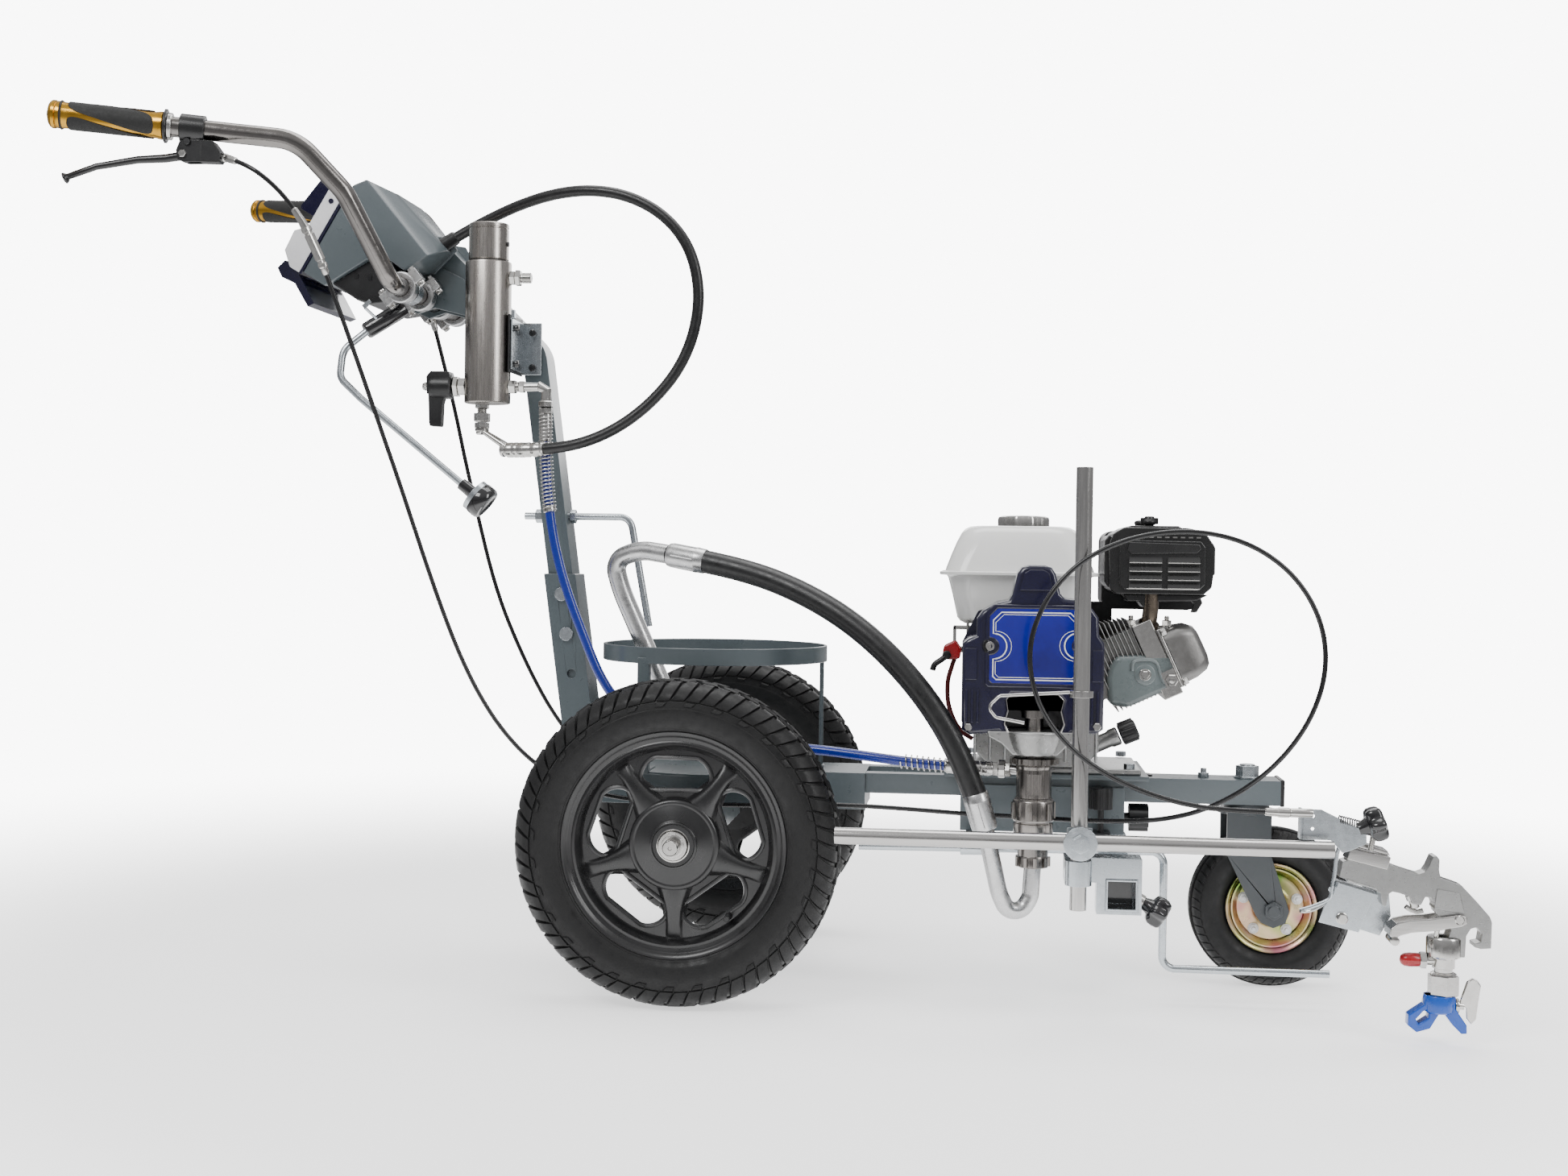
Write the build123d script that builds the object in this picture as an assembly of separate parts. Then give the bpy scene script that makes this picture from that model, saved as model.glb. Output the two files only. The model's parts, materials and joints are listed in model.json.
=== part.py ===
from build123d import *
import math
import os

# Petrol-driven airless sprayer on a three-wheeled line-marking cart, in millimetres.
# Modelled with +X forward, +Z up, the rear axle over X = 0 and the ground at Z = 0.
# The exported parts are moved along X so that the origin is under the middle of the cart.

# ---- driving dimensions ----------------------------------------------------------------
FIT = 0.05            # radial clearance of a running fit
GAP = 0.4             # clearance between parts that only lie near each other
WHEEL_R = 207.0       # rear tyre outer radius
TRACK = 500.0         # between the middles of the rear tyres
TYRE_W = 85.0         # rear tyre width
BEAD_R = 130.0        # bead seat of the rear rim
BEAD_HALF = 28.0
FLANGE_R = 141.5
AXLE_R = 10.0
HUB_R = 57.5
HUB_START = 12.0      # from the axle carrier's end to the hub's inner end
HUB_OUT = 34.0        # from the tyre's middle to the hub's outer end
WINDOW_R = 90.0       # radius of the middles of the rim windows
SPOKES = 5
TYRE_CORNER = 30.0    # shoulder radius of the rear tyre

FRAME_TOP = 278.0
FRAME_DEPTH = 49.0
FRAME_HALF = 60.0
FRAME_REAR = -215.0
FRAME_FRONT = 224.0
SHEET = 4.0
RAIL_W = 25.0
RAIL_H = 27.0
RAIL_END = 569.0
BEAM_FRONT = 778.0
BEAM_HALF = 30.0
BEAM_BOTTOM = 245.0
BEAM_TOP = 279.0
BRACKET_BOTTOM = 205.0
BRACKET_REAR = 352.0
DECK_T = 6.0
DECK_X0, DECK_X1 = 330.0, 600.0
DECK_Y0, DECK_Y1 = -72.0, 130.0

FRONT_R = 106.7       # front tyre outer radius
FRONT_W = 60.0
FRONT_RIM_R = 58.0
CASTER_X = 736.0
CASTER_TRAIL = 32.0
FORK_TOP = 237.0
FORK_T = 5.0
FORK_IN = 34.0        # half the gap between the fork plates
CASTER_BOLT_R = 10.0

COLUMN_TILT = 7.6     # degrees back from the vertical
COLUMN_X = -205.0     # middle of the sleeve at its top end
SLEEVE_TOP = 540.0
TUBE_X, TUBE_Y = 34.0, 50.0
TUBE_PLAY = 0.5       # clearance of the tube in its sleeve, each side
SLEEVE_WALL = 4.5
SLEEVE_X = TUBE_X + 2 * (TUBE_PLAY + SLEEVE_WALL)
SLEEVE_Y = TUBE_Y + 2 * (TUBE_PLAY + SLEEVE_WALL)
SLEEVE_HOLES = (402.0, 457.0, 512.0)
BOLT_HOLES = SLEEVE_HOLES[1:]
BOLT_R = 6.0
HANGER_Z = 620.0      # height of the pail hanger's hole
BEND_Z = 845.0
HEAD_ANGLE = 45.0     # the column's upper arm above the horizontal
HEAD_RUN = 205.0

CROSS_X, CROSS_Z = -402.0, 921.0
BAR_R = 12.7
GRIP_R = 18.0
GRIP_LEN = 132.0
PERCH_AT = GRIP_LEN + 34      # the lever's perch, from the bar's tip
LEVER_R = 4.5
CLAMP_Y = 128.0
BOX_HALF = 92.0
KNOB_BASE = (-556.5, -40, 985.5)      # middle of the pressure knob on the panel
KNOB_WAY = (-0.959, 0, 0.284)         # the knob's axis, out of the panel

FILTER_X, FILTER_Y = -295.0, -85.0
FILTER_R = 31.0
FILTER_CAP_R = 27.0
FILTER_BOTTOM, FILTER_SPLIT, FILTER_TOP = 770.0, 962.0, 1013.0

RING_R = 155.0
RING_T = 4.0
RING_X = 10.0
RING_BOTTOM, RING_TOP = 424.0, 446.0
TRAY_R = 150.0
TRAY_T = 3.0

CRANK_X, CRANK_Z = 455.0, 385.0
CRANK_R = 12.5
CYL_TILT = 25.0
ENGINE_BASE = FRAME_TOP + DECK_T
ENGINE_Y0, ENGINE_Y1 = -62.0, 100.0
CASE_FRONT = 534.0
OIL_Y = -43.0
HOUSING_Y0, HOUSING_Y1 = -90.0, -212.0
HOUSING_WALL = 6.0
PUMP_X, PUMP_Y = 446.0, -180.0
PUMP_R = 36.0
PUMP_ROD_R = 11.0
PUMP_STROKE = 30.0
PUMP_NUT_WALL = 9.0   # the coupling nut outside the pump's shell
GEAR_R = 44.0
PINION_R = 17.0
GEAR_AT_X = PUMP_X
GEAR_AT_Z = CRANK_Z + math.sqrt((PINION_R + GEAR_R + GAP) ** 2 - (CRANK_X - PUMP_X) ** 2)

POLE_X, POLE_Y = 497.0, -318.0
POLE_R = 10.0
POLE_BOTTOM, POLE_TOP = 150.0, 680.0
BAR_Y, BAR_Z = -345.0, 235.0
BAR_START, BAR_END = 206.0, 790.0
ARM_X, ARM_Z = 550.0, 166.0
ARM_SIZE = 38.0
ARM_WALL = 2.5
ARM_END = -301.0
ARM_STUD = ((572, -280, 158), (592, -280, 146))       # stud of the arm's knob

GUN_X, GUN_Y = 925.0, -300.0
GUN_T = 20.0
KNOB_R = 17.0
POINTER_Y = -140.0    # the pointer wire, clear of the caster's whole turn

HOSE_R = 7.5          # black high-pressure hose
BLUE_R = 6.5          # blue airless hose
SIPHON_R = 15.5       # siphon hose
SIPHON_TUBE_R = 13.0
CABLE_R = 3.0
ROD_R = 5.0
HOSE_START = (-240, -99, 707)
BLUE_START, BLUE_END = (-214, -85, 757), (394, -166, 300)
SIPHON_TOP = ((-42, -90.4, 568.9), (-2, -101, 562))   # the pick-up tube's end and its ferrule's
SIPHON_LOW = ((386, -202, 226), (375, -203, 262))     # the suction tube's end and its ferrule's


# ---- helpers ---------------------------------------------------------------------------
def block(x0, x1, y0, y1, z0, z1):
    """A box between two corners."""
    return Pos((x0 + x1) / 2, (y0 + y1) / 2, (z0 + z1) / 2) * Box(abs(x1 - x0), abs(y1 - y0), abs(z1 - z0))


def rod(a, b, r, inner=0.0):
    """A round bar, or a tube, between two points."""
    start, end = Vector(*a), Vector(*b)
    place = Plane(origin=start, z_dir=end - start)
    length = (end - start).length
    bar = place * Cylinder(r, length, align=(Align.CENTER, Align.CENTER, Align.MIN))
    if inner:
        bar -= place * Cylinder(inner, length, align=(Align.CENTER, Align.CENTER, Align.MIN))
    return bar


def across(x, z, y0, y1, r, inner=0.0):
    """A round bar, or a tube, along Y."""
    return rod((x, y0, z), (x, y1, z), r, inner)


def hexagon(a, b, flats):
    """A hexagonal bar between two points."""
    start, end = Vector(*a), Vector(*b)
    place = Plane(origin=start, z_dir=end - start)
    return extrude(place * RegularPolygon(flats / 2, 6, major_radius=False), (end - start).length)


def plate(points, y0, y1):
    """An outline in X and Z, extruded along Y."""
    face = Plane.XZ * make_face(Polyline(*points, close=True))
    return Pos(0, y0, 0) * extrude(face, y0 - y1)


def unit(v):
    """A direction one long."""
    return v.normalized()


def bend_radii(points):
    """The largest arc radii that the runs on both sides of each corner leave room for."""
    spots = [Vector(*p) for p in points]
    radii = []
    for before, here, after in zip(spots, spots[1:], spots[2:]):
        run = min((here - before).length, (after - here).length)
        turn = math.radians((here - before).get_angle(after - here))
        radii.append(0.45 * run / math.tan(turn / 2))
    return radii


def pipe(points, r, radii=None, inner=0.0):
    """A round bar or tube along straight runs joined by tangent arcs."""
    spots = [Vector(*p) for p in points]
    path = FilletPolyline(*spots, radius=radii if radii else bend_radii(points))
    place = Plane(origin=spots[0], z_dir=spots[1] - spots[0])
    section = Circle(r)
    if inner:
        section -= Circle(inner)
    return sweep(place * section, path=path)


def cord(name, points, r):
    """A free cord's plain tube, checked against its section times its length."""
    spots = [Vector(*p) for p in points]
    radii = bend_radii(points)
    path = FilletPolyline(*spots, radius=radii)
    tube = sweep(Plane(origin=spots[0], z_dir=spots[1] - spots[0]) * Circle(r), path=path)
    share = tube.volume / (math.pi * r * r * path.length)
    print(name, "length", round(path.length), "volume share", round(share, 4))
    print("  radii", [round(v) for v in radii])
    return tube


def group(*solids):
    """Separate solids kept together as one part."""
    return Compound(children=[s for whole in solids for s in whole.solids()])


def lobed_knob(r, height, bore, lobes=5):
    """A clamping knob: a round head with hand grips cut into its rim."""
    knob = Cylinder(r, height, align=(Align.CENTER, Align.CENTER, Align.MIN))
    for angle in range(lobes):
        knob -= Rot(0, 0, 360 / lobes * angle) * Pos(r * 1.18, 0, height / 2) * Cylinder(r * 0.36, height)
    return knob - Cylinder(bore, height * 2)


def column_point(z, along=0.0):
    """A point of the tilted column's middle line."""
    return (COLUMN_X - (z - SLEEVE_TOP) * math.tan(math.radians(COLUMN_TILT)) + along, 0, z)


# ---- frame -----------------------------------------------------------------------------
def make_rear_frame():
    """The folded rear frame over the axle, and the axle's carrier."""
    bottom = FRAME_TOP - FRAME_DEPTH
    frame = block(FRAME_REAR, FRAME_FRONT, -FRAME_HALF, FRAME_HALF, bottom, FRAME_TOP)
    inside = FRAME_HALF - SHEET
    frame -= block(FRAME_REAR + SHEET, FRAME_FRONT - SHEET, -inside, inside, bottom - 1, FRAME_TOP - SHEET)
    carrier_half = bottom - WHEEL_R
    carrier_y = TRACK / 2 - TYRE_W / 2 - 12
    carrier = block(-carrier_half, carrier_half, -carrier_y, carrier_y, WHEEL_R - carrier_half, bottom)
    carrier -= across(0, WHEEL_R, -carrier_y - 1, carrier_y + 1, AXLE_R + FIT)
    return frame + carrier


def make_frame_rails():
    """Two rails, the bracket that ties them under the engine, and the engine's deck."""
    y0, y1 = BEAM_HALF + GAP, BEAM_HALF + GAP + RAIL_W
    low = FRAME_TOP - RAIL_H
    rails = [block(FRAME_FRONT, RAIL_END, side * y0, side * y1, low, FRAME_TOP) for side in (-1, 1)]
    y_out = FRAME_HALF
    bracket = block(BRACKET_REAR, RAIL_END, -y_out, y_out, BRACKET_BOTTOM, FRAME_TOP - 11)
    y_in = FRAME_HALF - SHEET
    bracket -= block(BRACKET_REAR - 1, RAIL_END + 1, -y_in, y_in, BRACKET_BOTTOM + SHEET, FRAME_TOP)
    deck = block(DECK_X0, DECK_X1, DECK_Y0, DECK_Y1, FRAME_TOP, FRAME_TOP + DECK_T)
    return group(*rails, bracket, deck)


def make_front_beam():
    """The box beam that carries the caster."""
    beam = block(RAIL_END - 80, BEAM_FRONT, -BEAM_HALF, BEAM_HALF, BEAM_BOTTOM, FRAME_TOP)
    inside = BEAM_HALF - SHEET
    beam -= block(RAIL_END - 81, BEAM_FRONT - 6, -inside, inside, BEAM_BOTTOM + SHEET, FRAME_TOP - SHEET)
    beam -= rod((CASTER_X, 0, BEAM_BOTTOM - 1), (CASTER_X, 0, BEAM_TOP + 1), CASTER_BOLT_R + 0.3)
    return beam


def make_rear_axle():
    """The axle with its spacers, washers and circlips."""
    half = TRACK / 2 + BEAD_HALF + 28
    parts = [across(0, WHEEL_R, -half, half, AXLE_R)]
    for side in (-1, 1):
        start = side * (TRACK / 2 - TYRE_W / 2 - 12)
        parts.append(across(0, WHEEL_R, start, start + side * (HUB_START - 1), AXLE_R + 5, AXLE_R + FIT))
        end = side * (TRACK / 2 + HUB_OUT + 1)
        parts.append(across(0, WHEEL_R, end, end + side * 2, AXLE_R + 8, AXLE_R + FIT))
        parts.append(across(0, WHEEL_R, end + side * 2.3, end + side * 3.8, AXLE_R + 4, AXLE_R + FIT))
    return group(*parts)


def make_bucket_holder():
    """The pail's tray on the frame, and the hoop on its post and rod above it."""
    tray = Pos(RING_X, 0, FRAME_TOP) * Cylinder(TRAY_R, TRAY_T, align=(Align.CENTER, Align.CENTER, Align.MIN))
    hoop_height = RING_TOP - RING_BOTTOM
    hoop = Pos(RING_X, 0, RING_BOTTOM) * (
        Cylinder(RING_R, hoop_height, align=(Align.CENTER, Align.CENTER, Align.MIN))
        - Cylinder(RING_R - RING_T, hoop_height, align=(Align.CENTER, Align.CENTER, Align.MIN))
    )
    middle_r = RING_R - RING_T / 2
    post_angle = math.radians(240)
    post_x, post_y = RING_X + middle_r * math.cos(post_angle), middle_r * math.sin(post_angle)
    post = block(post_x - 8, post_x + 8, post_y - 5, post_y + 9, FRAME_TOP, RING_BOTTOM + 8)
    foot = block(post_x - 8, post_x + 8, post_y + 4, -FRAME_HALF - 20, FRAME_TOP, FRAME_TOP + 5)
    stay_x = RING_X + RING_R - 6.5
    stay = rod((stay_x, 0, FRAME_TOP), (stay_x, 0, RING_TOP - 4), 3)
    foot_2 = block(TRAY_R + RING_X - 20, stay_x + 5, -12, 12, FRAME_TOP, FRAME_TOP + 4)
    return tray + hoop + post + foot + stay + foot_2


# ---- column and handlebar --------------------------------------------------------------
def tilted(z0, z1, x_size, y_size):
    """A bar along the tilted column, cut level at both ends."""
    low, high = column_point(z0), column_point(z1)
    half = x_size / 2
    points = [(low[0] - half, z0), (low[0] + half, z0), (high[0] + half, z1), (high[0] - half, z1)]
    return plate(points, y_size / 2, -y_size / 2)


def make_column_sleeve():
    """The column's outer sleeve with its row of bolt holes."""
    sleeve = tilted(FRAME_TOP, SLEEVE_TOP, SLEEVE_X, SLEEVE_Y)
    sleeve -= tilted(FRAME_TOP + 6, SLEEVE_TOP + 1, TUBE_X + 2 * TUBE_PLAY, TUBE_Y + 2 * TUBE_PLAY)
    for z in SLEEVE_HOLES:
        x = column_point(z)[0]
        sleeve -= across(x, z, -SLEEVE_Y, SLEEVE_Y, BOLT_R + 0.2)
    return sleeve


def make_column_tube():
    """The column's inner tube, bent back at the top, with cheeks for the cross tube."""
    low, bend = column_point(FRAME_TOP + 40), column_point(BEND_Z)
    angle = math.radians(HEAD_ANGLE)
    head = (bend[0] - HEAD_RUN * math.cos(angle), 0, BEND_Z + HEAD_RUN * math.sin(angle))
    path = FilletPolyline(Vector(*low), Vector(*bend), Vector(*head), radius=35)
    place = Plane(origin=Vector(*low), x_dir=(0, 1, 0), z_dir=Vector(*bend) - Vector(*low))
    section = Rectangle(TUBE_Y, TUBE_X) - Rectangle(TUBE_Y - 2 * SHEET, TUBE_X - 2 * SHEET)
    tube = sweep(place * section, path=path)
    for z in BOLT_HOLES:
        x = column_point(z)[0]
        tube -= across(x, z, -TUBE_Y, TUBE_Y, BOLT_R + 0.2)
    x, _, z = column_point(HANGER_Z)
    tube -= rod((x - 40, 0, z), (x + 40, 0, z), ROD_R + FIT + 0.2)
    for side in (-1, 1):
        wing = plate(
            [(CROSS_X - 24, CROSS_Z - 14), (CROSS_X - 8, CROSS_Z - 22), (CROSS_X + 16, CROSS_Z - 14),
             (bend[0] - 66, BEND_Z + 44), (bend[0] - 100, BEND_Z + 102), (CROSS_X - 12, CROSS_Z + 60)],
            side * TUBE_Y / 2 + 4 * max(side, 0), side * TUBE_Y / 2 + 4 * min(side, 0),
        )
        tube += wing
    tube -= across(CROSS_X, CROSS_Z, -TUBE_Y, TUBE_Y, BAR_R + FIT)
    return tube


def make_frame_bolts():
    """Through bolts of the column, the caster's king bolt and the beam's small bolt."""
    bolts = []
    for z in BOLT_HOLES:
        x = column_point(z)[0]
        outer = SLEEVE_Y / 2
        bolts.append(across(x, z, -outer - 5, outer + 5, BOLT_R))
        bolts[-1] += across(x, z, -outer - 5, -outer, 9.5)
        bolts[-1] += hexagon((x, outer, z), (x, outer + 9, z), 19)
    king = rod((CASTER_X, 0, FORK_TOP - FORK_T - 8), (CASTER_X, 0, BEAM_TOP + 18), CASTER_BOLT_R)
    king += hexagon((CASTER_X, 0, FRAME_TOP + 3), (CASTER_X, 0, FRAME_TOP + 17), 27)
    king += rod((CASTER_X, 0, FRAME_TOP), (CASTER_X, 0, FRAME_TOP + 3), 18)
    king += rod((CASTER_X, 0, FORK_TOP - FORK_T - 9), (CASTER_X, 0, FORK_TOP - FORK_T - 2), 14)
    bolts.append(king)
    small = rod((678, 0, FRAME_TOP), (678, 0, FRAME_TOP + 12), 4)
    small += hexagon((678, 0, FRAME_TOP), (678, 0, FRAME_TOP + 6), 13)
    bolts.append(small)
    for x in (360, 575):
        for y in (-52, 110):
            nut = hexagon((x, y, FRAME_TOP + DECK_T + 8), (x, y, FRAME_TOP + DECK_T + 15), 13)
            bolts.append(nut)
    return group(*bolts)


def make_frame_knobs():
    """The hand knob under the front beam and the one on an upright stud beside the bracket."""
    inside = FRAME_HALF - SHEET
    web = block(RAIL_END - 6, RAIL_END, -inside, inside, BRACKET_BOTTOM + SHEET, BEAM_BOTTOM - 4)
    stub = rod((RAIL_END, 0, 221), (RAIL_END + 30, 0, 221), 6)
    across_knob = Plane(origin=Vector(RAIL_END + 10, 0, 221), z_dir=Vector(1, 0, 0)) * lobed_knob(19, 26, 6)
    lug = block(525, 549, -FRAME_HALF - 32, -FRAME_HALF, BRACKET_BOTTOM, BRACKET_BOTTOM + 6)
    stud = rod((537, -FRAME_HALF - 18, BRACKET_BOTTOM + 6), (537, -FRAME_HALF - 18, 266), 4)
    upright = Pos(537, -FRAME_HALF - 18, 241) * lobed_knob(16, 28, 4)
    return group(web + stub, across_knob, lug + stud, upright)


def bar_points():
    """The handlebar's corners, from one tip to the other."""
    side = [(-785, -335, 1109), (-500, -262, 1090), (-447, -232, 1030), (CROSS_X, -176, CROSS_Z)]
    return side + [(x, -y, z) for x, y, z in reversed(side)]


def make_handlebar():
    """The handlebar, bent from one tube."""
    return pipe(bar_points(), BAR_R, [60, 60, 26, 26, 60, 60], BAR_R - 2)


def along_bar(distance, side):
    """A point on the straight hand end of the bar, measured from its tip."""
    tip, bend = [Vector(*p) for p in bar_points()[:2]]
    spot = tip + unit(bend - tip) * distance
    return (spot.X, spot.Y * -side, spot.Z)


def make_grips():
    """Two hand grips, each with an end cap and an inner flange."""
    grips = []
    for side in (-1, 1):
        grip = rod(along_bar(-14, side), along_bar(GRIP_LEN, side), GRIP_R - 1, BAR_R + FIT)
        grip += rod(along_bar(-14, side), along_bar(-1, side), GRIP_R)
        grip += rod(along_bar(GRIP_LEN, side), along_bar(GRIP_LEN + 9, side), GRIP_R + 3, BAR_R + FIT)
        grips.append(grip)
    return group(*grips)


def make_bar_clamps():
    """Split clamps of the cross tube, the lever's perch and the bent rod's holder."""
    parts = []
    for side in (-1, 1):
        for y in (45, CLAMP_Y):
            ring = across(CROSS_X, CROSS_Z, side * y - 9, side * y + 9, BAR_R + 9, BAR_R + FIT)
            ears = block(CROSS_X + 4, CROSS_X + 17, side * y - 9, side * y + 9, CROSS_Z - 36, CROSS_Z - 17)
            parts.append(ring + ears)
    perch_at = along_bar(PERCH_AT, -1)
    perch = rod(along_bar(GRIP_LEN + 22, -1), along_bar(GRIP_LEN + 48, -1), BAR_R + 5, BAR_R + FIT)
    x, y, z = perch_at
    perch += block(x - 18, x + 40, y - 9, y + 9, z - 44, z - BAR_R - 4)
    perch -= block(x - 30, x + 14, y - 5.5, y + 5.5, z - 50, z - 22)
    perch -= rod((x - 8, y - 20, z - 33), (x - 8, y + 20, z - 33), 3.05)
    perch -= rod((x + 10, y, z - 36), (x + 50, y, z - 36), CABLE_R + 1.2)
    parts.append(perch)
    pin = rod((x - 8, y - 11, z - 33), (x - 8, y + 11, z - 33), 3)
    parts.append(pin)
    return group(*parts)


def perch_pivot():
    """The point that the hand lever turns about."""
    x, y, z = along_bar(PERCH_AT, -1)
    return (x - 8, y, z - 33)


def make_brake_lever():
    """The hand lever, a bent bar with a ball end."""
    x, y, z = perch_pivot()
    points = [(x, y, z), (x - 26, y, z - 4), (x - 70, y - 8, z - 8), (x - 118, y - 20, z - 20),
              (x - 148, y - 27, z - 34)]
    end = Vector(*points[-1])
    way = unit(end - Vector(*points[-2]))
    ball = fillet(Cylinder(8, 14, align=(Align.CENTER, Align.CENTER, Align.MIN)).edges(), 5)
    lever = pipe(points, LEVER_R, [20, 20, 20])
    lever += Plane(origin=end - way * 7, z_dir=way) * ball
    lever += rod((x, y - 5, z), (x, y + 5, z), 9)
    return lever - rod((x, y - 8, z), (x, y + 8, z), 3 + FIT)


# ---- control box -----------------------------------------------------------------------
def make_control_box():
    """The folded hood, the operator's panel in its frame and the pan below."""
    outline = [(-500, 1049), (-466, 1074), (-378, 974), (-410, 946), (-520, 931), (-560, 948)]
    hood = plate(outline, BOX_HALF, -BOX_HALF)
    inner = [(-502, 1044), (-466, 1069), (-384, 974), (-412, 950), (-519, 935), (-562, 951)]
    hood -= plate(inner, BOX_HALF - 3, 3 - BOX_HALF)
    angle = math.radians(HEAD_ANGLE)
    bend = column_point(BEND_Z)
    low = (bend[0] - 60 * math.cos(angle), 0, BEND_Z + 60 * math.sin(angle))
    far = (bend[0] - 260 * math.cos(angle), 0, BEND_Z + 260 * math.sin(angle))
    place = Plane(origin=Vector(*low), x_dir=(0, 1, 0), z_dir=Vector(*far) - Vector(*low))
    arm_space = extrude(place * Rectangle(TUBE_Y + 9, TUBE_X + 1), 200)
    hood -= arm_space
    hood -= plate([(-440, 930), (-370, 930), (-370, 985), (-400, 1010), (-440, 990)], 30, -30)
    face = [(-566, 951), (-560, 951), (-500, 1052), (-524, 1074), (-531, 1069)]
    panel = plate(face, BOX_HALF - 6, 6 - BOX_HALF)
    panel -= rod(on_knob_axis(-30), on_knob_axis(5), 4 + FIT)
    pan = plate([(-512, 930.2), (-458, 904), (-426, 942)], BOX_HALF - 10, 10 - BOX_HALF)
    hollow = [(-506, 929), (-458, 908), (-430, 943), (-430, 950), (-506, 950)]
    pan -= plate(hollow, BOX_HALF - 13, 13 - BOX_HALF)
    pan -= plate([(-446, 900), (-400, 900), (-400, 980), (-446, 980)], BOX_HALF, -BOX_HALF)
    return group(hood, panel, pan)


def on_knob_axis(distance):
    """A point on the pressure knob's axis, measured out from the panel."""
    return tuple(b + w * distance for b, w in zip(KNOB_BASE, KNOB_WAY))


def make_pressure_knob():
    """The pressure knob on its spindle."""
    head = Plane(origin=Vector(*on_knob_axis(1)), z_dir=Vector(*KNOB_WAY)) * lobed_knob(17, 24, 2, 6)
    return head + rod(on_knob_axis(-14), on_knob_axis(10), 4)


# ---- filter and fluid line -------------------------------------------------------------
def make_filter_body():
    """The filter's shell with its element and cap."""
    shell = rod((FILTER_X, FILTER_Y, FILTER_BOTTOM), (FILTER_X, FILTER_Y, FILTER_SPLIT), FILTER_R)
    shell -= rod((FILTER_X, FILTER_Y, FILTER_BOTTOM + 18), (FILTER_X, FILTER_Y, FILTER_SPLIT + 1), 22)
    shell -= rod((FILTER_X, FILTER_Y, 940), (FILTER_X + 40, FILTER_Y, 940), 7)
    element = rod((FILTER_X, FILTER_Y, FILTER_BOTTOM + 19), (FILTER_X, FILTER_Y, FILTER_SPLIT - 8), 15, 11)
    cap = rod((FILTER_X, FILTER_Y, FILTER_SPLIT), (FILTER_X, FILTER_Y, FILTER_TOP), FILTER_CAP_R)
    cap += rod((FILTER_X, FILTER_Y, FILTER_SPLIT - 7), (FILTER_X, FILTER_Y, FILTER_SPLIT), 21.9)
    return group(shell, element, cap)


def make_fluid_fittings():
    """Nipples, elbows, ferrules, the drain valve's body and the filter's bracket."""
    y = FILTER_Y
    side = FILTER_X + FILTER_R
    nipple = hexagon((side, y, 940), (side + 12, y, 940), 18)
    nipple += rod((side + 12, y, 940), (side + 27, y, 940), 7)
    parts = [nipple]
    down_x, down_z = BLUE_START[0], BLUE_START[2]
    elbow = hexagon((side, y, 793), (side + 12, y, 793), 17)
    elbow += pipe([(side + 12, y, 793), (down_x, y, 793), (down_x, y, down_z + 10)], 6.5, [12])
    elbow += hexagon((down_x, y, down_z), (down_x, y, down_z + 16), 18)
    parts.append(elbow)
    corner, start = Vector(FILTER_X - 7, y, HOSE_START[2]), Vector(*HOSE_START)
    drop = rod((FILTER_X - 7, y, FILTER_BOTTOM - 30), (FILTER_X - 7, y, FILTER_BOTTOM), 7.5)
    drop += hexagon((FILTER_X - 7, y, FILTER_BOTTOM - 40), (FILTER_X - 7, y, FILTER_BOTTOM - 22), 20)
    drop += pipe([(FILTER_X - 7, y, FILTER_BOTTOM - 30), tuple(corner), HOSE_START], 7, [22])
    drop += rod(tuple(start - unit(start - corner) * 32), HOSE_START, 10)
    parts.append(drop)
    valve = hexagon((FILTER_X - FILTER_R, y, 793), (FILTER_X - FILTER_R - 16, y, 793), 24)
    valve += rod((FILTER_X - FILTER_R - 16, y, 793), (FILTER_X - FILTER_R - 57, y, 793), 5)
    parts.append(valve)
    plate_x = FILTER_X + FILTER_R
    bracket = block(plate_x, plate_x + 4, y - 4, -TUBE_Y / 2, 812, 885)
    bracket += block(plate_x, plate_x + 26, -TUBE_Y / 2 - 4, -TUBE_Y / 2, 812, 885)
    for z in (826, 872):
        bracket += rod((plate_x + 4, y + 14, z), (plate_x + 11, y + 14, z), 4.5)
    parts.append(bracket)
    parts.append(hexagon(BLUE_END, (PUMP_X - PUMP_R - GAP, BLUE_END[1], BLUE_END[2]), 16))
    for start, end in (SIPHON_TOP, SIPHON_LOW):
        parts.append(rod(start, end, SIPHON_R + 1.5))
    return group(*parts)


def make_drain_lever():
    """The drain valve's turning lever."""
    y = FILTER_Y
    x1 = FILTER_X - FILTER_R - 16.4
    lever = rod((x1, y, 793), (x1 - 32, y, 793), 17)
    lever += block(x1 - 28, x1 - 8, y - 7, y + 7, 738, 793)
    lever -= rod((x1 + 1, y, 793), (x1 - 40, y, 793), 5 + FIT)
    return lever


def hose_black_points():
    """The route of the loop from the filter to the control box."""
    return [HOSE_START, (-196, -108, 708), (-146, -112, 719), (-100, -112, 742), (-58, -111, 777),
            (-25, -110, 820), (-6, -109, 871), (-2, -110, 925), (-16, -110, 978), (-50, -108, 1020),
            (-99, -103, 1047),
            (-152, -95, 1057), (-205, -80, 1055), (-257, -62, 1044), (-306, -48, 1026),
            (-350, -43, 1004), (-386, -42, 983)]


def hose_blue_points():
    """The route from the filter down to the pump."""
    return [BLUE_START, (-214, -85, 712), (-210, -88, 658), (-203, -91, 603), (-190, -94, 549),
            (-173, -97, 500), (-153, -99, 452), (-133, -101, 405), (-104, -104, 365), (-62, -108, 337),
            (-9, -114, 322),
            (48, -122, 318), (106, -132, 318), (164, -142, 317), (222, -152, 312), (280, -160, 306),
            (338, -165, 302), BLUE_END]


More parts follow.
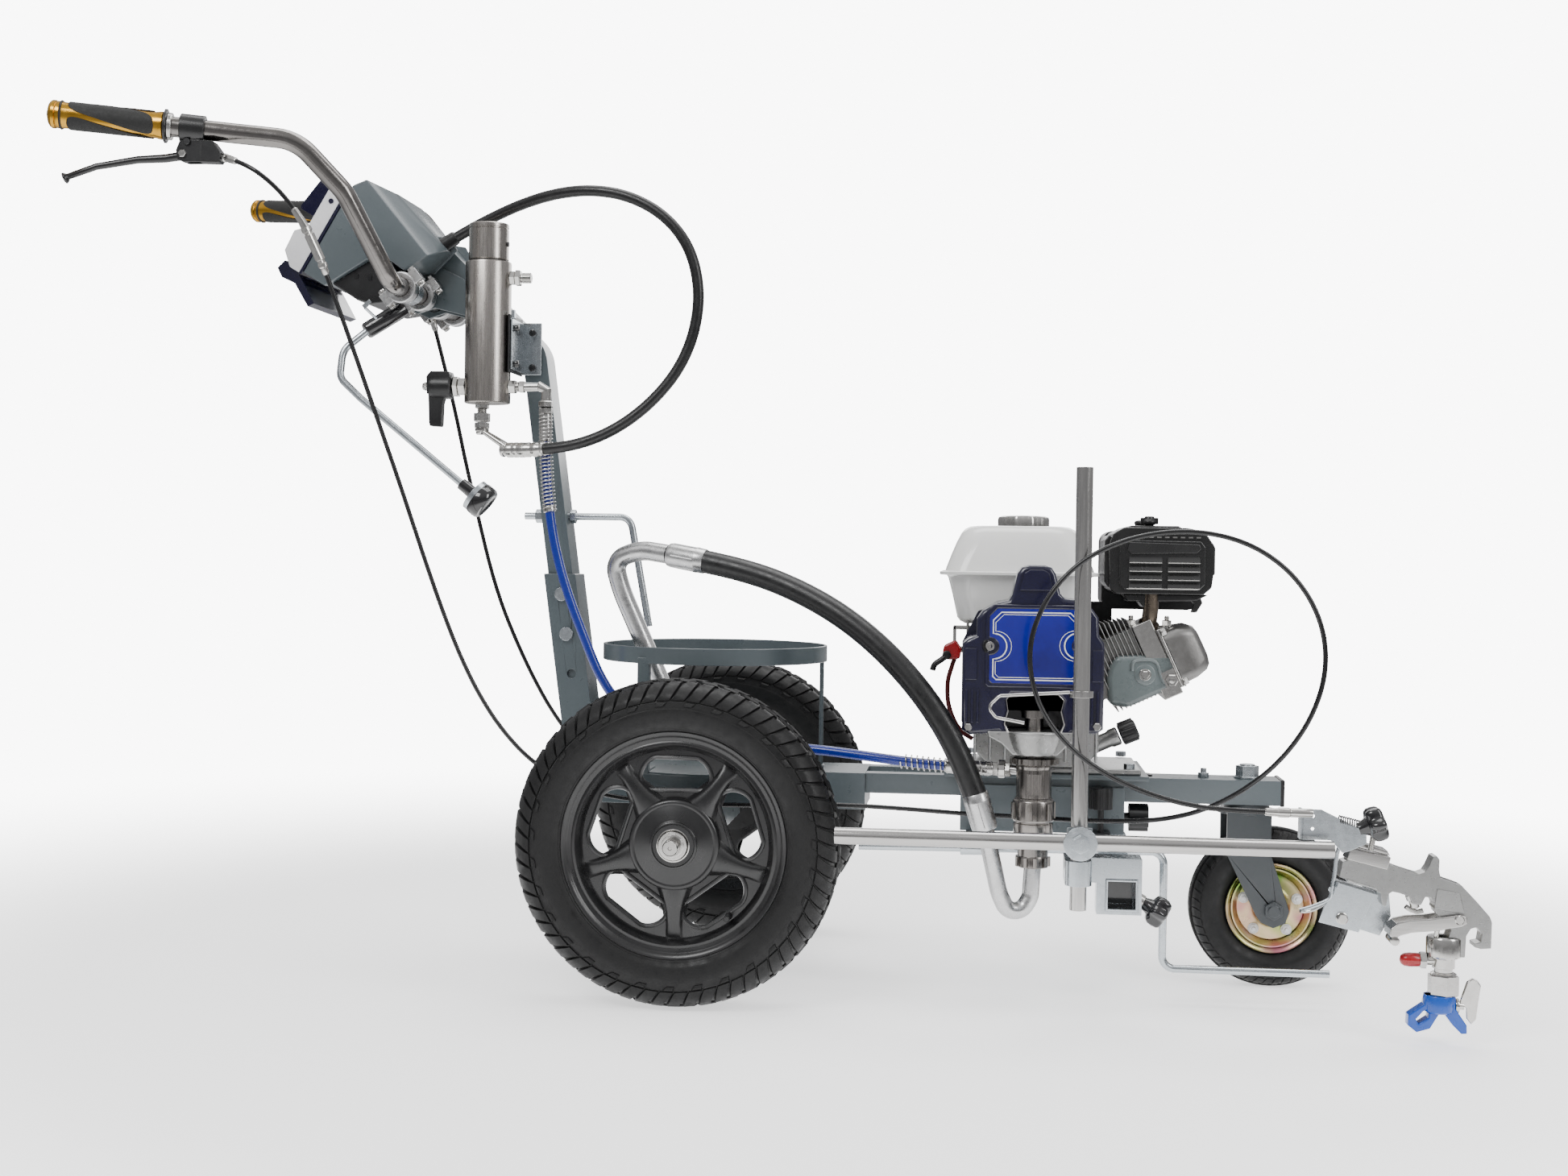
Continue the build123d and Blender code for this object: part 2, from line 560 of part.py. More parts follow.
def siphon_points():
    """The route from the pick-up tube to the pump's U tube."""
    return [SIPHON_TOP[1], (62, -118, 551), (138, -140, 525), (208, -163, 487), (268, -181, 437),
            (318, -196, 379), (354, -204, 318), SIPHON_LOW[1]]


def make_siphon_tube():
    """The aluminium pick-up tube that hooks over the pail's rim."""
    points = [SIPHON_TOP[0], (-84, -74, 575), (-122, -66, 560), (-112, -62, 520), (-62, -58, 408),
              (-30, -55, 335)]
    tube = pipe(points, SIPHON_TUBE_R, None, SIPHON_TUBE_R - 2)
    return tube


def make_suction_tube():
    """The U tube from the siphon hose to the pump."""
    points = [SIPHON_LOW[0], (404, -194, 146), (423, -187, 104), (444, -181, 140), (PUMP_X, PUMP_Y, 178)]
    return pipe(points, 11, [60, 17, 20], 9)


# ---- wheels ----------------------------------------------------------------------------
def make_tyre(outer, bead, half, width, corner):
    """A tyre open towards its rim."""
    seat = bead + 8
    depth = outer - seat
    section = Pos(seat + depth / 2, 0) * RectangleRounded(depth, width, corner)
    section += Pos(bead + 20, 0) * Rectangle(40, half * 2)
    wall = 9
    cavity = RectangleRounded(depth - 2 * wall, width - 2 * wall, corner - wall + 1)
    section -= Pos(seat + depth / 2, 0) * cavity
    section -= Pos(bead + 10, 0) * Rectangle(34, half * 2 - 18)
    return revolve(section, Axis.Y)


def make_rear_tyre(side):
    """The rear tyre on one side."""
    corner = min(TYRE_CORNER, 0.44 * (WHEEL_R - BEAD_R - 8))
    tyre = make_tyre(WHEEL_R, BEAD_R, BEAD_HALF, TYRE_W, corner)
    return Pos(0, side * TRACK / 2, WHEEL_R) * tyre


def make_rear_rim(side):
    """A cast wheel with oval windows, and the bearings pressed into its hub."""
    points = [(BEAD_R - 4, -BEAD_HALF - 4), (FLANGE_R, -BEAD_HALF - 4), (FLANGE_R, -BEAD_HALF - GAP),
              (BEAD_R - GAP, -BEAD_HALF - GAP), (BEAD_R - GAP, BEAD_HALF + GAP), (FLANGE_R, BEAD_HALF + GAP),
              (FLANGE_R, BEAD_HALF + 4), (BEAD_R - 4, BEAD_HALF + 4)]
    rim = revolve(make_face(Polyline(*points, close=True)), Axis.Y)
    disc = Rot(90, 0, 0) * Cylinder(BEAD_R - 3, 5)
    for step in range(SPOKES):
        angle = 90 + 360 / SPOKES * step
        window = Rot(90, 0, 0) * Box(39, 51, 20)
        for end in (-25.5, 25.5):
            window += Pos(0, 0, end) * Rot(90, 0, 0) * Cylinder(19.5, 20)
        disc -= Rot(0, -angle, 0) * Pos(WINDOW_R, 0, 0) * window
        ridge = Pos((HUB_R + BEAD_R - 6) / 2, -4, 0) * Box(BEAD_R - HUB_R - 2, 9, 16)
        disc += Rot(0, -angle - 180 / SPOKES, 0) * ridge
    disc = Pos(0, 14 * side, 0) * (disc if side < 0 else Rot(0, 0, 180) * disc)
    inner_end = -side * (TYRE_W / 2 + 12 - HUB_START)
    hub = across(0, 0, side * HUB_OUT, inner_end, 30)
    hub += across(0, 0, side * (HUB_OUT - 6), side * 10, HUB_R)
    wheel = rim + disc + hub
    wheel -= across(0, 0, -TYRE_W, TYRE_W, AXLE_R + 6)
    for end, way in ((side * HUB_OUT, -side), (inner_end, side)):
        wheel -= across(0, 0, end - way, end + way * 12, 21.02)
    parts = [wheel]
    for end, way in ((side * HUB_OUT, -side), (inner_end, side)):
        parts.append(across(0, 0, end, end + way * 12, 21, AXLE_R + FIT))
    return Pos(0, side * TRACK / 2, WHEEL_R) * group(*parts)


def make_caster_fork():
    """The raked fork with its top plate, axle and nuts."""
    top_z = FORK_TOP
    disc = rod((CASTER_X, 0, top_z - FORK_T), (CASTER_X, 0, top_z), 40)
    disc += rod((CASTER_X, 0, top_z), (CASTER_X, 0, BEAM_BOTTOM - 0.6), 30)
    axle_x = CASTER_X + CASTER_TRAIL
    fork = disc
    outline = [(706, top_z), (706, 180), (745, 100), (752, 90), (axle_x, 83), (784, 90), (789, 106),
               (764, 180), (764, top_z)]
    for side in (-1, 1):
        outer, inner = side * (FORK_IN + FORK_T), side * FORK_IN
        fork += plate(outline, max(outer, inner), min(outer, inner))
    fork += block(706, 764, -FORK_IN - FORK_T, FORK_IN + FORK_T, top_z - FORK_T, top_z)
    fork -= rod((CASTER_X, 0, top_z - 20), (CASTER_X, 0, BEAM_BOTTOM + 10), CASTER_BOLT_R + FIT)
    fork -= across(axle_x, FRONT_R, -60, 60, 8.0 + FIT)
    axle = across(axle_x, FRONT_R, -FORK_IN - FORK_T - 9, FORK_IN + FORK_T + 9, 8)
    for side in (-1, 1):
        face = side * (FORK_IN + FORK_T)
        axle += hexagon((axle_x, face, FRONT_R), (axle_x, face + side * 7, FRONT_R), 22)
    return group(fork, axle)


def make_front_tyre():
    """The caster's tyre."""
    tyre = make_tyre(FRONT_R, FRONT_RIM_R - 6, 19, FRONT_W, 20)
    return Pos(CASTER_X + CASTER_TRAIL, 0, FRONT_R) * tyre


def make_front_rim():
    """The front wheel's split rim with its hub and bolts."""
    seat = FRONT_RIM_R - 6 - GAP
    points = [(seat - 4, -23), (FRONT_RIM_R + 1, -23), (FRONT_RIM_R + 1, -19.4), (seat, -19.4), (seat, 19.4),
              (FRONT_RIM_R + 1, 19.4), (FRONT_RIM_R + 1, 23), (seat - 4, 23)]
    rim = revolve(make_face(Polyline(*points, close=True)), Axis.Y)
    rim += Rot(90, 0, 0) * Cylinder(seat - 2, 4)
    rim += across(0, 0, -30, 30, 17)
    rim -= across(0, 0, -31, 31, 8 + FIT)
    for step in range(5):
        angle = math.radians(72 * step + 18)
        x, z = 37 * math.cos(angle), 37 * math.sin(angle)
        rim += across(x, z, -9, 9, 5)
    return Pos(CASTER_X + CASTER_TRAIL, 0, FRONT_R) * rim


# ---- engine ----------------------------------------------------------------------------
def cyl_point(s, t, y=0.0):
    """A point at distance s along the tilted cylinder and t across it."""
    a = math.radians(CYL_TILT)
    return (CRANK_X + s * math.cos(a) - t * math.sin(a), y, CRANK_Z + s * math.sin(a) + t * math.cos(a))


def tilted_block(s0, s1, t0, t1, y0, y1):
    """A block along the tilted cylinder, between two distances along and across it."""
    corners = [cyl_point(s, t) for s, t in ((s0, t0), (s1, t0), (s1, t1), (s0, t1))]
    return plate([(c[0], c[2]) for c in corners], max(y0, y1), min(y0, y1))


def make_engine_block():
    """The crankcase on its feet, its nose and the cylinder's sheet shroud."""
    case = block(368, CASE_FRONT, ENGINE_Y0, ENGINE_Y1, ENGINE_BASE + 8, 440)
    case = fillet(case.edges().filter_by(Axis.Y), 22)
    case += block(350, 590, ENGINE_Y0, ENGINE_Y1, ENGINE_BASE, ENGINE_BASE + 8)
    case -= across(CRANK_X, CRANK_Z, ENGINE_Y0 + 10, ENGINE_Y1 - 10, 52)
    case -= across(CRANK_X, CRANK_Z, ENGINE_Y0 - 1, ENGINE_Y0 + 11, CRANK_R + FIT)
    nose = across(CRANK_X, CRANK_Z, HOUSING_Y0, ENGINE_Y0, 55, CRANK_R + FIT)
    neck = rod((530, OIL_Y, 322), (562, OIL_Y, 336), 11)
    shroud = tilted_block(105, 195, -95, -92, -22, 92) + tilted_block(192, 195, -95, -76, -22, 92)
    shroud += tilted_block(105, 112, -95, -67, -22, -19) + tilted_block(112, 195, -95, -76, -22, -19)
    return group(case + nose + neck, shroud)


def make_oil_cap():
    """The oil filler's cap."""
    start, end = Vector(562, OIL_Y, 336), Vector(585, OIL_Y, 346)
    way = unit(end - start)
    cap = rod(tuple(start + way * 0.4), tuple(end), 14)
    return cap


def make_engine_cylinder():
    """The finned cylinder and head with the valve cover."""
    body = tilted_block(70, 150, -40, 30, -40, 80) - block(300, CASE_FRONT + FIT, -200, 200, 200, 455)
    for step in range(7):
        s = 100 + 9 * step
        body += tilted_block(s, s + 3, -66, 56, -58, 92)
    body += tilted_block(154, 180, -72, 30, -48, 84)
    cover = tilted_block(180, 235, -66, 6, -40, 70)
    cover = fillet(cover.edges().filter_by(Axis.Y), 12)
    return group(body, cover)


def make_fuel_tank():
    """The tank's two halves, their seam and the filler neck."""
    low = chamfer((Pos(427, 85, 516) * Box(168, 200, 66)).edges().filter_by(Axis.Z), 24)
    high = Pos(427, 85, 582) * Box(176, 204, 66)
    high = fillet(high.edges(), 24)
    seam = Pos(427, 85, 549) * Box(214, 226, 5)
    seam = fillet(seam.edges().filter_by(Axis.Z), 30)
    tank = low + high + seam
    tank -= Pos(427, 85, 549) * Box(150, 180, 108)
    neck_z = 615
    tank -= rod((433, 85, 595), (433, 85, 640), 24)
    tank += rod((433, 85, 606), (433, 85, neck_z + 8), 26, 22)
    return tank


def make_fuel_cap():
    """The tank's cap over its neck."""
    top = 637
    cap = rod((433, 85, 616), (433, 85, top), 37, 26.4)
    cap += rod((433, 85, 624), (433, 85, top), 37)
    return cap


def make_muffler():
    """The muffler's guard and its exhaust stub."""
    guard = block(541, 688, -20, 118, 526, 614)
    guard = fillet(guard.edges().filter_by(Axis.Y), 12)
    pipe_part = rod((600, 40, 530), (596, 40, 501), 14)
    return guard + pipe_part


def make_air_cleaner():
    """The air cleaner's cover, wing nut and duct."""
    cleaner = block(545, 680, 121, 215, 500, 611)
    cleaner = fillet(cleaner.edges().filter_by(Axis.Y), 16)
    cleaner += rod((603, 150, 610), (603, 150, 625), 9)
    cleaner += block(526, 560, 121, 150, 455, 510)
    return cleaner


def make_recoil_starter():
    """The starter's drum on the engine's far side."""
    drum = across(CRANK_X, CRANK_Z, ENGINE_Y1 + GAP, ENGINE_Y1 + 72, 96)
    drum = fillet(drum.edges().sort_by(Axis.Y)[-1], 16)
    drum += block(CRANK_X - 22, CRANK_X + 22, ENGINE_Y1 + 20, ENGINE_Y1 + 46, CRANK_Z + 70, CRANK_Z + 97)
    drum -= across(CRANK_X, CRANK_Z, ENGINE_Y1, ENGINE_Y1 + 60, 86)
    return drum


def make_crankshaft():
    """The engine's crank with the drive's pinion on its end."""
    shaft = across(CRANK_X, CRANK_Z, HOUSING_Y0 - 26, ENGINE_Y1 - 14, CRANK_R)
    shaft += across(CRANK_X, CRANK_Z, HOUSING_Y0 - 26, HOUSING_Y0 - 8, PINION_R)
    for y0, y1 in ((-20, -8), (24, 36)):
        web = across(CRANK_X, CRANK_Z, y0, y1, 40)
        shaft += web
    shaft += across(CRANK_X + 24, CRANK_Z, -20, 36, 13)
    return shaft


# ---- drive and pump --------------------------------------------------------------------
def make_drive_housing():
    """The cover of the drive with its face plate and the gear's axle."""
    outline = [(386, 354), (352, 354), (350, 475), (362, 498), (399, 506), (409, 522), (422, 522), (430, 557),
               (468, 557), (480, 522), (502, 522), (513, 506), (531, 498), (531, 354), (505, 354)]
    housing = plate(outline, HOUSING_Y0, HOUSING_Y1)
    wall = HOUSING_WALL
    housing -= block(352 + wall, 531 - wall, HOUSING_Y0 - wall, HOUSING_Y1 + wall, 360, 500)
    housing -= across(CRANK_X, CRANK_Z, HOUSING_Y0 + 1, HOUSING_Y0 - wall - 1, CRANK_R + FIT)
    housing -= block(PUMP_X - 32, PUMP_X + 32, HOUSING_Y1 - 1, HOUSING_Y1 + wall + 1, 345, 394)
    housing -= block(PUMP_X - 26, PUMP_X + 26, PUMP_Y - 24, PUMP_Y + 24, 350, 361)
    shield = [(379, 430), (379, 450), (387, 462), (382, 478), (382, 506), (509, 506), (509, 478),
              (500, 462), (509, 450), (509, 430), (496, 411), (396, 411)]
    face = plate(shield, HOUSING_Y1, HOUSING_Y1 - 3)
    axle = across(GEAR_AT_X, GEAR_AT_Z, HOUSING_Y0 - wall, HOUSING_Y0 - wall - 30, 8)
    return group(housing + axle, face)


def make_drive_gear():
    """The large gear with the crank pin that drives the pump."""
    y0 = HOUSING_Y0 - HOUSING_WALL - 3
    gear = across(GEAR_AT_X, GEAR_AT_Z, y0, y0 - 17, GEAR_R)
    gear += across(GEAR_AT_X, GEAR_AT_Z, y0 - 34, y0 - 38, 26)
    gear += across(GEAR_AT_X, GEAR_AT_Z - PUMP_STROKE / 2, y0 - 17, y0 - 34, 9)
    return gear - across(GEAR_AT_X, GEAR_AT_Z, y0 + 1, y0 - 30, 8 + FIT)


def make_pump_casting():
    """The casting between the drive and the pump, with the rod's way through it."""
    top = [(388, 354), (505, 354), (488, 325), (404, 325)]
    casting = plate(top, PUMP_Y + 30, PUMP_Y - 34)
    casting -= rod((PUMP_X, PUMP_Y, 320), (PUMP_X, PUMP_Y, 360), 25)
    return casting


def make_pump_cylinder():
    """The pump's jam nut, shell, coupling nut and inlet nut."""
    parts = []
    centre = (PUMP_X, PUMP_Y)
    jam_r = PUMP_R + 7
    jam = rod((*centre, 311), (*centre, 325), jam_r, PUMP_ROD_R + 3)
    for step in range(10):
        angle = math.radians(36 * step)
        x, y = PUMP_X + (jam_r + 3) * math.cos(angle), PUMP_Y + (jam_r + 3) * math.sin(angle)
        jam -= rod((x, y, 305), (x, y, 330), 6)
    body = rod((*centre, 259), (*centre, 311), PUMP_R)
    lower = rod((*centre, 236), (*centre, 259), PUMP_R)
    lower += rod((*centre, 193), (*centre, 236), 32)
    shell = body + lower
    shell -= rod((*centre, 205), (*centre, 298), 24)
    shell -= rod((*centre, 290), (*centre, 312), PUMP_ROD_R + FIT)
    shell -= rod((*centre, 190), (*centre, 206), 9)
    coupling = rod((*centre, 236), (*centre, 259), PUMP_R + PUMP_NUT_WALL, PUMP_R + FIT)
    inlet = rod((*centre, 178), (*centre, 193), 27, 9)
    for step in range(8):
        angle = math.radians(45 * step + 22)
        x, y = PUMP_X + 30 * math.cos(angle), PUMP_Y + 30 * math.sin(angle)
        inlet -= rod((x, y, 170), (x, y, 196), 5)
    parts += [jam, shell, coupling, inlet]
    return group(*parts)


def make_pump_rod():
    """The displacement rod with its piston and the connecting yoke on top."""
    top_z = 372
    moving = rod((PUMP_X, PUMP_Y, 250), (PUMP_X, PUMP_Y, top_z), PUMP_ROD_R)
    moving += rod((PUMP_X, PUMP_Y, 250), (PUMP_X, PUMP_Y, 262), 23.5)
    moving += rod((PUMP_X, PUMP_Y, top_z - 4), (PUMP_X, PUMP_Y, top_z + 32), 17)
    link_y = HOUSING_Y0 - HOUSING_WALL - 3 - 38 - 3
    moving += block(PUMP_X - 9, PUMP_X + 9, link_y - 12, link_y, top_z + 20, GEAR_AT_Z - PUMP_STROKE / 2 + 14)
    moving += block(PUMP_X - 9, PUMP_X + 9, PUMP_Y, link_y, top_z + 20, top_z + 32)
    return moving


# ---- gun arm ---------------------------------------------------------------------------
def make_arm_tube():
    """The square arm, its U bracket and the bracket's stud."""
    half = ARM_SIZE / 2
    tube = block(ARM_X - half, ARM_X + half, ARM_END, -20, ARM_Z - half, ARM_Z + half)
    inside = half - ARM_WALL
    tube -= block(ARM_X - inside, ARM_X + inside, ARM_END - 1, -19, ARM_Z - inside, ARM_Z + inside)
    hold = block(ARM_X - 34, ARM_X + 22, -26, -56, ARM_Z + half, BRACKET_BOTTOM)
    u0, u1 = -298, -262
    u_out = half + 5
    grip = block(ARM_X - u_out - 6, ARM_X + u_out, u0, u1, ARM_Z - u_out, ARM_Z + u_out + 20)
    hole = half + FIT
    grip -= block(ARM_X - hole, ARM_X + hole, u0 - 1, u1 + 1, ARM_Z - hole, ARM_Z + hole)
    lug = block(POLE_X - 16, ARM_X - u_out, u0, u1, ARM_Z + 14, ARM_Z + u_out + 20)
    boss = rod((POLE_X, POLE_Y, ARM_Z + 14), (POLE_X, POLE_Y, ARM_Z + u_out + 20), 16)
    grip = grip + lug + boss + block(POLE_X - 16, POLE_X + 16, u0, POLE_Y, ARM_Z + 14, ARM_Z + u_out + 20)
    grip -= rod((POLE_X, POLE_Y, 100), (POLE_X, POLE_Y, 300), POLE_R + FIT)
    a, b = ARM_STUD
    grip += rod(a, b, 4)
    return group(tube, hold, grip)


def make_arm_knob():
    """The knob that clamps the arm."""
    a, b = Vector(*ARM_STUD[0]), Vector(*ARM_STUD[1])
    way = unit(b - a)
    place = Plane(origin=a + way * 14, z_dir=way)
    return place * lobed_knob(KNOB_R, 24, 4 + FIT)


def make_gun_bar():
    """The long bar that carries the gun."""
    return rod((BAR_START, BAR_Y, BAR_Z), (BAR_END, BAR_Y, BAR_Z), 10)


def make_gun_pole():
    """The upright pole with the bent wire that guides the trigger cable."""
    pole = rod((POLE_X, POLE_Y, POLE_BOTTOM), (POLE_X, POLE_Y, POLE_TOP), POLE_R, POLE_R - 2)
    coil_z = 409
    coil = Pos(POLE_X, POLE_Y, coil_z) * (Cylinder(POLE_R + 4.4, 8) - Cylinder(POLE_R + 0.1, 10))
    y = POLE_Y - 2
    route = [(POLE_X - 12, y, coil_z + 2), (400, y, coil_z - 4), (386, y, coil_z - 18),
             (396, y, coil_z - 30), (430, y, coil_z - 36)]
    guide = pipe(route, 2, [8, 8, 8])
    return group(pole, coil + guide)


def make_cross_clamp():
    """The block that joins the bar to the pole, with its bolt."""
    middle = (POLE_Y - POLE_R + BAR_Y + 10) / 2
    body = across(POLE_X, BAR_Z, POLE_Y - POLE_R - 0.2, BAR_Y + 10.2, 15)
    body += block(POLE_X - 15, POLE_X + 15, POLE_Y - POLE_R - 0.2, BAR_Y + 10.2, BAR_Z - 13, BAR_Z + 16)
    head = across(POLE_X, BAR_Z, BAR_Y - 10.2, BAR_Y - 13.5, 20)
    head += hexagon((POLE_X, BAR_Y - 13.5, BAR_Z), (POLE_X, BAR_Y - 21, BAR_Z), 19)
    return group(body, head)


def make_gun_bracket():
    """Zinc plates that hang the gun from the end of the bar, with the spring stud."""
    y = GUN_Y
    saddle = [(757, 258), (760, 272), (790, 276), (818, 244), (811, 236), (786, 232), (757, 250)]
    top = plate(saddle, y - 13, y - 34)
    cheek = [(785, 240), (812, 236), (806, 206), (822, 170), (840, 165), (838, 134), (786, 138)]
    side = plate(cheek, y - 10.6, y - 13)
    bend = [(786, 142), (836, 137), (859, 125), (856, 119), (834, 129), (786, 134)]
    strap = plate(bend, y - 13, y + 14)
    stud = rod((808, y - 22, 252), (836, y - 22, 262), 4)
    stop = rod((742, y - 28, 275), (768, y - 28, 275), 6)
    return group(top + side + strap + stud + stop)


def make_gun_knob():
    """The knob that clamps the gun."""
    way = unit(Vector(28, 0, 10))
    place = Plane(origin=Vector(832, GUN_Y - 22, 260.6), z_dir=way)
    return place * lobed_knob(KNOB_R, 26, 4 + FIT + 0.1)


def make_gun_body():
    """The cast gun with its neck, hexagon nut and capped inlet."""
    y0, y1 = GUN_Y + GUN_T / 2, GUN_Y - GUN_T / 2
    outline = [(807, 218), (840, 212), (872, 205), (893, 200), (909, 224), (918, 192), (950, 178), (976, 164),
               (972, 124), (962, 126), (957, 148), (944, 146), (940, 109), (912, 109), (908, 150), (880, 172),
               (842, 184), (814, 192)]
    body = plate(outline, y0, y1)
    neck = rod((GUN_X, GUN_Y, 84), (GUN_X, GUN_Y, 110), 9)
    nut = hexagon((GUN_X, GUN_Y, 58), (GUN_X, GUN_Y, 86), 27)
    inlet = rod((GUN_X - 6, GUN_Y, 100), (GUN_X - 28, GUN_Y, 100), 6.5)
    cap = rod((GUN_X - 28, GUN_Y, 100), (GUN_X - 48, GUN_Y, 100), 9)
    body -= across(939, 158, y0 + 1, y1 - 1, 3 + FIT)
    pin = across(939, 158, y0 + 8, y1 - 8, 3)
    return group(body + neck + nut + inlet, cap, pin)


def make_gun_trigger():
    """The trigger's two cheeks beside the gun and the bow that the cable pulls."""
    trigger = None
    for side in (-1, 1):
        near = GUN_Y + side * (GUN_T / 2 + 0.5)
        far = near + side * 3
        cheek = plate([(931, 152), (935, 166), (946, 164), (948, 154), (938, 146), (900, 134), (874, 120),
                       (868, 126), (896, 143)], max(near, far), min(near, far))
        trigger = cheek if trigger is None else trigger + cheek
    trigger += block(868, 874, GUN_Y - GUN_T / 2 - 3.5, GUN_Y + GUN_T / 2 + 3.5, 121, 127)
    trigger -= across(939, 158, GUN_Y - 30, GUN_Y + 30, 3 + FIT)
    return trigger


def make_tip_guard():
    """The two-winged spray guard with the tip's bore across it."""
    top = rod((GUN_X, GUN_Y, 38), (GUN_X, GUN_Y, 57.6), 17)
    left = plate([(908, 42), (922, 42), (914, 22), (900, 16), (888, 17), (888, 28)], GUN_Y + 9, GUN_Y - 9)
    left -= plate([(912, 36), (916, 34), (908, 24), (894, 22), (894, 27)], GUN_Y + 10, GUN_Y - 10)
    right = plate([(930, 42), (942, 42), (953, 20), (948, 15), (941, 17)], GUN_Y + 9, GUN_Y - 9)
    guard = top + left + right
    guard -= rod((GUN_X - 16, GUN_Y, 48), (GUN_X + 30, GUN_Y, 48), 5 + FIT)
    guard -= rod((GUN_X, GUN_Y, 30), (GUN_X, GUN_Y, 60), 2.2)
    return guard


def make_tip_key():
    """The reversible spray tip with its flat key."""
    stem = rod((GUN_X - 15, GUN_Y, 48), (GUN_X + 25, GUN_Y, 48), 5)
    key = plate([(948, 44), (948, 52), (952, 56), (954, 76), (960, 80), (966, 74), (963, 56), (965, 48),
                 (961, 38), (960, 28), (954, 25), (951, 38)], GUN_Y + 2, GUN_Y - 2)
    return stem + key


# ---- wires, rods and cables ------------------------------------------------------------
def make_pointer_wire():
    """The bent rod that points at the line ahead, held under the frame."""
    y = POINTER_Y
    wire = pipe([(222, y, 192), (614, y, 196), (614, y, 46), (824, y, 46)], ROD_R, [16, 16])
    hold = block(360, 380, -FRAME_HALF + 10, y - 4, 199.2, BRACKET_BOTTOM)
    hold += rod((354, y, 193), (386, y, 193.4), 8.5)
    hold -= rod((340, y, 193), (400, y, 193.6), ROD_R + 0.6)
    return group(wire, hold)


def make_hanger_rod():
    """The pail's hanger through the column, free to turn in its hole."""
    x, _, z = column_point(HANGER_Z)
    wire = pipe([(x - 46, 0, z), (-112, 0, z), (-84, 0, 468)], ROD_R, [18])
    wire += hexagon((x - 30, 0, z), (x - 19, 0, z), 17)
    wire += hexagon((x + 19, 0, z), (x + 27, 0, z), 17)
    return wire


def make_bent_rod():
    """A bent rod with a round disc knob, held in a short tube under the cross tube."""
    holder = rod((-410, -95, 898), (-446, -112, 872), 9)
    ring = across(CROSS_X, CROSS_Z, -106, -86, BAR_R + 5, BAR_R + FIT)
    holder = holder + ring - across(CROSS_X, CROSS_Z, -120, -80, BAR_R + FIT)
    route = [(-446, -112, 872), (-484, -124, 838), (-486, -130, 800), (-456, -130, 772), (-300, -130, 646)]
    wire = pipe(route, ROD_R, [26, 20, 20])
    way = unit(Vector(156, 0, -126))
    disc = Cylinder(22, 20, align=(Align.CENTER, Align.CENTER, Align.MIN))
    knob = Plane(origin=Vector(-300, -130, 646), z_dir=way) * disc
    return group(holder + wire, knob)


def trigger_cable_points():
    """The route from the hand lever to the gun, with its loop in front of the pole."""
    x, y, z = along_bar(PERCH_AT, -1)
    return [(x + 40, y, z - 36), (-545, -326, 1050), (-508, -318, 1024), (-478, -306, 986), (-458, -292, 940),
            (-442, -275, 886), (-426, -258, 830), (-410, -240, 772), (-394, -224, 715), (-377, -211, 658),
            (-360, -201, 601), (-343, -192, 545), (-325, -184, 490), (-305, -177, 436), (-281, -170, 384),
            (-251, -163, 336), (-213, -155, 294), (-166, -147, 264), (-112, -140, 248), (-54, -136, 242),
            (6, -134, 240), (66, -133, 240), (126, -134, 242), (186, -133, 244), (246, -134, 243),
            (303, -132, 240), (360, -127, 236), (417, -123, 234), (470, -136, 234), (516, -168, 237),
            (560, -208, 243), (604, -248, 252), (648, -287, 270), (692, -318, 300), (732, -337, 340),
            (763, -346, 390), (778, -349, 446), (771, -350, 502), (742, -350, 552), (697, -349, 587),
            (643, -347, 604), (586, -345, 604), (532, -342, 590), (484, -343, 562), (449, -346, 518),
            (432, -346, 464), (440, -346, 408), (470, -347, 359), (515, -347, 322), (568, -346, 297),
            (626, -341, 281), (684, -333, 276), (742, GUN_Y - 28, 275)]


def make_trigger_cable():
    """The cable that pulls the gun's trigger."""
    return cord("trigger_cable", trigger_cable_points(), CABLE_R)


def lock_cable_points():
    """The route from under the control box to the engine bracket."""
    return [(-428, 96, 912), (-414, 94, 864), (-400, 92, 812), (-386, 90, 758), (-374, 88, 705),
            (-360, 86, 650), (-346, 84, 596), (-331, 81, 542), (-313, 78, 490), (-291, 76, 440),
            (-266, 74, 390), (-238, 73, 342),
            (-204, 73, 298), (-162, 74, 266), (-108, 75, 250), (-50, 76, 245), (8, 76, 246), (66, 75, 248),
            (124, 74, 249), (182, 75, 248), (240, 77, 246), (297, 76, 247), (350, 74, 250)]


def make_lock_cable():
    """The second cable, from the column to the frame."""
    return cord("lock_cable", lock_cable_points(), CABLE_R)


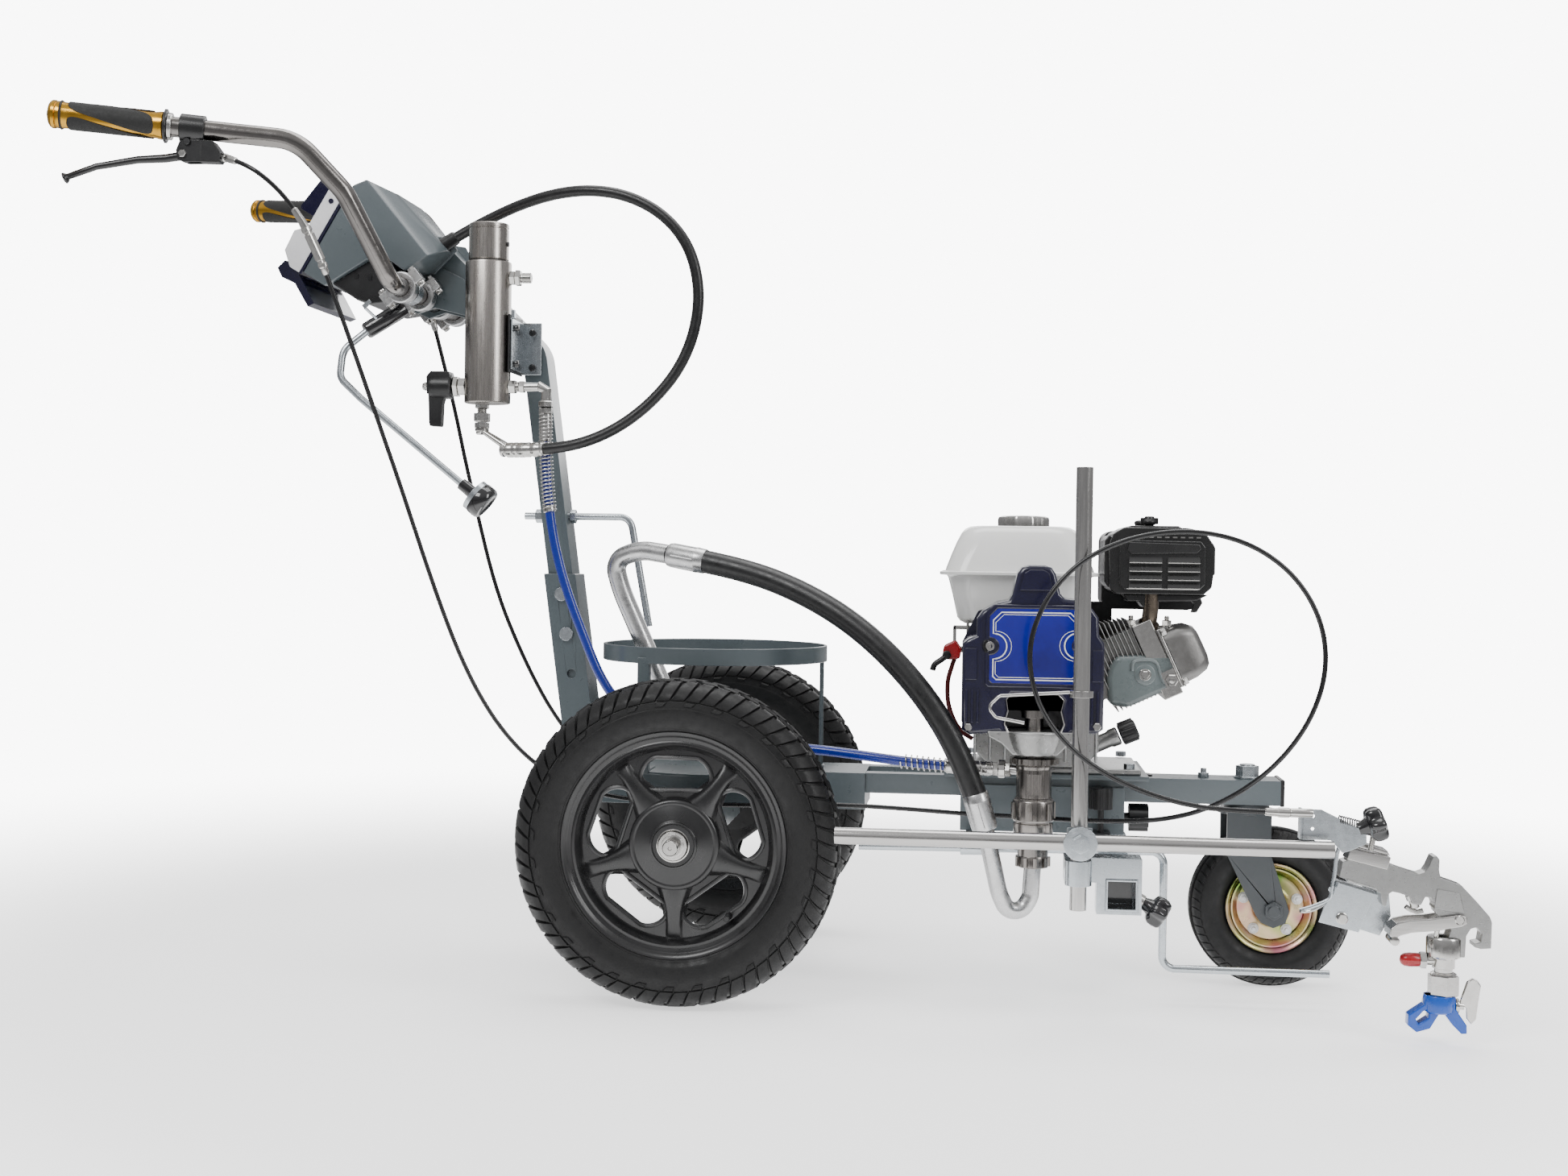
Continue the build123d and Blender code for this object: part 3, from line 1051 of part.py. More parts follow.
# ---- parts -----------------------------------------------------------------------------
PARTS = {
    "rear_frame": make_rear_frame(),
    "frame_rails": make_frame_rails(),
    "front_beam": make_front_beam(),
    "rear_axle": make_rear_axle(),
    "bucket_holder": make_bucket_holder(),
    "column_sleeve": make_column_sleeve(),
    "column_tube": make_column_tube(),
    "frame_bolts": make_frame_bolts(),
    "frame_knobs": make_frame_knobs(),
    "handlebar": make_handlebar(),
    "grips": make_grips(),
    "bar_clamps": make_bar_clamps(),
    "brake_lever": make_brake_lever(),
    "control_box": make_control_box(),
    "pressure_knob": make_pressure_knob(),
    "filter_body": make_filter_body(),
    "fluid_fittings": make_fluid_fittings(),
    "drain_lever": make_drain_lever(),
    "hose_black": cord("hose_black", hose_black_points(), HOSE_R),
    "hose_blue": cord("hose_blue", hose_blue_points(), BLUE_R),
    "siphon_hose": cord("siphon_hose", siphon_points(), SIPHON_R),
    "siphon_tube": make_siphon_tube(),
    "suction_tube": make_suction_tube(),
    "tyre_right": make_rear_tyre(-1),
    "tyre_left": make_rear_tyre(1),
    "rim_right": make_rear_rim(-1),
    "rim_left": make_rear_rim(1),
    "caster_fork": make_caster_fork(),
    "front_tyre": make_front_tyre(),
    "front_rim": make_front_rim(),
    "engine_block": make_engine_block(),
    "oil_cap": make_oil_cap(),
    "engine_cylinder": make_engine_cylinder(),
    "fuel_tank": make_fuel_tank(),
    "fuel_cap": make_fuel_cap(),
    "muffler": make_muffler(),
    "air_cleaner": make_air_cleaner(),
    "recoil_starter": make_recoil_starter(),
    "crankshaft": make_crankshaft(),
    "drive_housing": make_drive_housing(),
    "drive_gear": make_drive_gear(),
    "pump_casting": make_pump_casting(),
    "pump_cylinder": make_pump_cylinder(),
    "pump_rod": make_pump_rod(),
    "arm_tube": make_arm_tube(),
    "arm_knob": make_arm_knob(),
    "gun_bar": make_gun_bar(),
    "gun_pole": make_gun_pole(),
    "cross_clamp": make_cross_clamp(),
    "gun_bracket": make_gun_bracket(),
    "gun_knob": make_gun_knob(),
    "gun_body": make_gun_body(),
    "gun_trigger": make_gun_trigger(),
    "tip_guard": make_tip_guard(),
    "tip_key": make_tip_key(),
    "pointer_wire": make_pointer_wire(),
    "hanger_rod": make_hanger_rod(),
    "bent_rod": make_bent_rod(),
    "trigger_cable": make_trigger_cable(),
    "lock_cable": make_lock_cable(),
}

# The gun's front, the grips and the cross clamp set the box that the origin is centred under.
REAR_END = PARTS["grips"].bounding_box().min.X
FRONT_END = PARTS["gun_body"].bounding_box().max.X
NEAR_END = PARTS["cross_clamp"].bounding_box().min.Y
FAR_END = PARTS["grips"].bounding_box().max.Y
SHIFT = (-(REAR_END + FRONT_END) / 2, -(NEAR_END + FAR_END) / 2, 0.0)

if __name__ == "__main__":
    os.makedirs("parts", exist_ok=True)
    print("shift", [round(v, 3) for v in SHIFT])
    for name, shape in PARTS.items():
        export_step(Pos(*SHIFT) * shape, f"parts/{name}.step")
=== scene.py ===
import json
import math

import bmesh
import bpy
from mathutils import Matrix, Vector

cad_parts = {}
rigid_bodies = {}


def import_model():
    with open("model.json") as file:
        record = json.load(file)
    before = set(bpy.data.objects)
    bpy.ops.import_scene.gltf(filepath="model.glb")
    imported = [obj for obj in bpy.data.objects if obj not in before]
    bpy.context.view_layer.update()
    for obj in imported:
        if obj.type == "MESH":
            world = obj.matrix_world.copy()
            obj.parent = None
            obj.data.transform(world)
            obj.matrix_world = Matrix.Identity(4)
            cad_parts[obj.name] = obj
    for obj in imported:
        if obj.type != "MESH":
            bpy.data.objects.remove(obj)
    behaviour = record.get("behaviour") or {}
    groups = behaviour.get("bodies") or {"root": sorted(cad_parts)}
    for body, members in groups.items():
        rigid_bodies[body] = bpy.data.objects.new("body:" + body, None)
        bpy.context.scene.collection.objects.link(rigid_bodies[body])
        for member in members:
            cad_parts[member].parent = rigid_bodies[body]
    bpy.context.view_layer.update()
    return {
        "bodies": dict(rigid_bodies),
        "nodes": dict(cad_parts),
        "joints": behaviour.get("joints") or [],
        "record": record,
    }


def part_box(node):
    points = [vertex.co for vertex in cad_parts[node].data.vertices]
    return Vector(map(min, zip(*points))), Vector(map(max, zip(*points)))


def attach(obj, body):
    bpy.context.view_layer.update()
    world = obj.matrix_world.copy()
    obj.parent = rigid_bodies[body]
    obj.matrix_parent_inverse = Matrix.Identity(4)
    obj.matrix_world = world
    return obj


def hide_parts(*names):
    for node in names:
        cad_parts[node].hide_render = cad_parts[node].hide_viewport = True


# A petrol-driven airless sprayer on a three-wheeled line-marking cart.
# Sizes below are millimetres in the cart's own frame: rear axle over X = 0, ground at Z = 0,
# +X forward, +Y to the cart's left. spot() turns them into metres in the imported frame.

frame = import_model()
NODES = frame["nodes"]

axle_low, axle_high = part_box("rear_axle")
ORIGIN = Vector(((axle_low.x + axle_high.x) / 2, (axle_low.y + axle_high.y) / 2, 0))


def spot(x, y, z):
    """A point of the cart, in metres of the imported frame."""
    return ORIGIN + Vector((x, y, z)) * 0.001


def placed(name, data):
    """A new object in the scene."""
    obj = bpy.data.objects.new(name, data)
    bpy.context.scene.collection.objects.link(obj)
    return obj


def fill(node, **values):
    """Sets a shader node's inputs. From_Min stands for the input "From Min"."""
    for name, value in values.items():
        node.inputs[name.replace("_", " ")].default_value = value


# ---- camera, light and floor -------------------------------------------------------------
def make_camera():
    """The photograph's view: angles in radians, focal length in millimetres."""
    heading, dip, roll = 0.1057, 0.0175, 0.0138
    place, focal_length, sensor_width = (381.4, -2611.4, 570.6), 43.64, 36
    ahead = Vector((-math.sin(heading) * math.cos(dip), math.cos(heading) * math.cos(dip),
                    -math.sin(dip)))
    right = Vector((math.cos(heading), math.sin(heading), 0))
    up = right.cross(ahead)
    across = right * math.cos(roll) + up * math.sin(roll)
    top = up * math.cos(roll) - right * math.sin(roll)
    data = bpy.data.cameras.new("camera")
    data.lens = focal_length
    data.sensor_width = sensor_width
    camera = placed("camera", data)
    turn = Matrix((across, top, -ahead)).transposed().to_4x4()
    camera.matrix_world = Matrix.Translation(spot(*place)) @ turn
    bpy.context.scene.camera = camera


def make_world():
    """A soft room for the light and the reflections, and a plain white one behind the cart."""
    room_strength, backdrop_strength = 0.85, 9.0
    world = bpy.data.worlds.new("studio")
    bpy.context.scene.world = world
    world.use_nodes = True
    tree = world.node_tree
    tree.nodes.clear()
    out, coords, parts, ramp, room, plain, path, mix, rise = (
        tree.nodes.new("ShaderNode" + kind) for kind in
        ("OutputWorld", "TexCoord", "SeparateXYZ", "ValToRGB", "Background", "Background",
         "LightPath", "MixShader", "MapRange"))
    tree.links.new(coords.outputs["Generated"], parts.inputs[0])
    tree.links.new(parts.outputs["Z"], rise.inputs["Value"])
    fill(rise, From_Min=-1.0)
    tree.links.new(rise.outputs["Result"], ramp.inputs["Fac"])
    stops = ramp.color_ramp
    stops.elements[0].position, stops.elements[0].color = 0.0, (0.55, 0.55, 0.56, 1)
    stops.elements[1].position, stops.elements[1].color = 1.0, (1.0, 1.0, 1.0, 1)
    for place, level in ((0.47, 0.5), (0.53, 0.3), (0.62, 0.46), (0.78, 0.9)):
        stops.elements.new(place).color = (level, level, level * 1.02, 1)
    tree.links.new(ramp.outputs["Color"], room.inputs["Color"])
    fill(room, Strength=room_strength)
    fill(plain, Color=(1, 1, 1, 1), Strength=backdrop_strength)
    tree.links.new(path.outputs["Is Camera Ray"], mix.inputs[0])
    tree.links.new(room.outputs[0], mix.inputs[1])
    tree.links.new(plain.outputs[0], mix.inputs[2])
    tree.links.new(mix.outputs[0], out.inputs["Surface"])


def make_light(name, place, target, width, height, power):
    """A rectangular light that faces a target, in metres and watts."""
    data = bpy.data.lights.new(name, "AREA")
    data.shape = "RECTANGLE"
    data.size, data.size_y = width, height
    data.energy = power
    light = placed(name, data)
    light.location = place
    light.rotation_mode = "QUATERNION"
    light.rotation_quaternion = (Vector(target) - Vector(place)).to_track_quat("-Z", "Y")


def make_stage():
    """The room, four soft lights and the floor."""
    make_world()
    make_light("key", (-1.4, -2.6, 2.9), (0.1, 0, 0.4), 1.6, 1.2, 62)
    make_light("side", (2.6, -1.6, 1.9), (0.3, 0, 0.4), 0.9, 1.8, 40)
    make_light("top", (0.2, 0.4, 3.2), (0.1, 0, 0.4), 2.6, 1.6, 60)
    make_light("back", (0.5, 3.0, 1.6), (0.1, 0, 0.5), 2.6, 1.2, 32)
    make_floor()


def make_floor():
    """A pale floor that fades into the backdrop some way from the cart."""
    half, fade_start, fade_end = 30, 0.9, 2.6
    mesh = bpy.data.meshes.new("floor")
    mesh.from_pydata([(-half, -half, 0), (half, -half, 0), (half, half, 0), (-half, half, 0)], [],
                     [(0, 1, 2, 3)])
    floor = placed("floor", mesh)
    floor.location.z = -0.0005
    material = bpy.data.materials.new("floor_pale")
    material.use_nodes = True
    nodes, links = material.node_tree.nodes, material.node_tree.links
    shader = nodes["Principled BSDF"]
    fill(shader, Base_Color=(0.9, 0.9, 0.9, 1), Roughness=0.7, Emission_Color=(1, 1, 1, 1),
         Emission_Strength=1.0)
    coords = nodes.new("ShaderNodeTexCoord")
    distance = nodes.new("ShaderNodeVectorMath")
    distance.operation = "LENGTH"
    fade = nodes.new("ShaderNodeMapRange")
    fade.interpolation_type = "SMOOTHSTEP"
    fill(fade, From_Min=fade_start, From_Max=fade_end, To_Min=1.0, To_Max=0.0)
    links.new(coords.outputs["Object"], distance.inputs[0])
    links.new(distance.outputs["Value"], fade.inputs["Value"])
    links.new(fade.outputs["Result"], shader.inputs["Alpha"])
    mesh.materials.append(material)


# ---- materials ---------------------------------------------------------------------------
def surface(name, colour, rough, metal=0.0, second=None, patch=0.06, spread=0.5, rough_vary=0.08,
            grain=0.0, grain_size=0.0012, brushed=None, coat=0.0, coat_rough=0.08, edge=None,
            specular=0.5):
    """A procedural finish: mottled colour, uneven roughness, fine grain or brushing, worn edges.
    Sizes are in metres."""
    material = bpy.data.materials.new(name)
    material.use_nodes = True
    tree = material.node_tree
    nodes, links = tree.nodes, tree.links
    shader = nodes["Principled BSDF"]
    fill(shader, Metallic=metal, Coat_Weight=coat, Coat_Roughness=coat_rough,
         Specular_IOR_Level=specular)
    coords = nodes.new("ShaderNodeTexCoord")

    def noise(size, detail=3.0):
        texture = nodes.new("ShaderNodeTexNoise")
        fill(texture, Scale=1.0, Detail=detail, Roughness=0.55)
        mapping = nodes.new("ShaderNodeMapping")
        fill(mapping, Scale=tuple(s / size for s in stretch))
        links.new(coords.outputs["Object"], mapping.inputs["Vector"])
        links.new(mapping.outputs["Vector"], texture.inputs["Vector"])
        return texture.outputs["Fac"]

    def ranged(value, low, high, from_low=0.3, from_high=0.7):
        mapped = nodes.new("ShaderNodeMapRange")
        fill(mapped, From_Min=from_low, From_Max=from_high, To_Min=low, To_Max=high)
        links.new(value, mapped.inputs["Value"])
        return mapped.outputs["Result"]

    def mixed(factor, one, two):
        mix = nodes.new("ShaderNodeMix")
        mix.data_type = "RGBA"
        links.new(factor, mix.inputs["Factor"])
        for socket, value in ((mix.inputs[6], one), (mix.inputs[7], two)):
            if isinstance(value, tuple):
                socket.default_value = (*value, 1)
            else:
                links.new(value, socket)
        return mix.outputs[2]

    second = second or tuple(c * 0.82 for c in colour)
    stretch = tuple(0.04 if axis == brushed else 1.0 for axis in "XYZ")
    paint = mixed(ranged(noise(patch, 4.0), 0.0, spread), colour, second)
    if edge:
        geometry = nodes.new("ShaderNodeNewGeometry")
        paint = mixed(ranged(geometry.outputs["Pointiness"], 0.0, 0.8, 0.53, 0.62), paint, edge)
    links.new(paint, shader.inputs["Base Color"])
    shine = ranged(noise(patch * 0.4, 5.0), max(rough - rough_vary, 0.03),
                   min(rough + rough_vary, 1.0))
    links.new(shine, shader.inputs["Roughness"])
    if grain:
        bump = nodes.new("ShaderNodeBump")
        fill(bump, Strength=1.0, Distance=grain)
        links.new(noise(grain_size), bump.inputs["Height"])
        links.new(bump.outputs["Normal"], shader.inputs["Normal"])
    return material


# What surface() is told about each finish.
LOOKS = {
    "paint": dict(name="paint_blue_grey", colour=(0.078, 0.098, 0.107), rough=0.3,
                  second=(0.072, 0.091, 0.1), coat=0.35, coat_rough=0.18, grain=0.00006,
                  grain_size=0.0022, edge=(0.13, 0.15, 0.16), rough_vary=0.03),
    "fork": dict(name="paint_dark_grey", colour=(0.034, 0.04, 0.044), rough=0.38,
                 second=(0.03, 0.036, 0.04), coat=0.25, coat_rough=0.2, grain=0.00006,
                 grain_size=0.002, edge=(0.075, 0.082, 0.086)),
    "rubber": dict(name="tyre_rubber", colour=(0.0035, 0.0035, 0.0038), rough=0.5,
                   second=(0.006, 0.006, 0.006), grain=0.00012, grain_size=0.0016, patch=0.03,
                   rough_vary=0.14, specular=0.34),
    "cast_black": dict(name="satin_black_cast", colour=(0.006, 0.006, 0.0065), rough=0.3,
                       second=(0.009, 0.009, 0.0095), coat=0.2, coat_rough=0.25, grain=0.00003,
                       grain_size=0.0018, edge=(0.02, 0.02, 0.021), rough_vary=0.06),
    "plastic": dict(name="black_plastic", colour=(0.005, 0.005, 0.0055), rough=0.36,
                    second=(0.008, 0.008, 0.009), grain=0.00006, grain_size=0.0011,
                    edge=(0.02, 0.02, 0.021)),
    "gloss_black": dict(name="glossy_black", colour=(0.008, 0.008, 0.009), rough=0.14, coat=0.6,
                        coat_rough=0.05, rough_vary=0.05, grain=0.00002, grain_size=0.003),
    "hose": dict(name="hose_rubber", colour=(0.005, 0.005, 0.0055), rough=0.36,
                 second=(0.009, 0.009, 0.0095), grain=0.00009, grain_size=0.0009, patch=0.02,
                 rough_vary=0.1),
    "cable": dict(name="cable_sheath", colour=(0.006, 0.006, 0.0065), rough=0.25, grain=0.00003,
                  grain_size=0.001, patch=0.03),
    "blue_hose": dict(name="blue_hose", colour=(0.001, 0.016, 0.25), rough=0.26,
                      second=(0.001, 0.01, 0.16), coat=0.3, coat_rough=0.12, grain=0.00004,
                      grain_size=0.0014, patch=0.03),
    "stainless": dict(name="brushed_stainless", colour=(0.4, 0.375, 0.35), rough=0.27, metal=1.0,
                      second=(0.3, 0.278, 0.258), brushed="Z", patch=0.0035, grain=0.00003,
                      grain_size=0.0006, rough_vary=0.06),
    "bar_steel": dict(name="dark_polished_steel", colour=(0.22, 0.208, 0.198), rough=0.18,
                      metal=1.0, second=(0.16, 0.152, 0.146), patch=0.02, grain=0.00002,
                      grain_size=0.0012, rough_vary=0.07),
    "bright": dict(name="bright_steel_x", colour=(0.5, 0.49, 0.475), rough=0.22, metal=1.0,
                   second=(0.38, 0.37, 0.36), brushed="X", patch=0.005, grain=0.00002,
                   grain_size=0.0008, rough_vary=0.07),
    "bright_z": dict(name="bright_steel_z", colour=(0.54, 0.53, 0.515), rough=0.2, metal=1.0,
                     second=(0.42, 0.41, 0.4), brushed="Z", patch=0.005, grain=0.00002,
                     grain_size=0.0008, rough_vary=0.06),
    "zinc": dict(name="zinc_plate", colour=(0.5, 0.535, 0.56), rough=0.25, metal=1.0,
                 second=(0.46, 0.5, 0.53), patch=0.02, spread=0.5, grain=0.00003,
                 grain_size=0.0015, rough_vary=0.07),
    "nickel": dict(name="nickel_fitting", colour=(0.56, 0.55, 0.53), rough=0.18, metal=1.0,
                   second=(0.45, 0.44, 0.42), patch=0.01, grain=0.00002, grain_size=0.001,
                   rough_vary=0.07),
    "aluminium": dict(name="drawn_aluminium", colour=(0.56, 0.56, 0.56), rough=0.28, metal=1.0,
                      second=(0.53, 0.53, 0.53), patch=0.02, grain=0.00004, grain_size=0.001,
                      rough_vary=0.1),
    "cast_alu": dict(name="cast_aluminium", colour=(0.33, 0.33, 0.325), rough=0.34, metal=1.0,
                     second=(0.29, 0.29, 0.285), patch=0.008, spread=0.8, grain=0.00016,
                     grain_size=0.0013, rough_vary=0.1, edge=(0.55, 0.55, 0.54)),
    "gunmetal": dict(name="machined_gunmetal", colour=(0.26, 0.243, 0.228), rough=0.22, metal=1.0,
                     second=(0.23, 0.215, 0.203), brushed="Z", patch=0.004, grain=0.00003,
                     grain_size=0.0007),
    "tank": dict(name="white_tank_plastic", colour=(0.86, 0.86, 0.84), rough=0.2,
                 second=(0.8, 0.8, 0.775), coat=0.35, coat_rough=0.07, grain=0.00005,
                 grain_size=0.004, patch=0.07, rough_vary=0.05),
    "navy": dict(name="navy_paint", colour=(0.004, 0.0035, 0.024), rough=0.22,
                 second=(0.003, 0.0028, 0.018), coat=0.5, coat_rough=0.07, grain=0.00003,
                 grain_size=0.002, rough_vary=0.05),
    # The plate's large patches from deep to brighter blue paint a soft gradient of reflected light
    # across its glossy face.
    "plate_blue": dict(name="glossy_blue_plate", colour=(0.003, 0.003, 0.11), rough=0.16,
                       second=(0.006, 0.008, 0.26), coat=0.7, coat_rough=0.04, patch=0.09,
                       spread=1.0, grain=0.00001, grain_size=0.004),
    "white": dict(name="white_print", colour=(0.8, 0.8, 0.8), rough=0.35, grain=0.00001,
                  grain_size=0.002),
    "panel_white": dict(name="white_panel", colour=(0.82, 0.82, 0.83), rough=0.28, grain=0.00003,
                        grain_size=0.0015, coat=0.3),
    "shroud": dict(name="grey_shroud", colour=(0.15, 0.18, 0.182), rough=0.3,
                   second=(0.125, 0.152, 0.155), coat=0.3, coat_rough=0.15, grain=0.00006,
                   grain_size=0.002, edge=(0.27, 0.3, 0.3)),
    "muffler": dict(name="muffler_black", colour=(0.006, 0.006, 0.006), rough=0.28,
                    second=(0.01, 0.01, 0.01), coat=0.3, coat_rough=0.2, grain=0.00008,
                    grain_size=0.0012, edge=(0.04, 0.04, 0.04)),
    "fins": dict(name="dark_cast_fins", colour=(0.17, 0.165, 0.16), rough=0.42, metal=0.9,
                 second=(0.1, 0.095, 0.09), patch=0.01, grain=0.00012, grain_size=0.0013,
                 edge=(0.5, 0.5, 0.49)),
    "exhaust": dict(name="heated_steel", colour=(0.23, 0.19, 0.15), rough=0.3, metal=1.0,
                    second=(0.12, 0.095, 0.07), patch=0.02, grain=0.00005, grain_size=0.001),
    "gold": dict(name="gold_anodised", colour=(0.6, 0.33, 0.045), rough=0.22, metal=1.0,
                 second=(0.46, 0.235, 0.02), patch=0.02, grain=0.00002, grain_size=0.001,
                 rough_vary=0.06),
    "pale_gold": dict(name="pale_gold", colour=(0.85, 0.72, 0.5), rough=0.16, metal=1.0,
                      second=(0.78, 0.62, 0.38), patch=0.012, grain=0.00002, grain_size=0.001),
    "inlay": dict(name="rubber_inlay", colour=(0.016, 0.016, 0.016), rough=0.62,
                  second=(0.024, 0.024, 0.023), grain=0.00015, grain_size=0.0012, patch=0.01,
                  specular=0.35),
    "red": dict(name="red_plastic", colour=(0.3, 0.002, 0.006), rough=0.28,
                second=(0.34, 0.004, 0.006), coat=0.3, grain=0.00003, grain_size=0.001),
    "dark_red": dict(name="dark_red_hose", colour=(0.07, 0.004, 0.004), rough=0.3, grain=0.00004,
                     grain_size=0.001),
    "guard_blue": dict(name="bright_blue_plastic", colour=(0.0, 0.065, 0.4), rough=0.26,
                       second=(0.0, 0.055, 0.34), coat=0.3, coat_rough=0.1, grain=0.00005,
                       grain_size=0.0015),
}
M = {}


def make_materials():
    """Fills M with every finish."""
    for key, look in LOOKS.items():
        M[key] = surface(**look)
    M["yellow_zinc"] = make_iridescent()


def make_iridescent():
    """Yellow zinc plating, whose film turns from gold through green to pink."""
    material = surface("yellow_zinc", (0.5, 0.42, 0.2), 0.3, 1.0, grain=0.00005, grain_size=0.0012)
    nodes, links = material.node_tree.nodes, material.node_tree.links
    coords = nodes.new("ShaderNodeTexCoord")
    texture = nodes.new("ShaderNodeTexNoise")
    fill(texture, Scale=17.0, Detail=2.5)
    ramp = nodes.new("ShaderNodeValToRGB")
    stops = ramp.color_ramp
    stops.elements[0].position, stops.elements[0].color = 0.34, (0.2, 0.34, 0.07, 1)
    stops.elements[1].position, stops.elements[1].color = 0.66, (0.52, 0.2, 0.24, 1)
    stops.elements.new(0.45).color = (0.42, 0.4, 0.17, 1)
    stops.elements.new(0.55).color = (0.6, 0.46, 0.28, 1)
    links.new(coords.outputs["Object"], texture.inputs["Vector"])
    links.new(texture.outputs["Fac"], ramp.inputs["Fac"])
    links.new(ramp.outputs["Color"], nodes["Principled BSDF"].inputs["Base Color"])
    return material


# ---- mesh helpers ------------------------------------------------------------------------
def ring_frame(way):
    """Two directions across an axis."""
    way = Vector(way).normalized()
    side = way.cross(Vector((0, 0, 1)) if abs(way.z) < 0.9 else Vector((1, 0, 0))).normalized()
    return way, side, way.cross(side).normalized()


def bands(rows, steps, ring=True, loop=False):
    """Faces between rows of points. ring joins each row's ends, loop the last row to the first."""
    faces = []
    for row in range(rows if loop else rows - 1):
        here, up = row * steps, (row + 1) % rows * steps
        for step in range(steps if ring else steps - 1):
            after = (step + 1) % steps
            faces.append((here + step, here + after, up + after, up + step))
    return faces


def caps(rows, steps):
    """The end faces of a grid of rings."""
    return [tuple(range(steps))[::-1], tuple(range((rows - 1) * steps, rows * steps))]


def lathe(a, b, profile, steps=48, closed=False):
    """A profile of (distance from a towards b, radius), turned about the line from a to b."""
    a = Vector(a)
    way, side, other = ring_frame(Vector(b) - a)
    verts = []
    for along, radius in profile:
        for step in range(steps):
            angle = 2 * math.pi * step / steps
            verts.append(a + way * along + (side * math.cos(angle)
                                            + other * math.sin(angle)) * radius)
    rows = len(profile)
    return verts, bands(rows, steps, loop=closed) + ([] if closed else caps(rows, steps))


def rounded_rod(a, b, radius, soft=1.0, steps=40):
    """A round bar from a to b with rounded ends."""
    length = (Vector(b) - Vector(a)).length
    return lathe(a, b, [(0, radius - soft), (soft * 0.3, radius - soft * 0.3), (soft, radius),
                        (length - soft, radius), (length - soft * 0.3, radius - soft * 0.3),
                        (length, radius - soft)], steps)


def hex_nut(a, b, flats, washer=0.0):
    """A chamfered hexagon, with a washer at its start if wanted."""
    length = (Vector(b) - Vector(a)).length
    corner = flats / math.sqrt(3)
    soft = min(corner * 0.12, length * 0.3)
    parts = [lathe(a, b, [(0, corner), (length - soft, corner), (length, corner * 0.86)], 6)]
    if washer:
        parts.append(lathe(a, b, [(0, washer), (1.6, washer), (2.0, washer - 0.6)], 40))
    return join(*parts)


def slab(outline, y0, y1, lift=None):
    """An outline in X and Z between two depths. lift places each (x, y, z) somewhere else."""
    verts = [Vector((x, y0, z)) for x, z in outline] + [Vector((x, y1, z)) for x, z in outline]
    count = len(outline)
    if lift:
        verts = [Vector(lift(v)) for v in verts]
    return verts, [face[::-1] for face in caps(2, count)] + bands(2, count)


def brick(x0, x1, y0, y1, z0, z1, lift=None):
    """A box between two corners."""
    return slab([(x0, z0), (x1, z0), (x1, z1), (x0, z1)], y0, y1, lift)


def prism(low, high):
    """A solid between two loops with the same number of points."""
    return stack([[Vector(v) for v in loop] for loop in (low, high)])


def stack(loops):
    """A solid through loops with the same number of points."""
    rows, count = len(loops), len(loops[0])
    return [v for loop in loops for v in loop], caps(rows, count) + bands(rows, count)


def tube(points, radius, steps=12, closed=False, flat=1.0):
    """A bar that follows points close together. flat squeezes its section."""
    spots = [Vector(p) for p in points]
    count = len(spots)
    verts = []
    side = None
    for step, here in enumerate(spots):
        before = spots[(step - 1) % count] if closed or step else here
        after = spots[(step + 1) % count] if closed or step < count - 1 else here
        way = (after - before).normalized()
        if side is None:
            _, side, _ = ring_frame(way)
        side = (side - way * side.dot(way)).normalized()
        other = way.cross(side)
        for part in range(steps):
            angle = 2 * math.pi * part / steps
            verts.append(here + side * math.cos(angle) * radius
                         + other * math.sin(angle) * radius * flat)
    return verts, bands(count, steps, loop=closed) + ([] if closed else caps(count, steps))


def curved(points, steps=8):
    """Points along a smooth curve through the given ones."""
    spots = [Vector(p) for p in points]
    last = len(spots) - 1
    found = []
    for span in range(last):
        p0, p1 = spots[max(span - 1, 0)], spots[span]
        p2, p3 = spots[span + 1], spots[min(span + 2, last)]
        for step in range(steps):
            t = step / steps
            found.append(0.5 * ((2 * p1) + (p2 - p0) * t + (2 * p0 - 5 * p1 + 4 * p2 - p3) * t * t
                                + (3 * p1 - p0 - 3 * p2 + p3) * t * t * t))
    return found + [spots[-1]]


def join(*shapes):
    """Several shapes as one."""
    verts, faces = [], []
    for more_verts, more_faces in shapes:
        start = len(verts)
        verts += list(more_verts)
        faces += [tuple(start + i for i in face) for face in more_faces]
    return verts, faces


def moved(shape, change):
    """A shape whose every point is changed."""
    return [Vector(change(v)) for v in shape[0]], shape[1]


def piece(name, body, material, *shapes, bevel=0.0, smooth=38, segments=2):
    """One shown piece on a body, made from shapes in millimetres. Faces that meet at less than
    smooth degrees are shaded as one."""
    verts, faces = join(*shapes)
    mesh = bpy.data.meshes.new(name)
    mesh.from_pydata([spot(*v) for v in verts], [], faces)
    work = bmesh.new()
    work.from_mesh(mesh)
    bmesh.ops.recalc_face_normals(work, faces=work.faces)
    work.to_mesh(mesh)
    work.free()
    mesh.polygons.foreach_set("use_smooth", [True] * len(mesh.polygons))
    mesh.set_sharp_from_angle(angle=math.radians(smooth))
    obj = placed(name, mesh)
    mesh.materials.append(M[material])
    if bevel:
        soften(obj, bevel, segments)
    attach(obj, body)
    return obj


def fixed(name, material, *shapes, **how):
    """A piece on the cart's own body."""
    return piece(name, "chassis", material, *shapes, **how)


SHARP = math.radians(34)


def soften(obj, width, segments=2):
    """Rounds every edge sharper than SHARP."""
    bevel = obj.modifiers.new("edges", "BEVEL")
    bevel.width = width * 0.001
    bevel.segments = segments
    bevel.limit_method = "ANGLE"
    bevel.angle_limit = SHARP
    bevel.use_clamp_overlap = True
    bevel.harden_normals = False
    shade = obj.modifiers.new("shade", "WEIGHTED_NORMAL")
    shade.keep_sharp = False


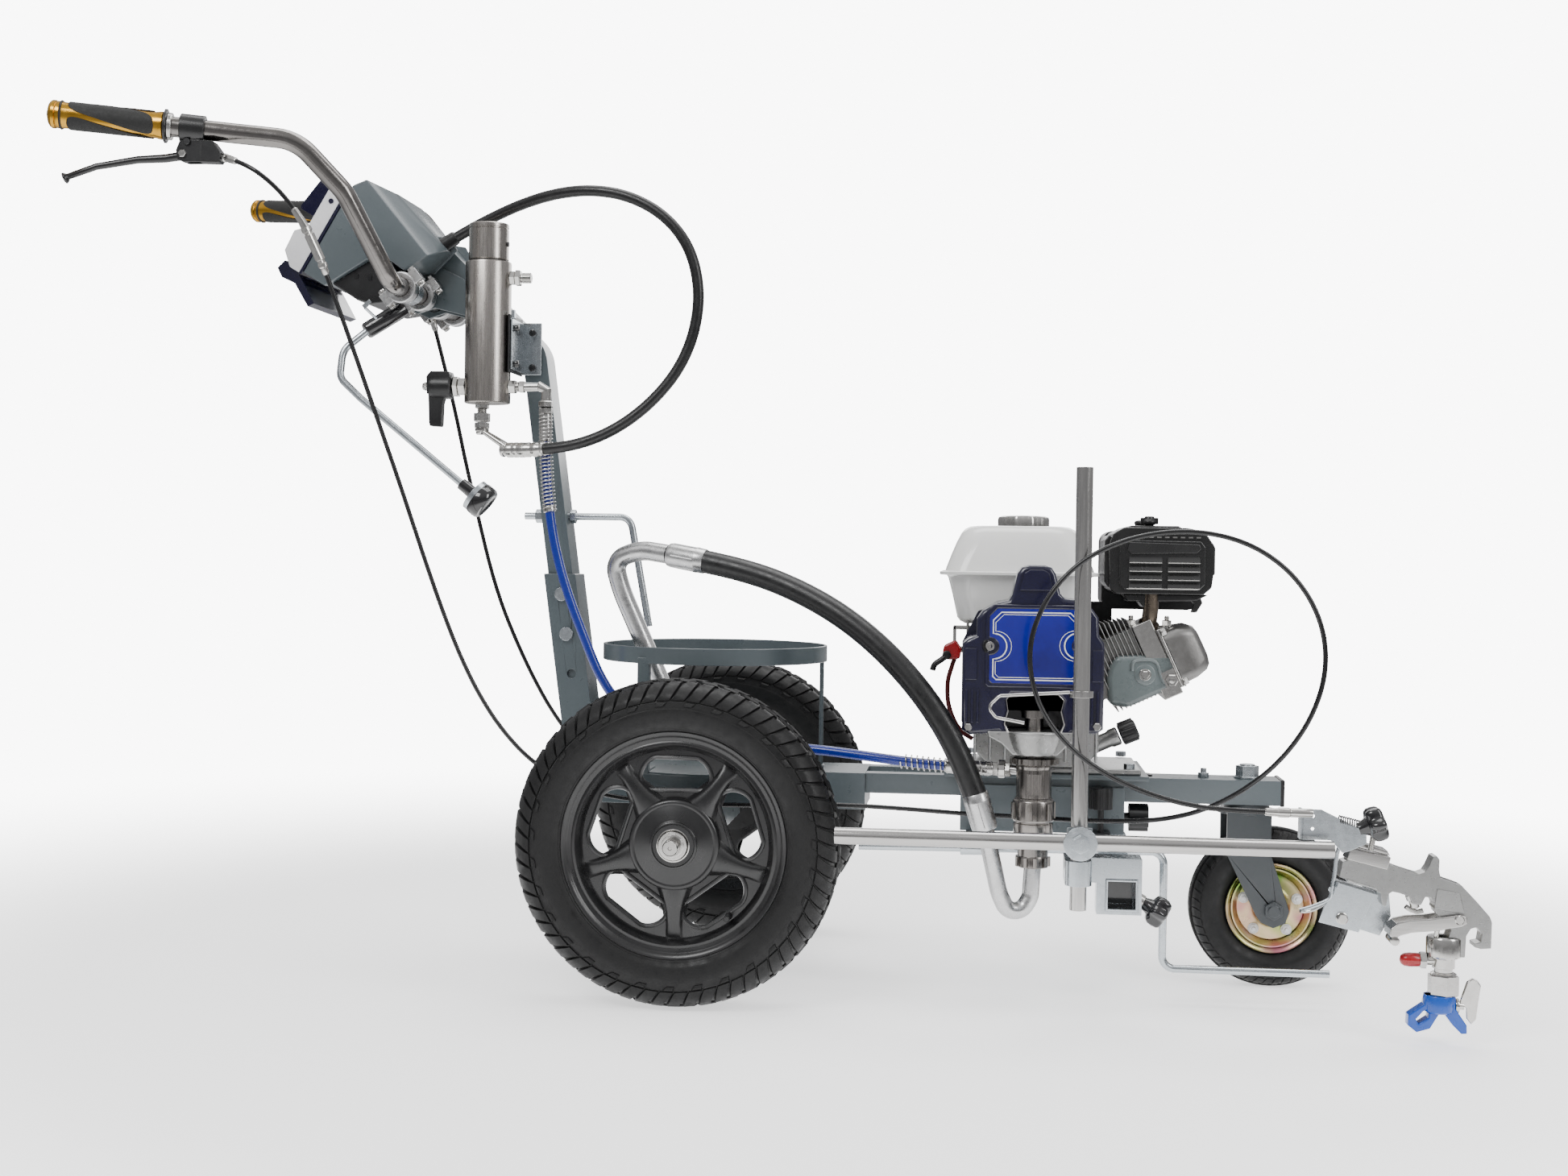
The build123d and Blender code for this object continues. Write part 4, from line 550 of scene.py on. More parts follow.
def finish_node(name, material, width=0.0):
    """A CAD node's own shape with a better finish and softened edges."""
    obj = NODES[name]
    mesh = obj.data
    mesh.materials.clear()
    mesh.materials.append(M[material])
    if "custom_normal" in mesh.attributes:
        mesh.attributes.remove(mesh.attributes["custom_normal"])
    mesh.polygons.foreach_set("use_smooth", [True] * len(mesh.polygons))
    weld = obj.modifiers.new("weld", "WELD")
    weld.merge_threshold = 0.00001
    if width:
        soften(obj, width)
        obj.modifiers["edges"].use_clamp_overlap = False
    else:
        sharp = obj.modifiers.new("shade", "EDGE_SPLIT")
        sharp.split_angle = SHARP


# ---- cords -------------------------------------------------------------------------------
def free_cord(name, points, diameter, material):
    """A cord along the same points as its CAD tube, smooth between them."""
    curve = bpy.data.curves.new(name, "CURVE")
    curve.dimensions = "3D"
    spline = curve.splines.new("NURBS")
    spline.points.add(len(points) - 1)
    for control, point in zip(spline.points, points):
        control.co = (*spot(*point), 1)
    spline.order_u = 3
    spline.use_endpoint_u = True
    spline.resolution_u = 10
    curve.bevel_depth = diameter * 0.0005
    curve.bevel_resolution = 5
    curve.use_fill_caps = True
    curve.materials.append(M[material])
    obj = placed(name, curve)
    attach(obj, "chassis")
    return obj


def declare(node):
    """Hides the CAD node that a cord stands in for."""
    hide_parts(node)


def meshed(curve):
    """The points and faces of a curve's mesh. The curve is used up."""
    holder = bpy.data.objects.new("holder", curve)
    mesh = bpy.data.meshes.new_from_object(holder)
    shape = [v.co.copy() for v in mesh.vertices], [tuple(p.vertices) for p in mesh.polygons]
    bpy.data.objects.remove(holder)
    bpy.data.meshes.remove(mesh)
    bpy.data.curves.remove(curve)
    return shape


def centreline(obj):
    """The cord's own middle line, in millimetres of the cart's frame."""
    bare = obj.data.copy()
    bare.bevel_depth = 0
    return [(v - ORIGIN) * 1000 for v in meshed(bare)[0]]


def part_of(line, start, end, count=24):
    """Evenly spaced points of a line between two distances along it."""
    walked = [0.0]
    for here, after in zip(line, line[1:]):
        walked.append(walked[-1] + (after - here).length)
    if start < 0:
        start, end = walked[-1] + start, walked[-1] + end
    found = []
    for step in range(count):
        want = start + (end - start) * step / (count - 1)
        index = max(i for i, w in enumerate(walked) if w <= want + 1e-9)
        index = min(index, len(line) - 2)
        share = (want - walked[index]) / max(walked[index + 1] - walked[index], 1e-9)
        found.append(line[index].lerp(line[index + 1], min(max(share, 0.0), 1.0)))
    return found


def frames_on(line, shares):
    """The points at some shares of a line, each with two directions across it."""
    side = None
    for share in shares:
        at = share * (len(line) - 1)
        index = min(int(at), len(line) - 2)
        way = (line[index + 1] - line[index]).normalized()
        if side is None:
            _, side, _ = ring_frame(way)
        side = (side - way * side.dot(way)).normalized()
        yield line[index].lerp(line[index + 1], at - index), side, way.cross(side)


def coil_on(line, radius, turns, wire):
    """A wire wound round a line."""
    steps = turns * 14
    spots = []
    shares = [step / steps for step in range(steps + 1)]
    for step, (here, side, other) in enumerate(frames_on(line, shares)):
        angle = 2 * math.pi * turns * step / steps
        spots.append(here + side * math.cos(angle) * radius + other * math.sin(angle) * radius)
    return tube(spots, wire, 6)


def sleeve_on(line, profile, steps=28):
    """A turned shape round a line. The profile is (share of the line, radius)."""
    verts = []
    shares = [share for share, _ in profile]
    for (_, radius), (here, side, other) in zip(profile, frames_on(line, shares)):
        for step in range(steps):
            angle = 2 * math.pi * step / steps
            verts.append(here + side * math.cos(angle) * radius + other * math.sin(angle) * radius)
    rows = len(profile)
    return verts, bands(rows, steps) + caps(rows, steps)


HOSE_START, BLUE_START, BLUE_END = (-240, -99, 707), (-214, -85, 757), (394, -166, 300)
SIPHON_START, SIPHON_END = (-2, -101, 562), (375, -203, 262)


def bar_hand_point(distance, side):
    """A point on the straight hand end of the handlebar, measured from its tip."""
    tip, bend = Vector((-785, -335, 1109)), Vector((-500, -262, 1090))
    there = tip + (bend - tip).normalized() * distance
    return Vector((there.x, there.y * -side, there.z))


PERCH = bar_hand_point(166, -1)


def make_black_hose():
    """The black hose that loops from the filter's foot to the control box."""
    diameter = 15
    points = [HOSE_START, (-196, -108, 708), (-146, -112, 719), (-100, -112, 742),
              (-58, -111, 777), (-25, -110, 820), (-6, -109, 871), (-2, -110, 925),
              (-16, -110, 978), (-50, -108, 1020), (-99, -103, 1047), (-152, -95, 1057),
              (-205, -80, 1055), (-257, -62, 1044), (-306, -48, 1026), (-350, -43, 1004),
              (-386, -42, 983)]
    hose = free_cord("hose_loop", points, diameter, "hose")
    line = centreline(hose)
    ferrule = fixed("hose_loop_ferrule", "nickel",
                    sleeve_on(part_of(line, 0, 30), [(0, 8.2), (0.02, 10), (0.3, 10.2),
                                                     (0.36, 9.3), (0.44, 9.3), (0.5, 10.2),
                                                     (0.72, 10.2), (0.78, 9.3), (0.86, 9.3),
                                                     (0.92, 10), (1, 9.2), (1, 7.7)]), smooth=30)
    declare("hose_black")


def make_blue_hose():
    """The pressure hose from the filter to the pump, with a spring at each end."""
    diameter = 13
    points = [BLUE_START, (-214, -85, 712), (-210, -88, 658), (-203, -91, 603), (-190, -94, 549),
              (-173, -97, 500), (-153, -99, 452), (-133, -101, 405), (-104, -104, 365),
              (-62, -108, 337), (-9, -114, 322), (48, -122, 318), (106, -132, 318),
              (164, -142, 317), (222, -152, 312), (280, -160, 306), (338, -165, 302), BLUE_END]
    hose = free_cord("hose_pressure", points, diameter, "blue_hose")
    line = centreline(hose)
    top = part_of(line, 0, 132, 60)
    low = part_of(line, -118, 0, 60)
    ends = fixed("hose_pressure_ends", "nickel",
                 sleeve_on(part_of(line, 0, 38), [(0, 7.4), (0.03, 8.6), (0.5, 8.8), (0.9, 8.4),
                                                  (1, 7)]),
                 sleeve_on(part_of(line, 124, 134), [(0, 7), (0.1, 8.9), (0.9, 8.9), (1, 7)]),
                 sleeve_on(part_of(line, -62, 0), [(0, 7), (0.06, 9.3), (0.5, 9.4), (0.9, 8.2),
                                                   (1, 7)]), smooth=30)
    springs = fixed("hose_pressure_springs", "bright_z",
                    coil_on(top, 8.7, 26, 1.15), coil_on(low, 8.7, 16, 1.15), smooth=60)
    declare("hose_blue")


def make_siphon_hose():
    """The thick hose from the bucket's pipe to the pump."""
    diameter = 31
    points = [SIPHON_START, (62, -118, 551), (138, -140, 525), (208, -163, 487), (268, -181, 437),
              (318, -196, 379), (354, -204, 318), SIPHON_END]
    hose = free_cord("hose_siphon", points, diameter, "hose")
    line = centreline(hose)
    rims = fixed("hose_siphon_rims", "hose", sleeve_on(part_of(line, 0.5, 4),
                                                       [(0, 14), (0.2, 15.9), (0.8, 16.1),
                                                        (1, 15.5)]),
                 sleeve_on(part_of(line, -4, -0.5), [(0, 15.5), (0.2, 16.1), (0.8, 15.9),
                                                     (1, 14)]), smooth=60)
    declare("siphon_hose")


def make_trigger_cable():
    """The cable from the hand lever to the gun, with its round loop."""
    diameter = 6
    points = [(PERCH.x + 40, PERCH.y, PERCH.z - 36), (-545, -326, 1050), (-508, -318, 1024),
              (-478, -306, 986), (-458, -292, 940), (-442, -275, 886), (-426, -258, 830),
              (-410, -240, 772), (-394, -224, 715), (-377, -211, 658), (-360, -201, 601),
              (-343, -192, 545), (-325, -184, 490), (-305, -177, 436), (-281, -170, 384),
              (-251, -163, 336), (-213, -155, 294), (-166, -147, 264), (-112, -140, 248),
              (-54, -136, 242), (6, -134, 240), (66, -133, 240), (126, -134, 242),
              (186, -133, 244), (246, -134, 243), (303, -132, 240), (360, -127, 236),
              (417, -123, 234), (470, -136, 234), (516, -168, 237), (560, -208, 243),
              (604, -248, 252), (648, -287, 270), (692, -318, 300), (732, -337, 340),
              (763, -346, 390), (778, -349, 446), (771, -350, 502), (742, -350, 552),
              (697, -349, 587), (643, -347, 604), (586, -345, 604), (532, -342, 590),
              (484, -343, 562), (449, -346, 518), (432, -346, 464), (440, -346, 408),
              (470, -347, 359), (515, -347, 322), (568, -346, 297), (626, -341, 281),
              (684, -333, 276), (742, -328, 275)]
    cable = free_cord("cable_trigger", points, diameter, "cable")
    line = centreline(cable)
    start = sleeve_on(part_of(line, 0, 34), [(0, 4.4), (0.04, 5.6), (0.3, 5.6), (0.32, 4.4),
                                             (0.5, 4.4), (0.52, 5), (0.9, 4.6), (1, 3.2)])
    middle = sleeve_on(part_of(line, 132, 222), [(0, 3.2), (0.02, 4.6), (0.2, 5.2), (0.3, 5.8),
                                                 (0.31, 6.8), (0.36, 6.8), (0.37, 5.2), (0.4, 5.2),
                                                 (0.41, 6.6), (0.78, 6.6), (0.79, 5.0),
                                                 (0.83, 5.0), (0.84, 6.2), (0.88, 6.2), (0.9, 4.8),
                                                 (0.98, 4.4), (1, 3.2)], 12)
    end = sleeve_on(part_of(line, -30, 0), [(0, 3.2), (0.05, 4.6), (0.5, 5.2), (0.55, 6),
                                            (0.96, 6), (1, 4.5)])
    barrels = fixed("cable_trigger_barrels", "nickel", start, middle, end, smooth=30)
    declare("trigger_cable")


def make_second_cable():
    """The cable from the control box to the front frame."""
    diameter = 6
    points = [(-428, 96, 912), (-414, 94, 864), (-400, 92, 812), (-386, 90, 758), (-374, 88, 705),
              (-360, 86, 650), (-346, 84, 596), (-331, 81, 542), (-313, 78, 490), (-291, 76, 440),
              (-266, 74, 390), (-238, 73, 342), (-204, 73, 298), (-162, 74, 266), (-108, 75, 250),
              (-50, 76, 245), (8, 76, 246), (66, 75, 248), (124, 74, 249), (182, 75, 248),
              (240, 77, 246), (297, 76, 247), (350, 74, 250)]
    cable = free_cord("cable_second", points, diameter, "cable")
    line = centreline(cable)
    ends = fixed("cable_second_ends", "nickel",
                 sleeve_on(part_of(line, 0, 24), [(0, 4), (0.05, 5), (0.8, 4.6), (1, 3.2)]),
                 sleeve_on(part_of(line, -24, 0), [(0, 3.2), (0.2, 4.6), (0.95, 5), (1, 4)]),
                 smooth=30)
    declare("lock_cable")


# ---- the frame's own shapes --------------------------------------------------------------
# The nodes that are shown as they are: finish, edge rounding in millimetres, names.
FINISHES = {
    "paint": (0.8, "rear_frame frame_rails front_beam bucket_holder column_sleeve column_tube"),
    "fork": (0.8, "caster_fork"),
    "zinc": (0.5, "frame_bolts cross_clamp pointer_wire hanger_rod bent_rod arm_tube"),
    "bar_steel": (0, "handlebar"),
    "nickel": (0.4, "rear_axle"),
    "cast_black": (0.4, "recoil_starter"),
    "plastic": (0.6, "pressure_knob air_cleaner frame_knobs"),
    "gunmetal": (0.6, "pump_rod crankshaft drive_gear"),
    "aluminium": (0, "siphon_tube suction_tube"),
    "bright": (0.4, "gun_bar"),
    "bright_z": (0.4, "gun_pole"),
}


def finish_nodes():
    """Gives the nodes in FINISHES their looks."""
    for finish, (width, names) in FINISHES.items():
        for name in names.split():
            finish_node(name, finish, width)


# ---- wheels ------------------------------------------------------------------------------
TRACK, WHEEL_R, WINDOW_R = 500, 207, 90
FRONT_X, FRONT_R, GROOVE_R = 768, 106.7, 105.1


def cut_plate(outer, holes, thick, soft=0.0, steps=3):
    """A flat plate with holes, in its own X and Z, from Y = 0 to thick."""
    curve = bpy.data.curves.new("plate", "CURVE")
    curve.dimensions = "2D"
    curve.fill_mode = "BOTH"
    curve.extrude = max(thick / 2 - soft, 0.01)
    curve.bevel_depth = soft
    curve.bevel_resolution = steps if soft else 0
    curve.offset = -soft
    for loop in [outer] + list(holes):
        spline = curve.splines.new("POLY")
        spline.points.add(len(loop) - 1)
        for control, (x, z) in zip(spline.points, loop):
            control.co = (x, z, 0, 1)
        spline.use_cyclic_u = True
    return moved(meshed(curve), lambda v: (v.x, v.z + thick / 2, v.y))


def circle(x, z, radius, count=48):
    """A round outline."""
    return [(x + radius * math.cos(2 * math.pi * k / count),
             z + radius * math.sin(2 * math.pi * k / count)) for k in range(count)]


def turned(x, z, turn):
    """A point turned about the middle of a wheel."""
    return x * math.cos(turn) - z * math.sin(turn), x * math.sin(turn) + z * math.cos(turn)


def oval(half_long, half_wide, turn, away, count=40):
    """A racetrack whose long side runs round the wheel, at an angle and a radius."""
    loop = []
    flat = half_long - half_wide
    for step in range(count):
        angle = 2 * math.pi * step / count
        along = half_wide * math.cos(angle) + (flat if math.cos(angle) > 0 else -flat)
        out = half_wide * math.sin(angle)
        out -= (along / half_long) ** 2 * 7
        loop.append(turned(away + out, along, turn))
    return loop


BEAD = 5


def sidewall(r, half, middle_r, seat):
    """How far from the wheel's middle a tyre's side stands at a radius."""
    return half - (half - seat[0]) * ((middle_r - r) / (middle_r - seat[1] - BEAD)) ** 2


def tyre_section(half, middle_r, height, power, seat):
    """(distance from the middle, radius) from one bead over the crown to the other."""
    side = [(seat[0] - 4, seat[1]), (seat[0], seat[1] + BEAD)]
    reach = middle_r - seat[1] - BEAD
    for step in range(1, 7):
        r = seat[1] + BEAD + reach * step / 7
        side.append((sidewall(r, half, middle_r, seat), r))
    for step in range(0, 19):
        angle = math.radians(90 * step / 18)
        y = half * math.cos(angle) ** (2 / power)
        r = middle_r + height * math.sin(angle) ** (2 / power)
        side.append((y, r))
    return side[:-1] + [(0, middle_r + height)] + [(-y, r) for y, r in reversed(side[:-1])]


def crown(half, middle_r, height, power, angle):
    """A point of the tyre's outer section, angle measured from the crown towards the side."""
    turned = math.radians(90 - abs(angle))
    y = half * math.cos(turned) ** (2 / power) * (1 if angle >= 0 else -1)
    return y, middle_r + height * math.sin(turned) ** (2 / power)


def block_on(section, centre, angles, place, half_width, slant, low, high, narrow=1.0):
    """A tread block that follows the section, at a place round the wheel."""
    cx, cy, cz = centre
    verts = []
    for row, angle in enumerate(angles):
        share = row / (len(angles) - 1)
        y, r = crown(*section, angle)
        y2, r2 = crown(*section, angle + 1.0)
        along = Vector((y2 - y, r2 - r)).normalized()
        out = Vector((-along.y, along.x))
        if out.y < 0:
            out = -out
        width = half_width * (1 + (narrow - 1) * share)
        top = high * (0.55 if row in (0, len(angles) - 1) else 1.0)
        for where, lift, spread in ((-1, low, 1.12), (-1, top, 0.92), (1, top, 0.92),
                                    (1, low, 1.12)):
            yy, rr = y + out.x * lift, r + out.y * lift
            turn = place + slant * share ** 1.6 + where * width * spread / rr
            verts.append(Vector((cx + rr * math.cos(turn), cy + yy, cz + rr * math.sin(turn))))
    return verts, bands(len(angles), 4) + caps(len(angles), 4)


def side_name(side):
    """The side of the cart that -1 or 1 stands for."""
    return "right" if side < 0 else "left"


def rear_tyre(side):
    """A tyre with ribs on its sides and slanted blocks round its crown."""
    name = side_name(side)
    centre = (0, side * TRACK / 2, WHEEL_R)
    half, middle_r, height, power = section = (42.3, 165, 38.2, 2.35)
    seat, shoulder_blocks, middle_blocks = (29, 131), 62, 46
    rows = []
    for y, r in tyre_section(*section, seat):
        for at, size in ((150, 0.9), (154.5, 0.7), (184, 0.8), (171, 0.5)):
            if abs(r - at) < 2.2 and abs(y) > 20:
                y += math.copysign(size, y)
        rows.append((y, r))
    a, b = centre, (centre[0], centre[1] + 1, centre[2])
    body = lathe(a, b, rows, 96, closed=True)
    rings = []
    for way in (-1, 1):
        for r, size in ((150, 1.0), (145, 0.7), (171, 0.6), (180, 0.8)):
            if r < middle_r + 1:
                y = sidewall(r, half, middle_r, seat)
            else:
                y, _ = crown(*section,
                             math.degrees(math.acos(((r - middle_r) / height) ** (power / 2))))
            loop = [(x, centre[1] + way * (y - 0.1), z) for x, z in circle(0, WHEEL_R, r, 96)]
            rings.append(tube(loop, size, 6, closed=True))
    piece("tyre_%s_carcass" % name, "wheel_" + name, "rubber", body, *rings, smooth=40)
    blocks = []
    for step in range(shoulder_blocks):
        place = 2 * math.pi * step / shoulder_blocks
        for way in (-1, 1):
            shift = place + (math.pi / shoulder_blocks if way < 0 else 0)
            angles = [way * v for v in (17, 24, 32, 40, 48, 56, 63, 69)]
            blocks.append(block_on(section, centre, angles, shift, 7.4, 0.075, -1, 3.7, 1.12))
            if step % 2:
                angles = [way * v for v in (71.5, 75, 79)]
                blocks.append(block_on(section, centre, angles, shift + 0.085, 6.4, 0.02, -1, 2.2,
                                       0.8))
    for step in range(middle_blocks):
        place = 2 * math.pi * step / middle_blocks
        blocks.append(block_on(section, centre, [-14, -9, -4.5], place, 10.6, 0.03, -1, 3.8))
        blocks.append(block_on(section, centre, [14, 9, 4.5], place + math.pi / middle_blocks,
                               10.6, 0.03, -1, 3.8))
    tread = piece("tyre_%s_tread" % name, "wheel_" + name, "rubber", *blocks, smooth=30)
    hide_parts("tyre_" + name)


def wedge(centre, side, turn):
    """A raised arm of the rim, wide at the hub."""
    stations = ((48, 25, 11), (60, 20, 11.5), (72, 15.5, 11), (86, 12, 9.5), (100, 10.5, 7.5),
                (112, 11, 4.5), (119, 13, 0.5))
    shape = ((-1.25, -2), (-1, 0.1), (-0.82, 0.55), (-0.6, 0.9), (-0.28, 1), (0.28, 1), (0.6, 0.9),
             (0.82, 0.55), (1, 0.1), (1.25, -2))
    verts = []
    for r, half, high in stations:
        for across, up in shape:
            lift = up * high if up >= 0 else up
            x, z = turned(r, across * half, turn)
            verts.append(Vector((centre[0] + x, centre[1] + side * (15.2 + lift), centre[2] + z)))
    rows, count = len(stations), len(shape)
    return verts, bands(rows, count, ring=False) + [face[::-1] for face in caps(rows, count)]


def rear_rim(side):
    """A cast rim with five windows, its bearing and its valve."""
    name = side_name(side)
    body = "wheel_" + name
    centre = (0, side * TRACK / 2, WHEEL_R)
    a, b = centre, (0, centre[1] + side, WHEEL_R)
    outer = [(-34, 139), (-35, 141.5), (-33, 142.4), (-31, 141), (-29.5, 134), (-28, 130),
             (0, 128.5), (28, 130), (29.5, 134), (31, 141), (33.4, 142.6), (35.2, 141.6),
             (35, 139.4), (31.6, 136), (28.2, 133), (27.6, 130.6), (29.6, 127.6), (29.4, 125.4),
             (25.4, 122.6), (20.6, 120.4), (16, 118), (13.4, 114), (12, 114), (-24, 122),
             (-30, 128)]
    barrel = lathe(a, b, outer, 96, closed=True)
    windows = [oval(45, 20.5, math.radians(90 + 72 * k), WINDOW_R) for k in range(5)]
    plate = cut_plate(circle(0, 0, 119, 96), windows, 5, 1.2)
    plate = moved(plate, lambda v: (v.x, centre[1] + side * (11 + v.y), WHEEL_R + v.z))
    lips = [tube([(x, centre[1] + side * 15.6, WHEEL_R + z) for x, z in window], 3.0, 8,
                 closed=True) for window in windows]
    arms = [wedge(centre, side, math.radians(54 + 72 * k)) for k in range(5)]
    hub = lathe(a, b, [(-42, 30), (10, 30), (11, 57.5), (24, 57.5), (26.6, 56.4), (28, 53.6),
                       (28.2, 51), (27.6, 50.2), (27.6, 49.4), (28.2, 48.6), (28.4, 31), (29, 30),
                       (33, 29.6), (34, 28.4), (34, 27), (32.6, 26), (32.6, 21), (-42, 21)], 72,
                closed=True)
    rim = piece("rim_%s_cast" % name, body, "cast_black", barrel, plate, *lips, *arms, hub,
                smooth=42)
    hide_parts("rim_" + name)
    ring = lathe(a, b, [(30, 10.2), (30, 21), (33, 20.8), (33.4, 19.6), (33, 18.2), (32.2, 17.4),
                        (32.2, 13), (33.2, 12.2), (33.4, 10.4)], 56, closed=True)
    back = lathe(a, b, [(-41, 10.2), (-42, 21), (-39, 21), (-39, 10.2)], 40, closed=True)
    piece("bearing_" + name, body, "nickel", ring, back, smooth=30)
    seal = lathe(a, b, [(31, 13), (32.6, 13.2), (32.6, 17.2), (31, 17.4)], 48, closed=True)
    turn = math.radians(-52)
    vx, vz = 112 * math.cos(turn), WHEEL_R + 112 * math.sin(turn)
    stem = lathe((vx, centre[1] + side * 10, vz), (vx, centre[1] + side * 38, vz),
                 [(0, 5), (8, 4.6), (12, 3.4), (20, 3.2), (20.5, 4), (28, 3.8), (29, 3)], 20)
    piece("valve_" + name, body, "plastic", seal, stem, smooth=30)


def make_rear_axle_ends():
    """The axle's ends with their circlips and flat faces."""
    for side in (-1, 1):
        name = side_name(side)
        y = side * (TRACK / 2 + 30)
        shaft = lathe((0, y, WHEEL_R), (0, y + side, WHEEL_R),
                      [(0, 10), (25, 10), (26.4, 9.6), (27.4, 8.6), (27.4, 2.6), (25, 1.2),
                       (24, 0.2)], 48)
        clip = cut_plate(circle(0, 0, 14.5, 40), [circle(0, 0, 10.1, 40)], 1.4, 0.3)
        clip = moved(clip, lambda v: (v.x, side * (TRACK / 2 + 36.4) + side * v.y, WHEEL_R + v.z))
        ears = brick(-3.6, 3.6, side * (TRACK / 2 + 36.5), side * (TRACK / 2 + 37.9), WHEEL_R + 13,
                     WHEEL_R + 17.5)
        washer = lathe((0, side * (TRACK / 2 + 34.6), WHEEL_R),
                       (0, side * (TRACK / 2 + 37), WHEEL_R),
                       [(0, 10.2), (0, 17.6), (1.2, 17.6), (1.6, 17), (1.6, 10.2)], 48,
                       closed=True)
        fixed("axle_end_" + name, "nickel", shaft, washer, ears, clip, smooth=30)


def front_wheel():
    """A small tyre with three grooves on a bolted two-part rim."""
    shoulder_blocks = 52
    centre = (FRONT_X, 0, FRONT_R)
    a, b = centre, (FRONT_X, 1, FRONT_R)
    section = (29.6, 80, 25.2, 2.3)
    body = lathe(a, b, tyre_section(*section, (20, 57)), 80, closed=True)
    blocks = []
    for step in range(shoulder_blocks):
        place = 2 * math.pi * step / shoulder_blocks
        for way in (-1, 1):
            shift = place + (math.pi / shoulder_blocks if way < 0 else 0)
            blocks.append(block_on(section, centre, [way * v for v in (24, 38, 50, 60)], shift,
                                   4.0, 0.05, -1, 1.5, 1.05))
    for y in (-7, 0, 7):
        ring = [(x, y, z) for x, z in circle(FRONT_X, FRONT_R, GROOVE_R, 80)]
        blocks.append(tube(ring, 2.3, 6, closed=True))
    tyre = piece("front_tyre_shape", "front_wheel", "rubber", body, *blocks, smooth=38)
    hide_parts("front_tyre")
    flange = [lathe(a, (FRONT_X, way, FRONT_R), [(17, 52.5), (22.6, 57), (23.4, 59.4),
                                                 (22.6, 60.4), (21.2, 59.6), (20, 56.6), (15, 53)],
                    64, closed=True) for way in (-1, 1)]
    barrel = lathe(a, b, [(-20, 53), (-12, 47), (12, 47), (20, 53), (20, 51), (12, 45), (-12, 45),
                          (-20, 51)], 64, closed=True)
    discs = [lathe(a, (FRONT_X, way, FRONT_R), [(3, 46), (7, 46), (9, 44), (9.6, 40), (8.6, 30),
                                                (12, 24), (16, 22), (30, 17), (30, 8.2), (3, 8.2)],
                   64, closed=True) for way in (-1, 1)]
    rim = piece("front_rim_shape", "front_wheel", "yellow_zinc", *flange, barrel, *discs,
                smooth=36)
    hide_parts("front_rim")
    heads = []
    for step in range(5):
        turn = math.radians(72 * step + 18)
        x, z = FRONT_X + 37 * math.cos(turn), FRONT_R + 37 * math.sin(turn)
        for way in (-1, 1):
            heads.append(hex_nut((x, way * 8.8, z), (x, way * 14, z), 11, 7.4))
            heads.append(lathe((x, way * 14, z), (x, way * 18, z), [(0, 3), (3, 3), (4, 2.2)], 16))
    piece("front_rim_bolts", "front_wheel", "white", *heads, smooth=30)


# ---- handlebar, lever and clamps ---------------------------------------------------------
def grip_inlay(a, way, side_way, other, start, end, turn, half, twist, radius):
    """A rubber inlay with round ends that winds along a grip."""
    rows, columns = 30, 9
    verts = []
    for row in range(rows + 1):
        share = row / rows
        along = start + (end - start) * share
        narrow = max(1 - abs(2 * share - 1) ** 9, 0.0) ** 0.5
        for column in range(columns + 2):
            part = min(max((column - 1) / (columns - 1), 0), 1)
            angle = turn + twist * share + half * narrow * (2 * part - 1)
            out = radius - 2.4 if column in (0, columns + 1) or narrow == 0 else radius
            verts.append(a + way * along + (side_way * math.cos(angle)
                                            + other * math.sin(angle)) * out)
    return verts, bands(rows + 1, columns + 2, ring=False)


def make_grips():
    """Gold sleeves with rubber inlays, a ring, an end cap and a collar each."""
    for side in (-1, 1):
        name = side_name(side)
        a, b = bar_hand_point(0, side), bar_hand_point(1, side)
        way, across, other = ring_frame(b - a)
        sleeve = lathe(a, b, [(2, 12.8), (2, 16.2), (4, 17), (9, 16.6), (14, 16.2), (122, 16.2),
                              (127, 17.2), (131, 17.4), (132, 16.4), (132, 12.8)], 56, closed=True)
        cap = lathe(a, b, [(-7, 2), (-6.4, 7), (-7, 9.5), (-6.6, 13), (-4.6, 16), (-2, 17.6),
                           (1.6, 17.6), (2.2, 16.6)], 56)
        gold = fixed("grip_%s_gold" % name, "gold", sleeve, cap, smooth=30)
        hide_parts("grips")
        fixed("grip_%s_tip" % name, "pale_gold",
              lathe(a, b, [(-9.6, 0.5), (-9.3, 4), (-8.3, 7), (-6.8, 9.2), (-6, 9.2)], 40),
              smooth=60)
        ring = lathe(a, b, [(7, 15.5), (7.3, 17.6), (8.6, 18.3), (10, 17.6), (10.3, 15.5)], 56,
                     closed=True)
        inlays = [grip_inlay(a, way, across, other, 15, 123, 2 * math.pi * k / 3 + 0.9, 0.86, 1.5,
                             17.6) for k in range(3)]
        fixed("grip_%s_rubber" % name, "inlay", ring, *inlays, smooth=36)
        flange = lathe(a, b, [(132.4, 12.9), (132.4, 19), (133.4, 21.2), (135.6, 21.2),
                              (136.6, 19), (136.6, 12.9)], 48, closed=True)
        fixed("grip_%s_flange" % name, "plastic", flange, smooth=30)
        collar = lathe(a, b, [(136.8, 12.9), (136.8, 16.4), (137.6, 17), (141.6, 17),
                              (142.4, 16.4), (142.4, 12.9)], 48, closed=True)
        fixed("grip_%s_collar" % name, "nickel", collar, smooth=30)


